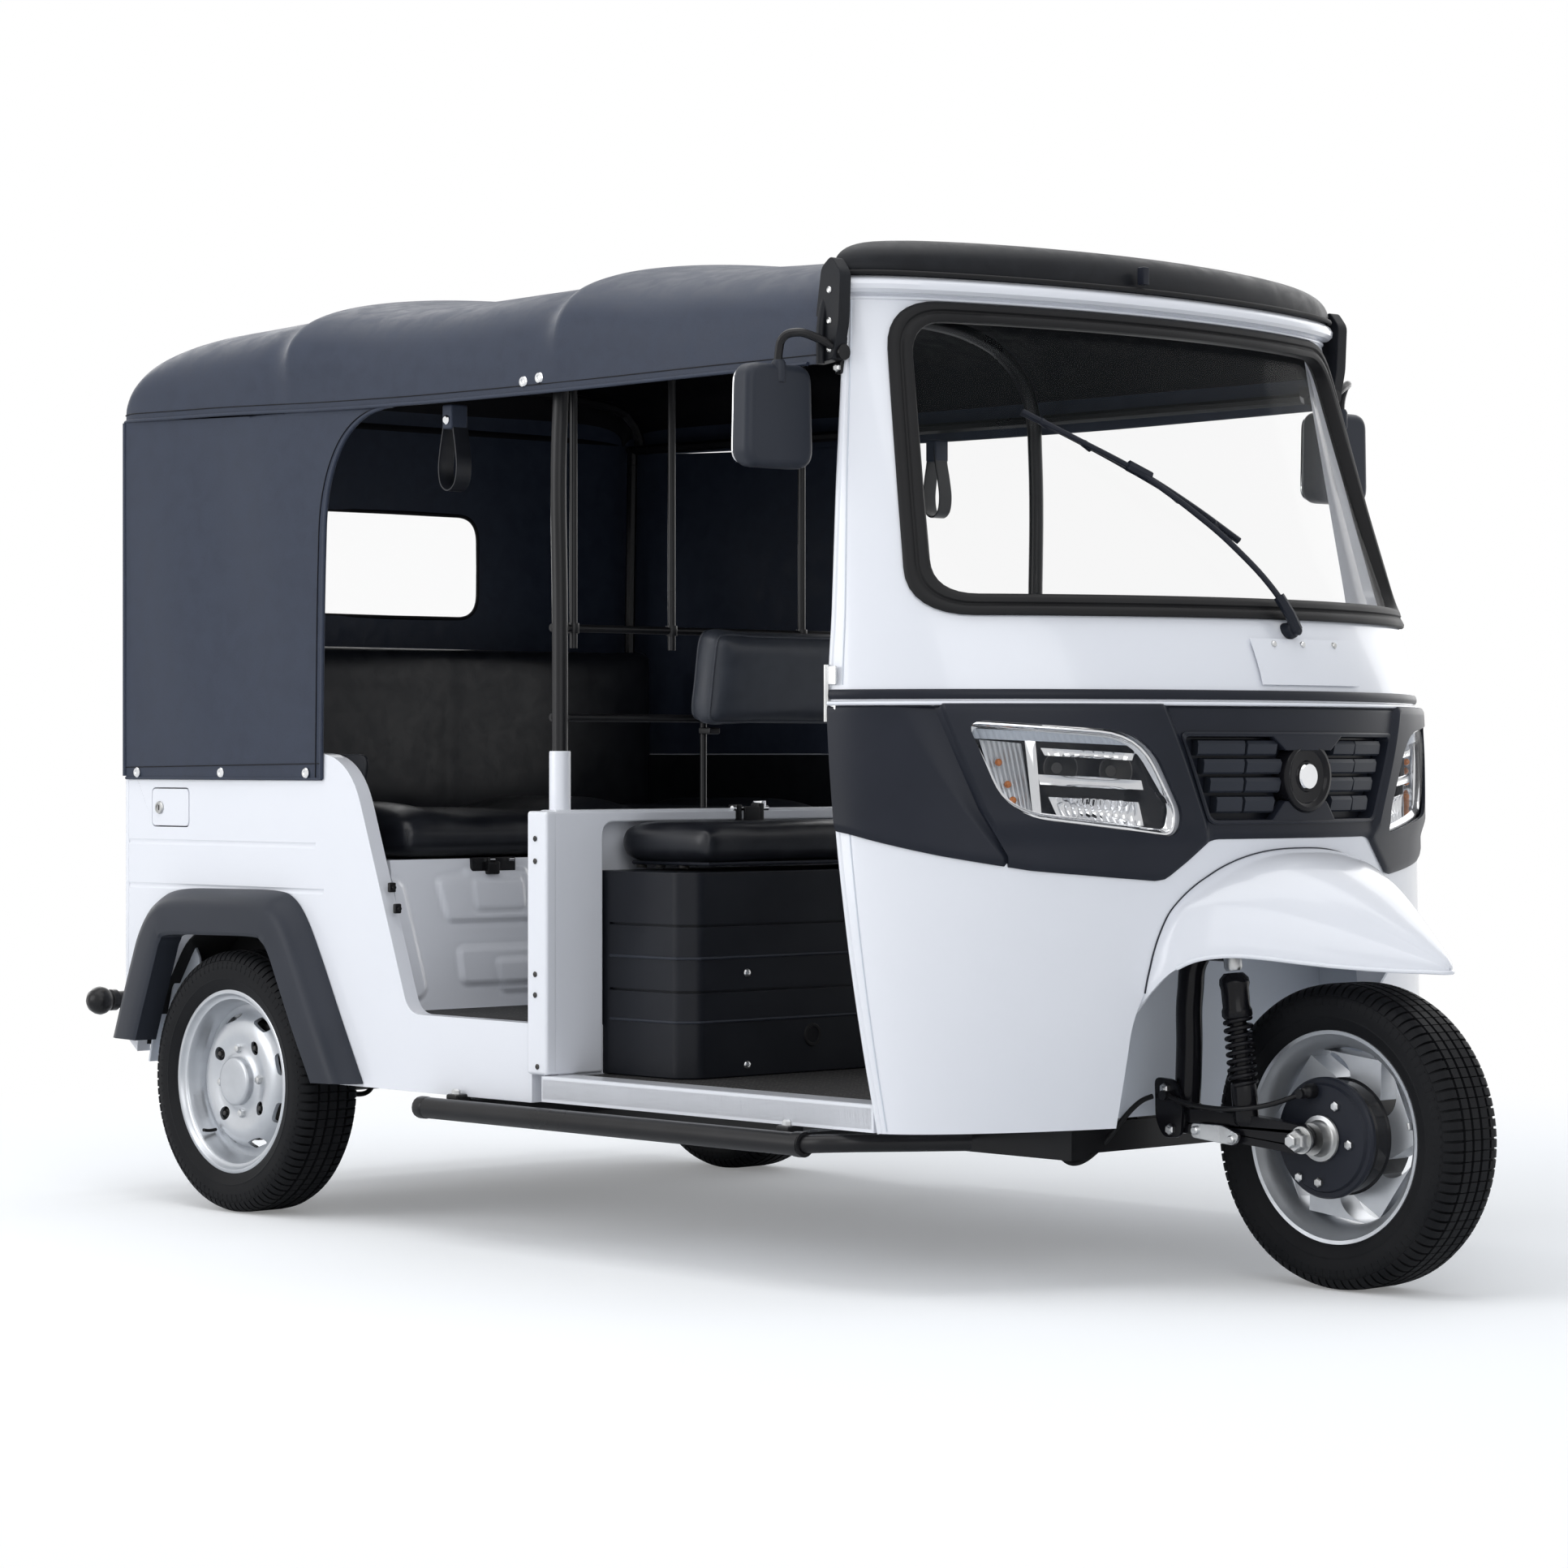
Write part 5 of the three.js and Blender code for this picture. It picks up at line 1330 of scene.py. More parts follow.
def make_flare(side):
    name = SIDE_NAME[side]
    rows = len(FLARE_SECTION) - 1

    def place(u, v):
        outer, inner = Vector(through(FLARE_OUTER, u)), Vector(through(FLARE_INNER, u))
        share, proud = FLARE_SECTION[round(v * rows)]
        spot = outer.lerp(inner, share)
        return spot.x, side * (BODY_SIDE + proud), spot.y
    flare = thicken(sheet_of(f"arch_flare_moulding_{name}", place, 96, rows), 3, side)
    finish(close_up(flare), GREY_PLASTIC_AND_RIB_HIGHLIGHT, 38, replaces=[f"arch_flare_{name}"])


def arch_rows(grow):
    middle_x = (ARCH_ROWS[0][0] + ARCH_ROWS[-1][0]) / 2
    return [(x + grow * math.copysign(1, x - middle_x), z + grow * 0.8, r) for x, z, r in ARCH_ROWS]


def make_quarter_panel(side):
    name = SIDE_NAME[side]
    panel = prism(f"rear_quarter_panel_{name}", rounded(DOOR_EDGE, 10), "Y", side * (BODY_SIDE - 30),
                  side * BODY_SIDE)
    carve(panel, prism("cutter", rounded(ARCH_ROWS, 8), "Y", side * 560, side * 720))
    for z in (610, 695):
        start, end = -1345, -720 + 0.3 * (695 - z)
        carve(panel, bar("cutter", (start, side * (BODY_SIDE + 3.6), z), (end, side * (BODY_SIDE + 3.6), z),
                         6.2, 16))
    if side == RIGHT:
        carve(panel, prism("cutter", rounded(lid_rows(), 6), "Y", side * 616, side * 700))
    round_edges(panel, 5, 3, 40)
    finish(panel, WHITE_PAINT, 35, replaces=[f"rear_side_{name}"])


def make_wheel_housing(side):
    name = SIDE_NAME[side]
    housing = prism(f"wheel_housing_{name}", rounded(arch_rows(13), 8), "Y", side * 500, side * 634)
    carve(housing, prism("cutter", rounded(arch_rows(3), 8), "Y", side * 510, side * 720))
    carve(housing, box("cutter", (-1400, -800, 100), (-600, 800, 296)))
    finish(round_edges(housing, 2, 2), SHADED_WHITE_PAINT, 35)
    liner = prism(f"wheel_liner_{name}", rounded(arch_rows(2.4), 8), "Y", side * 510.5, side * 628)
    carve(liner, prism("cutter", rounded(arch_rows(-2), 8), "Y", side * 515, side * 720))
    carve(liner, box("cutter", (-1400, -800, 100), (-600, 800, 298)))
    finish(liner, RUBBER, 35, slot="black_plastic")


def make_inner_trim(side):
    rows = [(-1328, 700, 6), (-640, 700, 6), (-600, 864, 30), (-1328, 864, 6)]
    trim = prism(f"inner_trim_{SIDE_NAME[side]}", rounded(rows, 6), "Y", side * 612, side * 619.6)
    finish(round_edges(trim, 2.5, 3, 40), CANOPY_BLACK, 40, slot="seat_vinyl")


def make_arch_stay(side):
    """Pressed stay behind the wheel."""
    rows = [(-1298, 264), (-1252, 264), (-1158, 440), (-1160, 470), (-1186, 512), (-1236, 512)]
    web = prism("web", rows, "Y", side * 596, side * 602)
    rear_edge = [(-1298, 264), (-1292, 264), (-1230, 512), (-1236, 512)]
    front_edge = [(-1276, 264), (-1271, 264), (-1196, 512), (-1201, 512)]
    edges = [prism("edge", rear_edge, "Y", side * 596, side * 626),
             prism("edge", front_edge, "Y", side * 596, side * 616)]
    stay = round_edges(join(f"arch_stay_{SIDE_NAME[side]}", [web, *edges]), 1.5, 2)
    finish(stay, SHADED_WHITE_PAINT)


def make_door_buckles(side):
    buckles = []
    for x, z in ((-512, 622), (-496, 584)):
        buckles.append(round_edges(box("buckle", (x, side * 628, z - 9), (x + 8, side * 643, z + 9)), 2.5, 2))
        buckles.append(bar("buckle_pin", (x + 4, side * 636, z), (x + 14, side * 636, z), 3.5, 12))
    finish(join(f"doorway_buckles_{SIDE_NAME[side]}", buckles), BLACK_STEEL)


def make_charge_lid():
    lid = round_edges(prism("charge_lid_door", rounded(lid_rows(2.2, 11), 8), "Y", -640, -651), 1.6, 3, 50)
    finish(lid, WHITE_PAINT, 40, body="charge_lid", replaces=["charge_lid"])
    lock = turned("charge_lid_lock", [(0, 0), (12, 0), (12.5, 2), (11, 4.5), (7.5, 5), (7, 3.2), (0, 3.2)],
                  (-1221, -651, 761), "Y", 32, -1)
    finish(lock, ZINC, body="charge_lid")
    slot = round_edges(box("charge_lid_lock_slot", (-1222.3, -655.2, 756), (-1219.7, -654, 766)), 0.4, 1)
    finish(slot, DARK_IRON, body="charge_lid")
    bowl = prism("charge_socket_recess", rounded(lid_rows(0.5), 6), "Y", -618, -638)
    carve(bowl, prism("cutter", rounded(lid_rows(5, 9), 6), "Y", -622, -700))
    finish(bowl, BLACK_PLASTIC, 35)
    socket = turned("socket", [(0, 0), (26, 0), (26, 10), (24, 12), (21, 12), (20, 6), (0, 6)],
                    (-1184, -622, 762), "Y", 36, -1)
    pin = [(0, 0), (3, 0), (3, 9), (2, 10), (0, 10)]
    pins = [turned("pin", pin, (-1184 + dx, -626, 762 + dz), "Y", 12, -1)
            for dx, dz in ((-9, 5), (9, 5), (0, -10))]
    finish(join("charge_socket", [socket, *pins]), GREY_PLASTIC_AND_RIB_HIGHLIGHT)


def make_tail():
    tail = round_edges(box("tail_panel_sheet", (-1343, -BODY_SIDE, 306), (-1330, BODY_SIDE, 867)), 5, 3)
    for z0, z1 in ((420, 640), (672, 840)):
        raised = prism("cutter", rounded(both_sides([(470, z0, 30), (470, z1, 30)]), 6), "X", -1347, -1339)
        carve(tail, round_edges(raised, 3, 2), "UNION")
    finish(tail, WHITE_PAINT, 35, replaces=["tail_panel"])
    handle = tube("tail_handle", [(-1345, -70, 756), (-1370, -64, 756), (-1374, 0, 756), (-1370, 64, 756),
                                  (-1345, 70, 756)], 6)
    finish(handle, BLACK_STEEL, slot="black_plastic")
    plate = round_edges(box("rear_blank_plate", (-1352, -130, 470), (-1349, 130, 560)), 1, 2)
    finish(plate, WHITE_PAINT)
    spacers = [turned("spacer", [(0, -4), (6, -4), (6, 4), (4, 6), (0, 6)], (-1351, y, 545), "X", 16, -1)
               for y in (-90, 90)]
    finish(join("rear_plate_bolts", spacers), ZINC)
    for side in SIDES:
        name = SIDE_NAME[side]

        def lamp_rows_at(y0, y1, z0, z1, radius):
            return rounded([(side * y0, z0, radius), (side * y1, z0, radius), (side * y1, z1, radius),
                            (side * y0, z1, radius)], 6)
        base = prism(f"tail_lamp_base_{name}", lamp_rows_at(520, 620, 700, 820, 14), "X", -1356, -1343)
        finish(round_edges(base, 1.5, 2), BLACK_PLASTIC)
        brake = prism(f"tail_lamp_brake_{name}", lamp_rows_at(525, 615, 763, 815, 9), "X", -1378, -1355)
        finish(round_edges(brake, 6, 4, 40), RED_LENS, 40, replaces=[f"tail_lamp_{name}"])
        turn = prism(f"tail_lamp_turn_{name}", lamp_rows_at(525, 615, 705, 760, 9), "X", -1378, -1355)
        finish(round_edges(turn, 6, 4, 40), AMBER, 40)
        for label, low, high, look in (("brake", 771, 810, RED_LENS), ("turn", 713, 755, AMBER)):
            flutes = [bar("flute", (-1377.6, side * 533, z), (-1377.6, side * 607, z), 1.5, 8)
                      for z in range(low, high, 7)]
            finish(join(f"tail_lamp_flutes_{label}_{name}", flutes), look)
        reflector = turned(f"tail_reflector_{name}", [(0, 0), (24, 0), (24, 4), (20, 7), (0, 7)],
                           (-1343, side * 572, 640), "X", 36, -1)
        finish(reflector, RED_LENS)


BUMPER_Z = 378


def make_bumper():
    path = [(x, y, BUMPER_Z)
            for x, y in ((-1432, 640), (-1440, 560), (-1440, 0), (-1440, -560), (-1432, -640))]
    parts = [tube("bumper_tube", path, 17, 5)]
    ball = [(0, -27), (10, -26), (20, -19), (26, -9), (28, 0), (26, 9), (20, 19), (10, 26), (0, 27)]
    collar = [(0, 0), (21, 0), (21, 12), (18, 15), (0, 15)]
    for side in SIDES:
        parts.append(turned("ball", ball, (-1430, side * 650, BUMPER_Z), "Y", 32))
        parts.append(turned("collar", collar, (-1433, side * 612, BUMPER_Z), "Y", 28, side))
        parts.append(round_edges(box("stay", (-1440, side * 230, 364), (-1346, side * 270, 392)), 3, 2))
        parts.append(round_edges(box("pad", (-1350, side * 212, 344), (-1343.5, side * 288, 412)), 2, 2))
        parts += [turned("nut", [(0, 0), (7, 0), (7, 5), (4, 7), (0, 7)], (-1349, side * y, z), "X", 6, -1)
                  for y in (221, 279) for z in (354, 402)]
    finish(join("rear_bumper_assembly", parts), BLACK_STEEL, 40, replaces=["rear_bumper"])


# ---- floor, bulkhead and posts ----
def make_floor():
    for name, low, high in (("driver_floor_mat", (-42, -596, 298.3), (734, 596, 304)),
                            ("passenger_floor_mat", (-508, -612, 390.3), (-94, 612, 396))):
        finish(round_edges(box(name, low, high), 2.5, 2), FLOOR_MAT)
    for side in SIDES:
        name = SIDE_NAME[side]
        rows = [(598 * side, 262, 3), (662 * side, 262, 5), (662 * side, 307, 6), (598 * side, 307, 3)]
        sill = prism(f"door_sill_{name}", rounded(rows, 4), "X", -48, 770)
        finish(round_edges(sill, 1, 2, 50), WHITE_PAINT, 35)
    dress(WHITE_PAINT, "floor_pan")


def make_bulkhead():
    """A back sheet, and in front of it a frame whose opening takes the seat."""
    sheet = round_edges(box("bulkhead_sheet", (-84, -640, 391), (-74, 640, 764)), 3, 2)
    for z0, z1 in ((690, 742), (420, 640)):
        swage = prism("cutter", rounded(both_sides([(600, z0, 20), (600, z1, 20)]), 5), "X", -88.5, -83)
        carve(sheet, round_edges(swage, 2, 2), "UNION")
    finish(sheet, WHITE_PAINT, 35, replaces=["bulkhead"])
    face = prism("bulkhead_frame", [(650, 308), (650, 764), (-650, 764), (-650, 308)], "X", -73.5, -37)
    carve(face, prism("cutter", rounded(both_sides([(533, 200, 0), (533, 745, 26)]), 8), "X", -100, 0))
    finish(round_edges(face, 4, 3), WHITE_PAINT, 35)
    rail = round_edges(box("bulkhead_top_rail", (-86, -641, 750), (-38, 641, 767)), 7, 4)
    finish(rail, WHITE_PAINT, 40)
    screw = [(0, 0), (4.6, 0), (5, 1.2), (3.4, 2.6), (1.6, 2.9), (1.2, 1.6), (0, 1.6)]
    for side in SIDES:
        name = SIDE_NAME[side]
        flange = round_edges(box(f"bulkhead_flange_{name}", (-90, side * 638, 308), (-36.5, side * 663, 765)),
                             6, 4)
        finish(flange, WHITE_PAINT, 40)
        rivets = [turned("rivet", screw, (-66, side * 663, z), "Y", 14, side) for z in (717, 678, 482, 446)]
        rivets.append(turned("rivet", screw, (-60, side * 663, 322), "Y", 14, side))
        finish(join(f"bulkhead_screws_{name}", rivets), DARK_IRON)
        sleeve = turned(f"post_sleeve_{name}", [(14.4, 0), (19, 0), (19, 101), (18, 103), (14.4, 103)],
                        (HOOP_X, side * HOOP_Y, 766), "Z", 32)
        finish(sleeve, WHITE_PAINT)


# ---- seats ----
def padded_block(name, low, high, corner, voxel, swell, shape):
    """A stuffed cover: a rounded block swollen by pressure, then shaped point by point in millimetres."""
    block = round_edges(box(name, low, high), corner, 5, 40)
    hold(block)
    block.data.remesh_voxel_size = voxel * MM
    bpy.ops.object.voxel_remesh()
    rest = [vert.co.copy() for vert in block.data.vertices]
    modifier = block.modifiers.new("cover", "CLOTH")
    modifier.settings.use_pressure = True
    modifier.settings.uniform_pressure_force = 4.0
    modifier.settings.effector_weights.gravity = 0.0
    modifier.point_cache.frame_start = 1
    modifier.point_cache.frame_end = 20
    for step in range(1, 21):
        bpy.context.scene.frame_set(step)
    hold(block)
    bpy.ops.object.modifier_apply(modifier="cover")
    bpy.context.scene.frame_set(1)
    low, high = Vector(low), Vector(high)
    for vert, start in zip(block.data.vertices, rest):
        move = vert.co - start
        if move.length > 0:
            move *= swell * MM * math.tanh(move.length / (swell * MM)) / move.length
        spot = (start + move) / MM
        vert.co = shape(spot, low, high) * MM
    modify(block, "SMOOTH", factor=0.5, iterations=14)
    return soften(block, 1)


def laid_on(pad, points, proud=0.6):
    """The points, in millimetres, moved onto the cover of a pad."""
    cover = BVHTree.FromPolygons([vert.co for vert in pad.data.vertices],
                                 [face.vertices for face in pad.data.polygons])
    spots = []
    for point in points:
        spot, normal = cover.find_nearest(Vector(point) * MM)[:2]
        spots.append(spot / MM + normal * proud)
    return spots


def wrinkle(a, b, depth):
    """Slow, uneven puckers of a loose cover."""
    return depth * math.sin(0.021 * a + 0.012 * b) * math.sin(0.017 * b - 0.013 * a + 1)


def sewn(distance, width, depth):
    return depth * math.exp(-(distance / width) ** 2)


def bench_shape(spot, low, high):
    """Raised ends and middle, two hollows to sit in, a top seam and corner seams."""
    x = 2 * (spot.x - (low.x + high.x) / 2) / (high.x - low.x)
    top = eased((spot.z - 700) / 40)
    across = 30 * math.exp(-((abs(spot.y) - 500) / 60) ** 2) + 34 * math.exp(-(spot.y / 70) ** 2)
    across += 12 * math.exp(-((abs(spot.y) - 290) / 120) ** 2)
    dome = (1 - min(abs(x), 1) ** 3.2)
    spot.z += top * (across * dome + wrinkle(spot.x, spot.y, 0.8))
    spot.z -= top * sewn(abs(spot.y) - 398, 6, 5) * (1 - min(abs(x), 1) ** 8)
    side = 1 - min(abs(spot.z - 712) / 40, 1) ** 2
    end = max(0.0, abs(x) - 0.9) * 10
    spot.x += math.copysign(side * 3 * end, x)
    return spot


def plain_shape(spot, low, high):
    spot.z += 5 * eased((spot.z - low.z) / (high.z - low.z)) + wrinkle(spot.x * 1.4, spot.y, 0.5)
    return spot


def bench_back_shape(spot, low, high):
    front = eased((spot.x - low.x) / (high.x - low.x))
    rows = sewn(abs(spot.y), 7, 6) + sewn(spot.z - 1010, 7, 5)
    dome = 9 * math.cos(min(abs(abs(spot.y) - 290) / 290, 1) * math.pi / 2)
    spot.x += front * (dome * (1 - abs(2 * (spot.z - 893) / 400) ** 4) - rows + wrinkle(spot.z, spot.y, 0.7))
    return spot


def backrest_shape(spot, low, high):
    dome = 2.5 * math.copysign(1, spot.x) * (1 - (spot.y / 330) ** 4) * (1 - (spot.z / 95) ** 4)
    return spot + Vector((dome, 0, wrinkle(spot.y, spot.z, 0.4)))


def make_seats():
    driver = padded_block("driver_cushion_pad", (-58, -493, 680), (184, 493, 734), 22, 9, 7, plain_shape)
    finish(driver, SEAT_HIDE, 60, body="driver_seat", replaces=["driver_cushion"])
    board = round_edges(box("driver_cushion_board", (-44, -462, 670), (160, 462, 677)), 3, 2)
    finish(board, BLACK_PLASTIC, body="driver_seat")
    coil = [(math.cos(k * 0.9) * 8, math.sin(k * 0.9) * 8, 664.3 + k * 0.27) for k in range(21)]
    springs = [tube("spring", [(x + a, y + b, z) for a, b, z in coil], 1.1, 2, steps=3)
               for y in (-450, 450) for x in (-30, 20, 82)]
    finish(join("driver_cushion_springs", springs), DARK_IRON, slot="black_metal", body="driver_seat")

    lean = Matrix.Translation(Vector((-20, 0, 1002)) * MM) @ Matrix.Rotation(math.radians(9), 4, "Y")
    back = padded_block("driver_backrest_pad", (-34, -322, -88), (34, 322, 88), 26, 8, 7, backrest_shape)
    back.data.transform(lean)
    # The backrest and its piping take the lighter copy of the seat cover: painted highlight.
    finish(back, SEAT_HIDE_PAINTED_HIGHLIGHT, 60, replaces=["driver_backrest"])
    loops = []
    for reach in (-32, 32):
        rows = dense_outline([(-324, -92, 30), (324, -92, 30), (324, 92, 30), (-324, 92, 30)], 6, 9)
        edge = [lean @ (Vector((reach, *point)) * MM) / MM for point in rows]
        loops.append(tube("piping", laid_on(back, edge), 2.4, closed=True, steps=2))
    finish(join("driver_backrest_piping", loops), SEAT_HIDE_PAINTED_HIGHLIGHT)

    bench = padded_block("bench_cushion_pad", (-1120, -566, 678), (-560, 566, 742), 24, 12.5, 9, bench_shape)
    finish(bench, SEAT_HIDE, 60, replaces=["bench_cushion"])
    seams = []
    for side in SIDES:
        for x in (-556, -1124):
            edge = [(x, side * 571, z) for z in (684, 692, 700, 708, 716, 724, 732, 740)]
            seams.append(tube("seam", laid_on(bench, edge, 0.3), 1.6, 2))
    finish(join("bench_cushion_seams", seams), SEAT_HIDE)
    rear = padded_block("bench_backrest_pad", (-1200, -567, 698), (-1150, 567, 1088), 20, 11, 8,
                        bench_back_shape)
    finish(rear, SEAT_HIDE, 60, replaces=["bench_backrest"])


BOX_FRONT, BOX_SIDE = 177, 528
BOX_ROWS = [(-66, -BOX_SIDE, 3), (150, -BOX_SIDE, 12), (BOX_FRONT, -496, 12), (BOX_FRONT, 496, 12),
            (150, BOX_SIDE, 12), (-66, BOX_SIDE, 3)]


def box_ring(grow):
    """The seat box's outline, grown at its sides and front but not at its back."""
    return rounded([(x + (grow if x > 0 else 0), y + grow * math.copysign(1, y), r) for x, y, r in BOX_ROWS],
                   8)


def make_seat_box():
    shell = round_edges(prism("seat_box_moulding", box_ring(0), "Z", 305, 660), 4, 3, 40)
    for z in (566, 452):
        groove = prism("cutter", [(-26, -560), (260, -560), (260, 560), (-26, 560)], "Z", z, z + 4.5)
        carve(groove, prism("inner", box_ring(-6), "Z", z - 1, z + 6))
        carve(shell, groove)
    finish(shell, BOX_PLASTIC, 32, replaces=["seat_box"])
    ribs = []
    for z in (512, 402):
        path = [(-24, -528.2), (147, -528.2), (151, -527), (176, -497.5), (177.4, -492), (177.4, 492),
                (176, 497.5), (151, 527), (147, 528.2), (-24, 528.2)]
        ribs.append(tube("rib", [(x, y, z) for x, y in path], 2.6, 2, bent=False))
    # The ribs take the lighter grey plastic, not the box's black: painted highlight along the ribs.
    finish(join("seat_box_ribs_painted_highlight", ribs), GREY_PLASTIC_AND_RIB_HIGHLIGHT)
    screw = [(0, -2), (7.5, -2), (7.5, 1), (6, 3), (3, 4), (2, 2.2), (0, 2.2)]
    screws = [turned("screw", screw, (BOX_FRONT, y, z), "X", 18) for y in (-388, 0, 388) for z in (484, 324)]
    screws += [turned("screw", screw, (-54, side * BOX_SIDE, z), "Y", 18, side) for side in SIDES
               for z in (502, 328)]
    finish(join("seat_box_screws", screws), ZINC)
    grommet = turned("seat_box_grommet", [(13, -3), (20, -3), (21, 0), (19, 2.5), (15, 2.5), (13, 0)],
                     (BOX_FRONT, -232, 370), "X", 30)
    finish(grommet, RUBBER)
    # A flat near-black disc inside the grommet: painted shade where the hole would show the dark inside of
    # the box.
    hole = turned("seat_box_hole_shade_disc", [(0, 0.4), (14, 0.4), (14, 1.2), (0, 1.2)], (BOX_FRONT, -232, 370), "X",
                  30)
    finish(hole, LINING_AND_HOLE_SHADE, slot="black_plastic")
    latch = join("driver_seat_latch", [
        round_edges(box("base", (-62, -222, 738), (-34, -150, 744)), 1.5, 2),
        round_edges(box("cheek", (-58, -220, 742), (-34, -206, 774)), 3, 2),
        round_edges(box("cheek", (-58, -166, 742), (-34, -152, 776)), 3, 2),
        round_edges(box("tongue", (-34, -204, 744), (-28, -168, 770)), 2, 2)])
    finish(latch, BLACK_STEEL)
    pin = join("driver_seat_latch_pin", [bar("pin", (-40, -226, 766), (-40, -140, 766), 5, 16),
                                         round_edges(box("hook", (-60, -158, 766), (-36, -146, 780)), 2, 2)])
    finish(pin, CHROME)


RISER = ((376, -512), (670, -560))


def riser_x(z):
    """The riser leans back towards the cushion."""
    (low, first), (high, last) = RISER
    return first + (last - first) * (z - low) / (high - low)


# pressed fields of the riser: how far each stands out, then y and z of its corners on one half
RISER_FIELDS = [
    (6, [(622, 410, 14), (590, 410, 14), (545, 425, 20), (578, 632, 22), (626, 632, 8)]),
    (3, [(415, 576, 12), (297, 576, 12), (297, 633, 12), (415, 633, 12)]),
    (6, [(480, 556, 14), (6, 556, 6), (6, 633, 10), (280, 633, 10), (280, 648, 6), (430, 648, 6),
         (430, 640, 3), (497, 633, 14)]),
    (6, [(462, 440, 14), (6, 440, 6), (6, 506, 6), (462, 506, 14)]),
    (5, [(367, 424, 12), (40, 424, 12), (40, 482, 12), (380, 482, 12)])]


def depth_inside(spot, outline):
    """Distance from an outline, more than nought inside it."""
    nearest, inside = 1e9, False
    for start, end in zip(outline, outline[1:] + outline[:1]):
        along = end - start
        if along.length_squared > 0:
            share = min(max((spot - start).dot(along) / along.length_squared, 0), 1)
            nearest = min(nearest, (start + along * share - spot).length)
        if (start.y > spot.y) != (end.y > spot.y):
            inside ^= spot.x < start.x + along.x * (spot.y - start.y) / along.y
    return nearest if inside else -nearest


def riser_relief(y, z, fields):
    """How far the pressed fields and the grooves round them stand off the riser."""
    spot, proud = Vector((abs(y), z)), 0.0
    for height, outline, low, high in fields:
        if low.x < spot.x < high.x and low.y < spot.y < high.y:
            inside = depth_inside(spot, outline)
            proud += height * eased(inside / 8 + 0.5) - 1.6 * math.exp(-((inside + 6) / 2.6) ** 2)
    return proud


def make_bench_base():
    fields = []
    for height, rows in RISER_FIELDS:
        outline = rounded(rows, 5)
        low = Vector((min(spot.x for spot in outline) - 16, min(spot.y for spot in outline) - 16))
        high = Vector((max(spot.x for spot in outline) + 16, max(spot.y for spot in outline) + 16))
        fields.append((height, outline, low, high))

    def place(u, v):
        y, z = -600 + 1200 * u, 388 + 282 * v
        return riser_x(z) + riser_relief(y, z, fields), y, z
    riser = thicken(sheet_of("bench_riser", place, 212, 60), 8)
    finish(riser, WHITE_PAINT, 60, replaces=["bench_base"])
    deck = round_edges(box("bench_deck", (-1150, -524, 640), (-566, 524, 669)), 5, 3)
    finish(deck, WHITE_PAINT)
    ends = []
    for side in SIDES:
        rows = [(riser_x(392) - 12, 392, 3), (riser_x(660) - 12, 660, 3), (-1130, 660, 3), (-1130, 392, 3)]
        ends.append(prism("end", rounded(rows, 2), "Y", side * 490, side * 496))
    finish(join("bench_ends", ends), SHADED_WHITE_PAINT)
    x = riser_x(660)
    latch = join("bench_latch", [
        round_edges(box("plate", (x - 2, -414, 645), (x + 7, -310, 672)), 2, 2),
        round_edges(box("hook", (x + 5, -384, 640), (x + 18, -356, 664)), 3, 2)])
    finish(latch, BLACK_STEEL)
    bits = [bar("pin", (x + 12, y - 6, z), (x + 12, y + 6, z), 4, 14)
            for y, z in ((-372, 668), (-326, 668), (-370, 651))]
    finish(join("bench_latch_pins", bits), CHROME)


# ---- hand straps ----
def make_straps():
    """Hand straps: a flat folded band held by one snap."""
    for side in SIDES:
        name = SIDE_NAME[side]
        # distance along x from the middle, height
        path = [(-9, 1486), (-12, 1450), (-20, 1410), (-24, 1375), (-18, 1347), (0, 1336), (18, 1347),
                (24, 1375), (20, 1410), (12, 1450), (9, 1486)]

        def place(u, v):
            (dx, z) = through(path, v)
            return -355 + dx, side * (611 + (u - 0.5) * 34 + 2 * math.sin(5 * v)), z
        band = sheet_of(f"hand_strap_{name}", lambda u, v: place(u if side > 0 else 1 - u, v), 6, 60)
        band = close_up(thicken(band, 3, 0))
        finish(round_edges(band, 0.8, 2, 50), SEAT_HIDE, 50, replaces=[f"strap_{name}"])
        cuff = round_edges(box(f"hand_strap_cuff_{name}", (-369, side * 592, 1446), (-341, side * 630, 1490)),
                           4, 3)
        finish(cuff, CANOPY_VINYL, 50, slot="seat_vinyl")
        snap = turned(f"hand_strap_snap_{name}", [(0, 0), (8, 0), (8.5, 2), (6, 4), (0, 4.4)],
                      (-355, side * 630, 1462), "Y", 24, side)
        finish(snap, CHROME)


# ---- wheels ----
AXLE_Z = 247
REAR_AXLE_X = -949
FRONT_AXLE_X = 1211
WHEEL_HALF_TRACK = 621
# radius, distance from the tyre's middle, up to the shoulder
TYRE_SECTION = [(165, -46), (168, -53), (174, -57.5), (182, -61.5), (190, -64), (194, -66), (197, -65.2),
                (208, -67), (221, -66), (230, -62.5), (236, -56), (239.5, -46)]
TYRE_INSIDE = [(170, 40), (200, 55), (224, 52), (232, 30), (233, 0), (232, -30), (224, -52), (200, -55),
               (170, -40)]
TREAD_RIBS = ((-30.5, -13.5), (-8.5, 8.5), (13.5, 30.5))
TREAD_COUNT = 92


def ring_of(piece, count, centre, axis=(0, 1, 0)):
    """Copies the piece evenly round an axis, in its own mesh."""
    pick(piece, "VERT", lambda vert: True)
    bpy.ops.mesh.spin(steps=count - 1, dupli=True, angle=2 * math.pi * (count - 1) / count,
                      center=Vector(centre) * MM, axis=axis)
    rest_hands()
    return piece


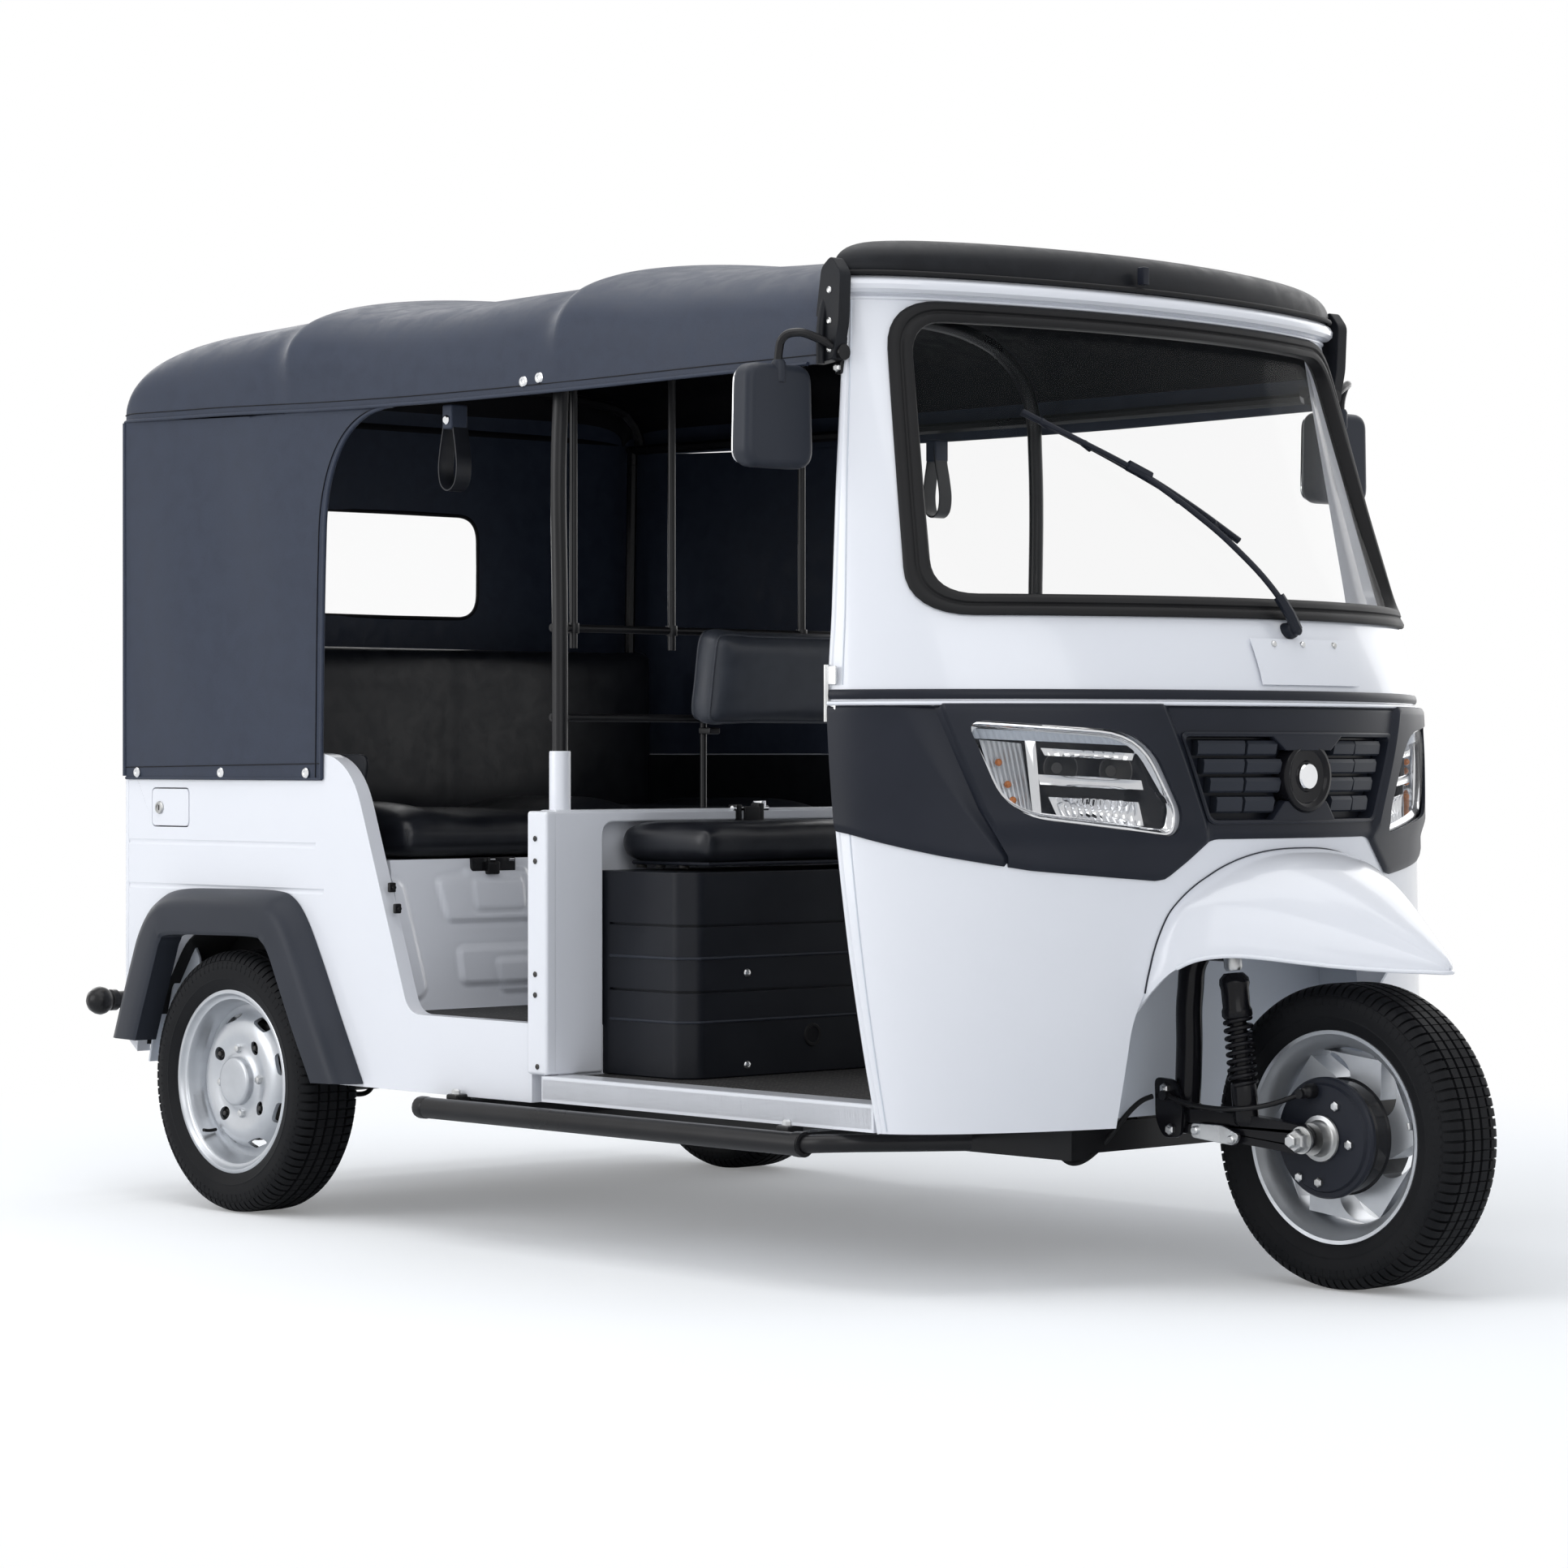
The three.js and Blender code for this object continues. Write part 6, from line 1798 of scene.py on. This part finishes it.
def make_tyre(name, x, y, body, node):
    centre = (x, y, AXLE_Z)
    crown = [(240.6, -30), (241, 0), (240.6, 30)]
    profile = TYRE_SECTION + crown + [(r, -a) for r, a in reversed(TYRE_SECTION)] + TYRE_INSIDE
    carcass = turned(f"{name}_tyre_carcass", profile, centre, "Y", 128)
    finish(carcass, TYRE, 34, body=body, replaces=[node])
    pieces = []
    for side in SIDES:
        outline = [(239.0, 35.5), (246.6, 35.5), (245.6, 46), (241.8, 55), (235.4, 61.4), (229.0, 64.8),
                   (226, 62), (234, 52)]
        pieces.append(prism("shoulder", [(r, side * a) for r, a in outline], "Z", -6.2, 6.2))
        mark = [(212, 65.5), (213, 67.4), (225, 65.6), (224, 63)]
        pieces.append(prism("mark", [(r, side * a) for r, a in mark], "Z", -1.4, 1.4))
    pieces += [prism("rib", [(239, low), (246.9, low + 0.5), (246.9, high - 0.5), (239, high)], "Z", -7.6,
                     7.6)
               for low, high in TREAD_RIBS]
    pitch = join(f"{name}_tyre_tread", pieces)
    pitch.data.transform(shift(*centre))
    finish(ring_of(pitch, TREAD_COUNT, centre), TYRE, 34, body=body)


# radius, distance outward along the axle
RIM_BARREL = [(171, 46), (174, 51), (174, 56), (171, 58), (166, 57.5), (163.5, 54), (162, 50), (158, 47.5),
              (155.5, 47.5), (153.5, 44), (152.5, 36), (149, 24), (144, 12), (143, -20), (150, -40),
              (160, -48), (166, -57), (172, -58), (174, -52), (171, -46), (166, -44), (152, -32), (148, -20),
              (148, 14), (154, 28), (162, 40)]
REAR_DISC = [(146, 8), (138, 8), (131, 11), (125, 18), (119, 28), (110, 35), (98, 38.5), (86, 38), (74, 34.5),
             (64, 33), (56, 34.5), (52, 37.5), (47, 39), (0, 39), (0, 33), (50, 33), (62, 28), (76, 30),
             (98, 33.5), (108, 30), (116, 22), (124, 8), (130, 2), (146, 1)]


def around(x, y, radius, degrees):
    angle = math.radians(degrees)
    return x + radius * math.cos(angle), y, AXLE_Z + radius * math.sin(angle)


def make_rear_wheel(side):
    name = SIDE_NAME[side]
    body = f"rear_wheel_{name}"
    x, y = REAR_AXLE_X, side * WHEEL_HALF_TRACK
    centre = (x, y, AXLE_Z)
    make_tyre(f"rear_{name}", x, y, body, f"rear_tyre_{name}")
    rim = turned(f"rear_{name}_rim_barrel", RIM_BARREL, centre, "Y", 112, side)
    finish(rim, SILVER, 40, body=body, replaces=[f"rear_rim_{name}"])

    disc = turned(f"rear_{name}_wheel_disc", REAR_DISC, centre, "Y", 112, side)
    nuts, bumps = [], []
    for k in range(4):
        spot = Vector(around(x, y, 80, 53 + 90 * k))
        carve(disc, bar("cutter", spot + Vector((0, side * 10, 0)), spot + Vector((0, side * 60, 0)), 13, 24))
        nuts.append(turned("nut", [(0, 12), (9.5, 12), (9.5, 27), (7, 31), (5, 31), (5, 37), (3.5, 38.5),
                                   (0, 38.5)], spot,
                           "Y", 6, side))
        spot = Vector(around(x, y, 61, 5 + 90 * k))
        bumps.append(turned("bump", [(0, 28), (8.5, 28), (8.5, 37), (6.5, 41), (2.5, 42), (0, 42)], spot, "Y",
                            6, side))
    for k in range(8):
        angle = 108 - 45 * k
        slot = round_edges(box("cutter", (-21, -30, -6.5), (21, 30, 6.5)), 6, 3, 60)
        turn = Matrix.Rotation(math.radians(90 - angle), 4, "Y")
        slot.data.transform(Matrix.Translation(Vector(around(x, y + side * 25, 121, angle)) * MM) @ turn)
        carve(disc, slot)
    finish(round_edges(disc, 0.9, 2, 48), SILVER, 40, body=body)
    finish(join(f"rear_{name}_wheel_nuts", nuts), DARK_IRON, 30, body=body)
    finish(join(f"rear_{name}_hub_nuts", bumps), ZINC, 30, body=body)
    cap = [(0, 38), (46, 38), (46, 47), (44, 50.5), (40, 52), (30, 52.5), (0, 53)]
    finish(turned(f"rear_{name}_hub_cap", cap, centre, "Y", 72, side), SILVER, 40, body=body)
    drum = [(0, -40), (112, -40), (114, -36), (114, 0), (108, 4), (0, 4)]
    finish(turned(f"rear_{name}_brake_drum", drum, centre, "Y", 72, side), DARK_IRON, 40, slot="black_metal",
           body=body)
    valve = tube(f"rear_{name}_valve",
                 [Vector(around(x, y + side * 20, 140, 225)), Vector(around(x, y + side * 34, 142, 225)),
                  Vector(around(x, y + side * 50, 139, 225))], 3.2)
    finish(valve, RUBBER, body=body)


def make_front_wheel():
    x, body = FRONT_AXLE_X, "front_wheel"
    centre = (x, 0, AXLE_Z)
    make_tyre("front", x, 0, body, "front_tyre")
    finish(turned("front_rim_barrel", RIM_BARREL, centre, "Y", 112), SILVER, 40, body=body,
           replaces=["front_rim"])
    # Swept spokes between the hub and the barrel.
    left, right = [], []
    for k in range(11):
        t = k / 10
        sweep, half = 24 * t ** 1.4, 19 + 6 * abs(2 * t - 1) ** 2
        left.append(around(0, 0, 84 + 62 * t, sweep + half))
        right.append(around(0, 0, 84 + 62 * t, sweep - half))
    outline = [(p[0], p[2] - AXLE_Z) for p in left + right[::-1]]
    spoke = round_edges(prism("front_wheel_spokes", outline, "Y", -26, 20), 4, 3, 30)
    spoke.data.transform(shift(*centre))
    spoke = ring_of(spoke, 6, centre)
    finish(spoke, SILVER, 35, body=body)
    hub = [(17, -60), (86, -60), (92, -54), (92, -30), (95, -26), (95, 24), (88, 34), (44, 38), (40, 60),
           (36, 62), (0, 62), (0, 46), (17, 46)]
    finish(turned("front_brake_drum", hub, centre, "Y", 96), GLOSS_BLACK, 36, body=body)
    weight = round_edges(box("front_balance_weight", (-6, -50, 147), (6, -36, 153)), 2, 2)
    weight.data.transform(shift(*centre) @ Matrix.Rotation(math.radians(80), 4, "Y"))
    finish(weight, ZINC, body=body)


# ---- steering fork and front suspension ----
STEER_LEAN = 0.445  # forward for each unit down


def steer_x(z):
    return 1020 + (560 - z) * STEER_LEAN


def coil_path(start, end, radius, turns, steps=18):
    start, end = Vector(start), Vector(end)
    turn = (end - start).to_track_quat("Z", "Y")
    count = int(turns * steps)
    path = []
    for k in range(count + 1):
        angle = 2 * math.pi * k / steps
        path.append(start.lerp(end, k / count) + turn @ Vector((radius * math.cos(angle),
                                                                radius * math.sin(angle), 0)))
    return path


def sleeve_on(name, start, end, profile, steps=32):
    """A turned part on the line from start to end; its profile is (radius, share of the length)."""
    start, end = Vector(start), Vector(end)
    reach = (end - start).length
    piece = turned(name, [(r, t * reach) for r, t in profile], (0, 0, 0), "Z", steps)
    piece.data.transform(facing(start, end - start))
    return piece


def make_fork():
    top, low = (steer_x(572), 0, 572), (steer_x(1038), 0, 1038)
    column = sleeve_on("steering_column", top, low, [(0, 0), (20, 0), (20, 0.985), (17, 1), (0, 1)])
    stem = tube("fork_stem", [(steer_x(578), 0, 578), (1000, -60, 572), (966, -104, 536), (955, -112, 470),
                              (953, -112, 380), (950, -113, 300), (947, -114, 262)], 22, 6)
    knuckle = bar("fork_knuckle", (944, -142, 266), (944, -90, 266), 27, 32)
    link_rows = [(-30, 5, 10), (40, 24, 20), (180, 26, 20), (268, 22, 16), (285, 0, 18), (262, -24, 18),
                 (60, -20, 20), (-26, -16, 12)]
    link = prism("leading_link", rounded([(x, z, r) for x, z, r in link_rows], 5), "Y", -136, -114)
    link.data.transform(shift(944, 0, 262) @ Matrix.Rotation(math.radians(3), 4, "Y"))
    round_edges(link, 3, 2)
    top_arm = bar("shock_top_arm", (975, -112, 540), (1058, -120, 540), 15, 20)
    plate_rows = [(906, 332, 12), (950, 330, 12), (968, 296, 12), (964, 236, 12), (926, 232, 14),
                  (908, 262, 14)]
    plate = round_edges(prism("fork_plate", rounded(plate_rows, 5), "Y", -146, -138), 2, 2)
    fork = join("fork_and_link", [column, stem, knuckle, link, top_arm, plate])
    finish(fork, GLOSS_BLACK, 36, body="steering", replaces=["steering_fork"])


def make_shock():
    """Spring and damper between the stem's top arm and the link."""
    head, foot = (1056, -126, 548), (1090, -126, 262)
    damper = sleeve_on("damper_body", head, foot,
                       [(0, 0.20), (17, 0.20), (18, 0.22), (18, 0.34), (14, 0.36), (14, 0.74),
                        (20, 0.76), (21, 0.80), (21, 0.97), (16, 1.0), (0, 1.0)])
    cover = sleeve_on("damper_cover", head, foot,
                      [(0, 0.14), (16, 0.14), (24, 0.17), (25, 0.20), (23, 0.23), (22.5, 0.33),
                       (25, 0.35), (25, 0.38), (21, 0.40), (0, 0.40)])
    eye = bar("damper_eye", (1056, -142, 546), (1056, -108, 546), 14, 28)
    finish(join("front_damper", [damper, cover, eye]), GLOSS_BLACK, 40, body="steering")
    bush = sleeve_on("damper_bush", (1056, -126, 556), foot,
                     [(0, 0), (9, 0), (11, 0.02), (11, 0.06), (15, 0.075),
                      (15, 0.13), (12, 0.15), (0, 0.15)])
    finish(bush, ZINC, 40, body="steering")
    upper, lower = (Vector(head).lerp(Vector(foot), share) for share in (0.39, 0.77))
    spring = tube("front_spring", coil_path(upper, lower, 20.5, 8.5), 4.1, 3, steps=2)
    finish(spring, GLOSS_BLACK, 60, body="steering")


def make_front_brake():
    """Back plate, axle, brake arm and rod on the fork."""
    x = FRONT_AXLE_X
    back = [(0, -68), (98, -68), (98, -74), (95, -78), (88, -78), (85, -83), (40, -84), (36, -86), (0, -86)]
    finish(turned("brake_back_plate", back, (x, 0, AXLE_Z), "Y", 96), BLACK_PLASTIC, 36, slot="black_metal",
           body="steering")
    flange = [(0, -86), (37, -86), (38, -88), (37, -91), (30, -92), (27, -96), (26, -112), (0, -112)]
    boss = turned("axle_boss", flange, (x, 0, AXLE_Z), "Y", 64)
    nut = turned("axle_nut", [(0, -136), (19, -136), (19, -150), (16, -154), (11, -154), (11, -164),
                              (9, -166), (0, -166)],
                 (x, 0, AXLE_Z), "Y", 6)
    washer = turned("washer", [(0, -132), (22, -132), (22, -136.5), (0, -136.5)], (x, 0, AXLE_Z), "Y", 40)
    finish(join("front_axle_boss", [boss, nut, washer]), ZINC, 35, body="steering")
    bolt = [(0, -82), (8, -82), (8, -89), (6, -91), (0, -91.5)]
    places = ((1170, 317), (1240, 300), (1268, 240), (1206, 176), (1166, 182))
    bolts = [turned("bolt", bolt, (bx, 0, bz), "Y", 6) for bx, bz in places]
    finish(join("back_plate_bolts", bolts), ZINC, 30, body="steering")
    shaft = turned("brake_cam", [(0, -84), (12, -84), (12, -98), (9, -102), (6, -108), (0, -109)],
                   (1192, 0, 322), "Y", 28)
    finish(shaft, BLACK_STEEL, 40, body="steering")
    arm_rows = [(990, 262, 8), (1056, 262, 8), (1094, 248, 10), (1082, 230, 10), (990, 238, 8)]
    arm = round_edges(prism("brake_arm", rounded(arm_rows, 5), "Y", -150, -142), 1.5, 2)
    pins = [turned("pin", [(0, -150), (7, -150), (7, -154), (5, -156), (0, -156)], (px, 0, pz), "Y", 16)
            for px, pz in ((1078, 240), (1000, 250))]
    finish(join("brake_arm_and_pins", [arm, *pins]), ZINC, 35, body="steering")
    bolts = [turned("bolt", [(0, -146), (9, -146), (9, -152), (7, -154), (4, -154), (4, -157), (0, -157)],
                    (px, 0, pz), "Y", 6) for px, pz in ((932, 314), (944, 248))]
    finish(join("fork_plate_bolts", bolts), ZINC, 30, body="steering")
    rod = tube("brake_rod",
               [(936, -152, 304), (975, -154, 295), (1030, -154, 289), (1085, -150, 290), (1140, -132, 299),
                (1182, -106, 316)], 4.4)
    ends = [bar("rod_end", (936, -160, 304), (936, -146, 304), 8, 16),
            bar("rod_end", (1186, -112, 318), (1186, -96, 318), 8, 16)]
    finish(join("brake_rod_and_ends", [rod, *ends]), BLACK_STEEL, 40, body="steering")


def make_handlebar():
    parts = [bar("clamp", (steer_x(1041), 0, 1041), (steer_x(1076), 0, 1076), 25, 32)]
    for side in SIDES:
        parts.append(tube("bar", [(steer_x(1060), 0, 1060), (793, side * 60, 1074), (786, side * 130, 1078),
                                  (764, side * 216, 1074), (742, side * 300, 1070)], 11))
        parts.append(round_edges(box("switch", (752, side * 190, 1056), (788, side * 222, 1092)), 6, 3))
    finish(join("handlebar_bars", parts), BLACK_STEEL, 40, slot="black_plastic", body="steering",
           replaces=["handlebar"])
    grips = []
    for side in SIDES:
        start, end = (762, side * 224, 1073.6), (737, side * 322, 1069)
        ridges = [(0, 0), (15, 0), (16, 0.03)]
        for k in range(12):
            t = 0.06 + 0.072 * k
            ridges += [(16.6, t), (16.6, t + 0.045), (15.2, t + 0.05), (15.2, t + 0.068)]
        ridges += [(17, 0.95), (17, 0.985), (15, 1), (0, 1)]
        grips.append(sleeve_on("grip", start, end, ridges))
        lever = tube("lever", [(772, side * 205, 1072), (800, side * 228, 1074), (796, side * 270, 1072),
                               (782, side * 318, 1068)], 4.5)
        grips.append(lever)
    finish(join("handlebar_grips", grips), RUBBER, 40, body="steering")


# ---- frames, axle, guards and the pieces beneath ----
HOOP_X, HOOP_Y, PARTITION_X = -75, 600, -98
PARTITION_LEVELS = (928, 1085)


def make_posts():
    """Black tubes of the side hoop, the driver's partition and the roof, with smooth bends."""
    arch = []
    for k in range(13):
        angle = math.pi * k / 12
        y = HOOP_Y * math.copysign(abs(math.cos(angle)) ** 0.45, math.cos(angle))
        arch.append((HOOP_X, y, 1450 + 236 * math.sin(angle) ** 0.8))
    left_leg = [(HOOP_X, HOOP_Y, 767), (HOOP_X, HOOP_Y, 1100)]
    right_leg = [(HOOP_X, -HOOP_Y, 1100), (HOOP_X, -HOOP_Y, 767)]
    hoop = tube("side_hoop_tube", left_leg + arch + right_leg, 14, 6)
    finish(hoop, BLACK_STEEL, 50, replaces=["side_hoop"])
    bars = [bar("rail", (PARTITION_X, -HOOP_Y, z), (PARTITION_X, HOOP_Y, z), 7, 20) for z in PARTITION_LEVELS]
    for y, top in ((-550, 1600), (-320, 1655), (0, 1668)):
        bars.append(bar("upright", (PARTITION_X, y, 1050), (PARTITION_X, y, top), 7, 20))
        collar = [(7, -9), (10, -9), (11, 0), (10, 9), (7, 9)]
        bars.append(turned("collar", collar, (PARTITION_X, y, PARTITION_LEVELS[1]), "Z", 20))
    for side in SIDES:
        bars.append(round_edges(box("seat_bracket", (-92, side * 236, 900), (-60, side * 262, 912)), 3, 2))
        bars.append(bar("seat_bracket_leg", (-92, side * 249, 768), (-92, side * 249, PARTITION_LEVELS[1]), 6,
                        16))
        sleeve = [(0, -22), (11, -22), (12, -16), (12, 0), (0, 0)]
        bars += [turned("collar", sleeve, (-86, side * HOOP_Y, z), "Y", 20, side) for z in PARTITION_LEVELS]
    finish(join("partition_bars", bars), BLACK_STEEL, 40, replaces=["partition_frame"])


GUARD_Y, GUARD_Z = 690, 236


def make_guards():
    for side in SIDES:
        name = SIDE_NAME[side]
        route = [(x, side * GUARD_Y, GUARD_Z) for x in (-355, -100, 300, 560, 640)]
        thick = tube(f"side_guard_tube_{name}", route, 19, 6)
        bend = [(630, 687, GUARD_Z), (690, 660, GUARD_Z + 4), (745, 565, GUARD_Z + 3),
                (800, 470, GUARD_Z + 2)]
        thin = tube("thin", [(x, side * y, z) for x, y, z in bend], 15, 6)
        cap = turned("cap", [(0, -12), (12, -11), (18, -6), (20, 0), (20, 14), (19, 18), (0, 18)],
                     (-350, side * GUARD_Y, GUARD_Z), "X", 36)
        ring = turned("ring", [(15, -10), (20.5, -10), (21, 0), (20.5, 10), (15, 10)],
                      (632, side * (GUARD_Y - 3), GUARD_Z), "X", 36)
        stays = [round_edges(box("stay", (x, side * 640, 228), (x + 30, side * 676, 262)), 4, 2)
                 for x in (-300, 560)]
        guard = join(f"side_guard_assembly_{name}", [thick, thin, cap, ring, *stays])
        finish(guard, BLACK_STEEL, 40, replaces=[f"side_guard_{name}"])
        bolts = [turned("bolt", [(0, 0), (8, 0), (8, 6), (5, 9), (0, 9)], (x + 15, side * 664, 262), "Z", 6)
                 for x in (-300, 560)]
        finish(join(f"side_guard_bolts_{name}", bolts), ZINC, 30)


def make_axle():
    half = 542
    profile = [(0, -half), (30, -half), (32, -half + 8), (32, -250), (40, -120), (84, -74), (88, -40),
               (88, 60), (80, 92), (44, 130), (32, 260), (32, half - 8), (30, half), (0, half)]
    axle = turned("rear_axle_casing", profile, (REAR_AXLE_X, 0, AXLE_Z), "Y", 56)
    finish(axle, BLACK_STEEL, 40, replaces=["rear_axle"])
    bolt = [(0, -14), (7, -14), (7, 4), (5, 6), (0, 6)]
    bolts = [turned("bolt", bolt, around(REAR_AXLE_X, 92, 62, 45 * k), "Y", 6) for k in range(8)]
    finish(join("rear_axle_bolts", bolts), ZINC, 30)


def make_motor():
    rows = []
    for k in range(9):
        y = -64 + 20 * k
        rows += [(58, y), (62, y + 3), (62, y + 11), (58, y + 14)]
    motor = turned("drive_motor_casing",
                   [(0, -70), (50, -70), (56, -67), *rows, (52, 108), (40, 110), (0, 110)], (-799, 0, 300),
                   "Y", 48)
    finish(motor, DARK_IRON, 40, slot="black_metal", replaces=["drive_motor"])


def make_leaf_springs():
    for side in SIDES:
        name = SIDE_NAME[side]
        leaves = [round_edges(box("leaf", (start, side * 376, z - 7), (end, side * 424, z - 0.8)), 1.5, 2)
                  for start, end, z in ((-1246, -664, 300), (-1190, -720, 291), (-1120, -790, 284))]
        pad = round_edges(box("pad", (-1000, side * 368, 268), (-898, side * 432, 278)), 2, 2)
        eyes = [bar("eye", (x, side * 372, 296), (x, side * 428, 296), 11, 20) for x in (-1240, -672)]
        bands = [tube("band",
                      [(x, side * 372, 300), (x, side * 372, 222), (x, side * 400, 210), (x, side * 428, 222),
                       (x, side * 428, 300)], 5, 2) for x in (-984, -914)]
        spring = join(f"leaf_spring_{name}", [*leaves, pad, *eyes, *bands])
        finish(spring, BLACK_STEEL, 35)
        plate = [(0, 0), (104, 0), (104, 3), (98, 8), (80, 10), (0, 10)]
        cover = turned(f"rear_back_plate_{name}", plate, (REAR_AXLE_X, side * 528, AXLE_Z), "Y", 64, side)
        finish(cover, BLACK_STEEL, 36)


# from the frame, down and forward in a loop, to the fork
HOSE_ROUTE = [(762, -232, 264), (763, -232, 246), (764, -231, 226), (769, -229, 206), (778, -225, 192),
              (792, -219, 186), (808, -211, 191), (824, -199, 206), (840, -186, 228), (854, -174, 252),
              (870, -164, 275), (888, -156, 292), (906, -150, 300)]


def make_hoses():
    """The brake hose hangs in a loop from the fork to the frame."""
    route = [Vector(through(HOSE_ROUTE, k / 30)) for k in range(31)]
    hose = tube("front_brake_hose", route, 4.5, 3, steps=2)
    smooth(hose, 60).data.materials.append(RUBBER)
    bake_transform(hose)


def finish_solids():
    """Finishes of the solids that stay in view as they are."""
    dress(BLACK_STEEL, "chassis_frame", "rear_frame", "steering_neck", "roof_frame", "roof_rail_right",
          "roof_rail_left")
    dress(SHADED_WHITE_PAINT, "wheel_well")


# ---- the whole vehicle ----
make_cab_shells()
make_screen()
make_mask()
make_grille()
for side in SIDES:
    make_headlamp(side)
make_roof_cap()
make_mudguard()
make_wiper()
make_mirrors()
make_plate()
make_cab_edges()
make_canopy()
make_curtains()
make_rear_curtain()
make_straps()
for side in SIDES:
    make_quarter_panel(side)
    make_wheel_housing(side)
    make_inner_trim(side)
    make_arch_stay(side)
    make_door_buckles(side)
    make_flare(side)
make_charge_lid()
make_tail()
make_bumper()
make_floor()
make_bulkhead()
make_seats()
make_seat_box()
make_bench_base()
for side in SIDES:
    make_rear_wheel(side)
make_front_wheel()
make_fork()
make_shock()
make_front_brake()
make_handlebar()
make_posts()
make_guards()
make_axle()
make_motor()
make_leaf_springs()
make_hoses()
finish_solids()
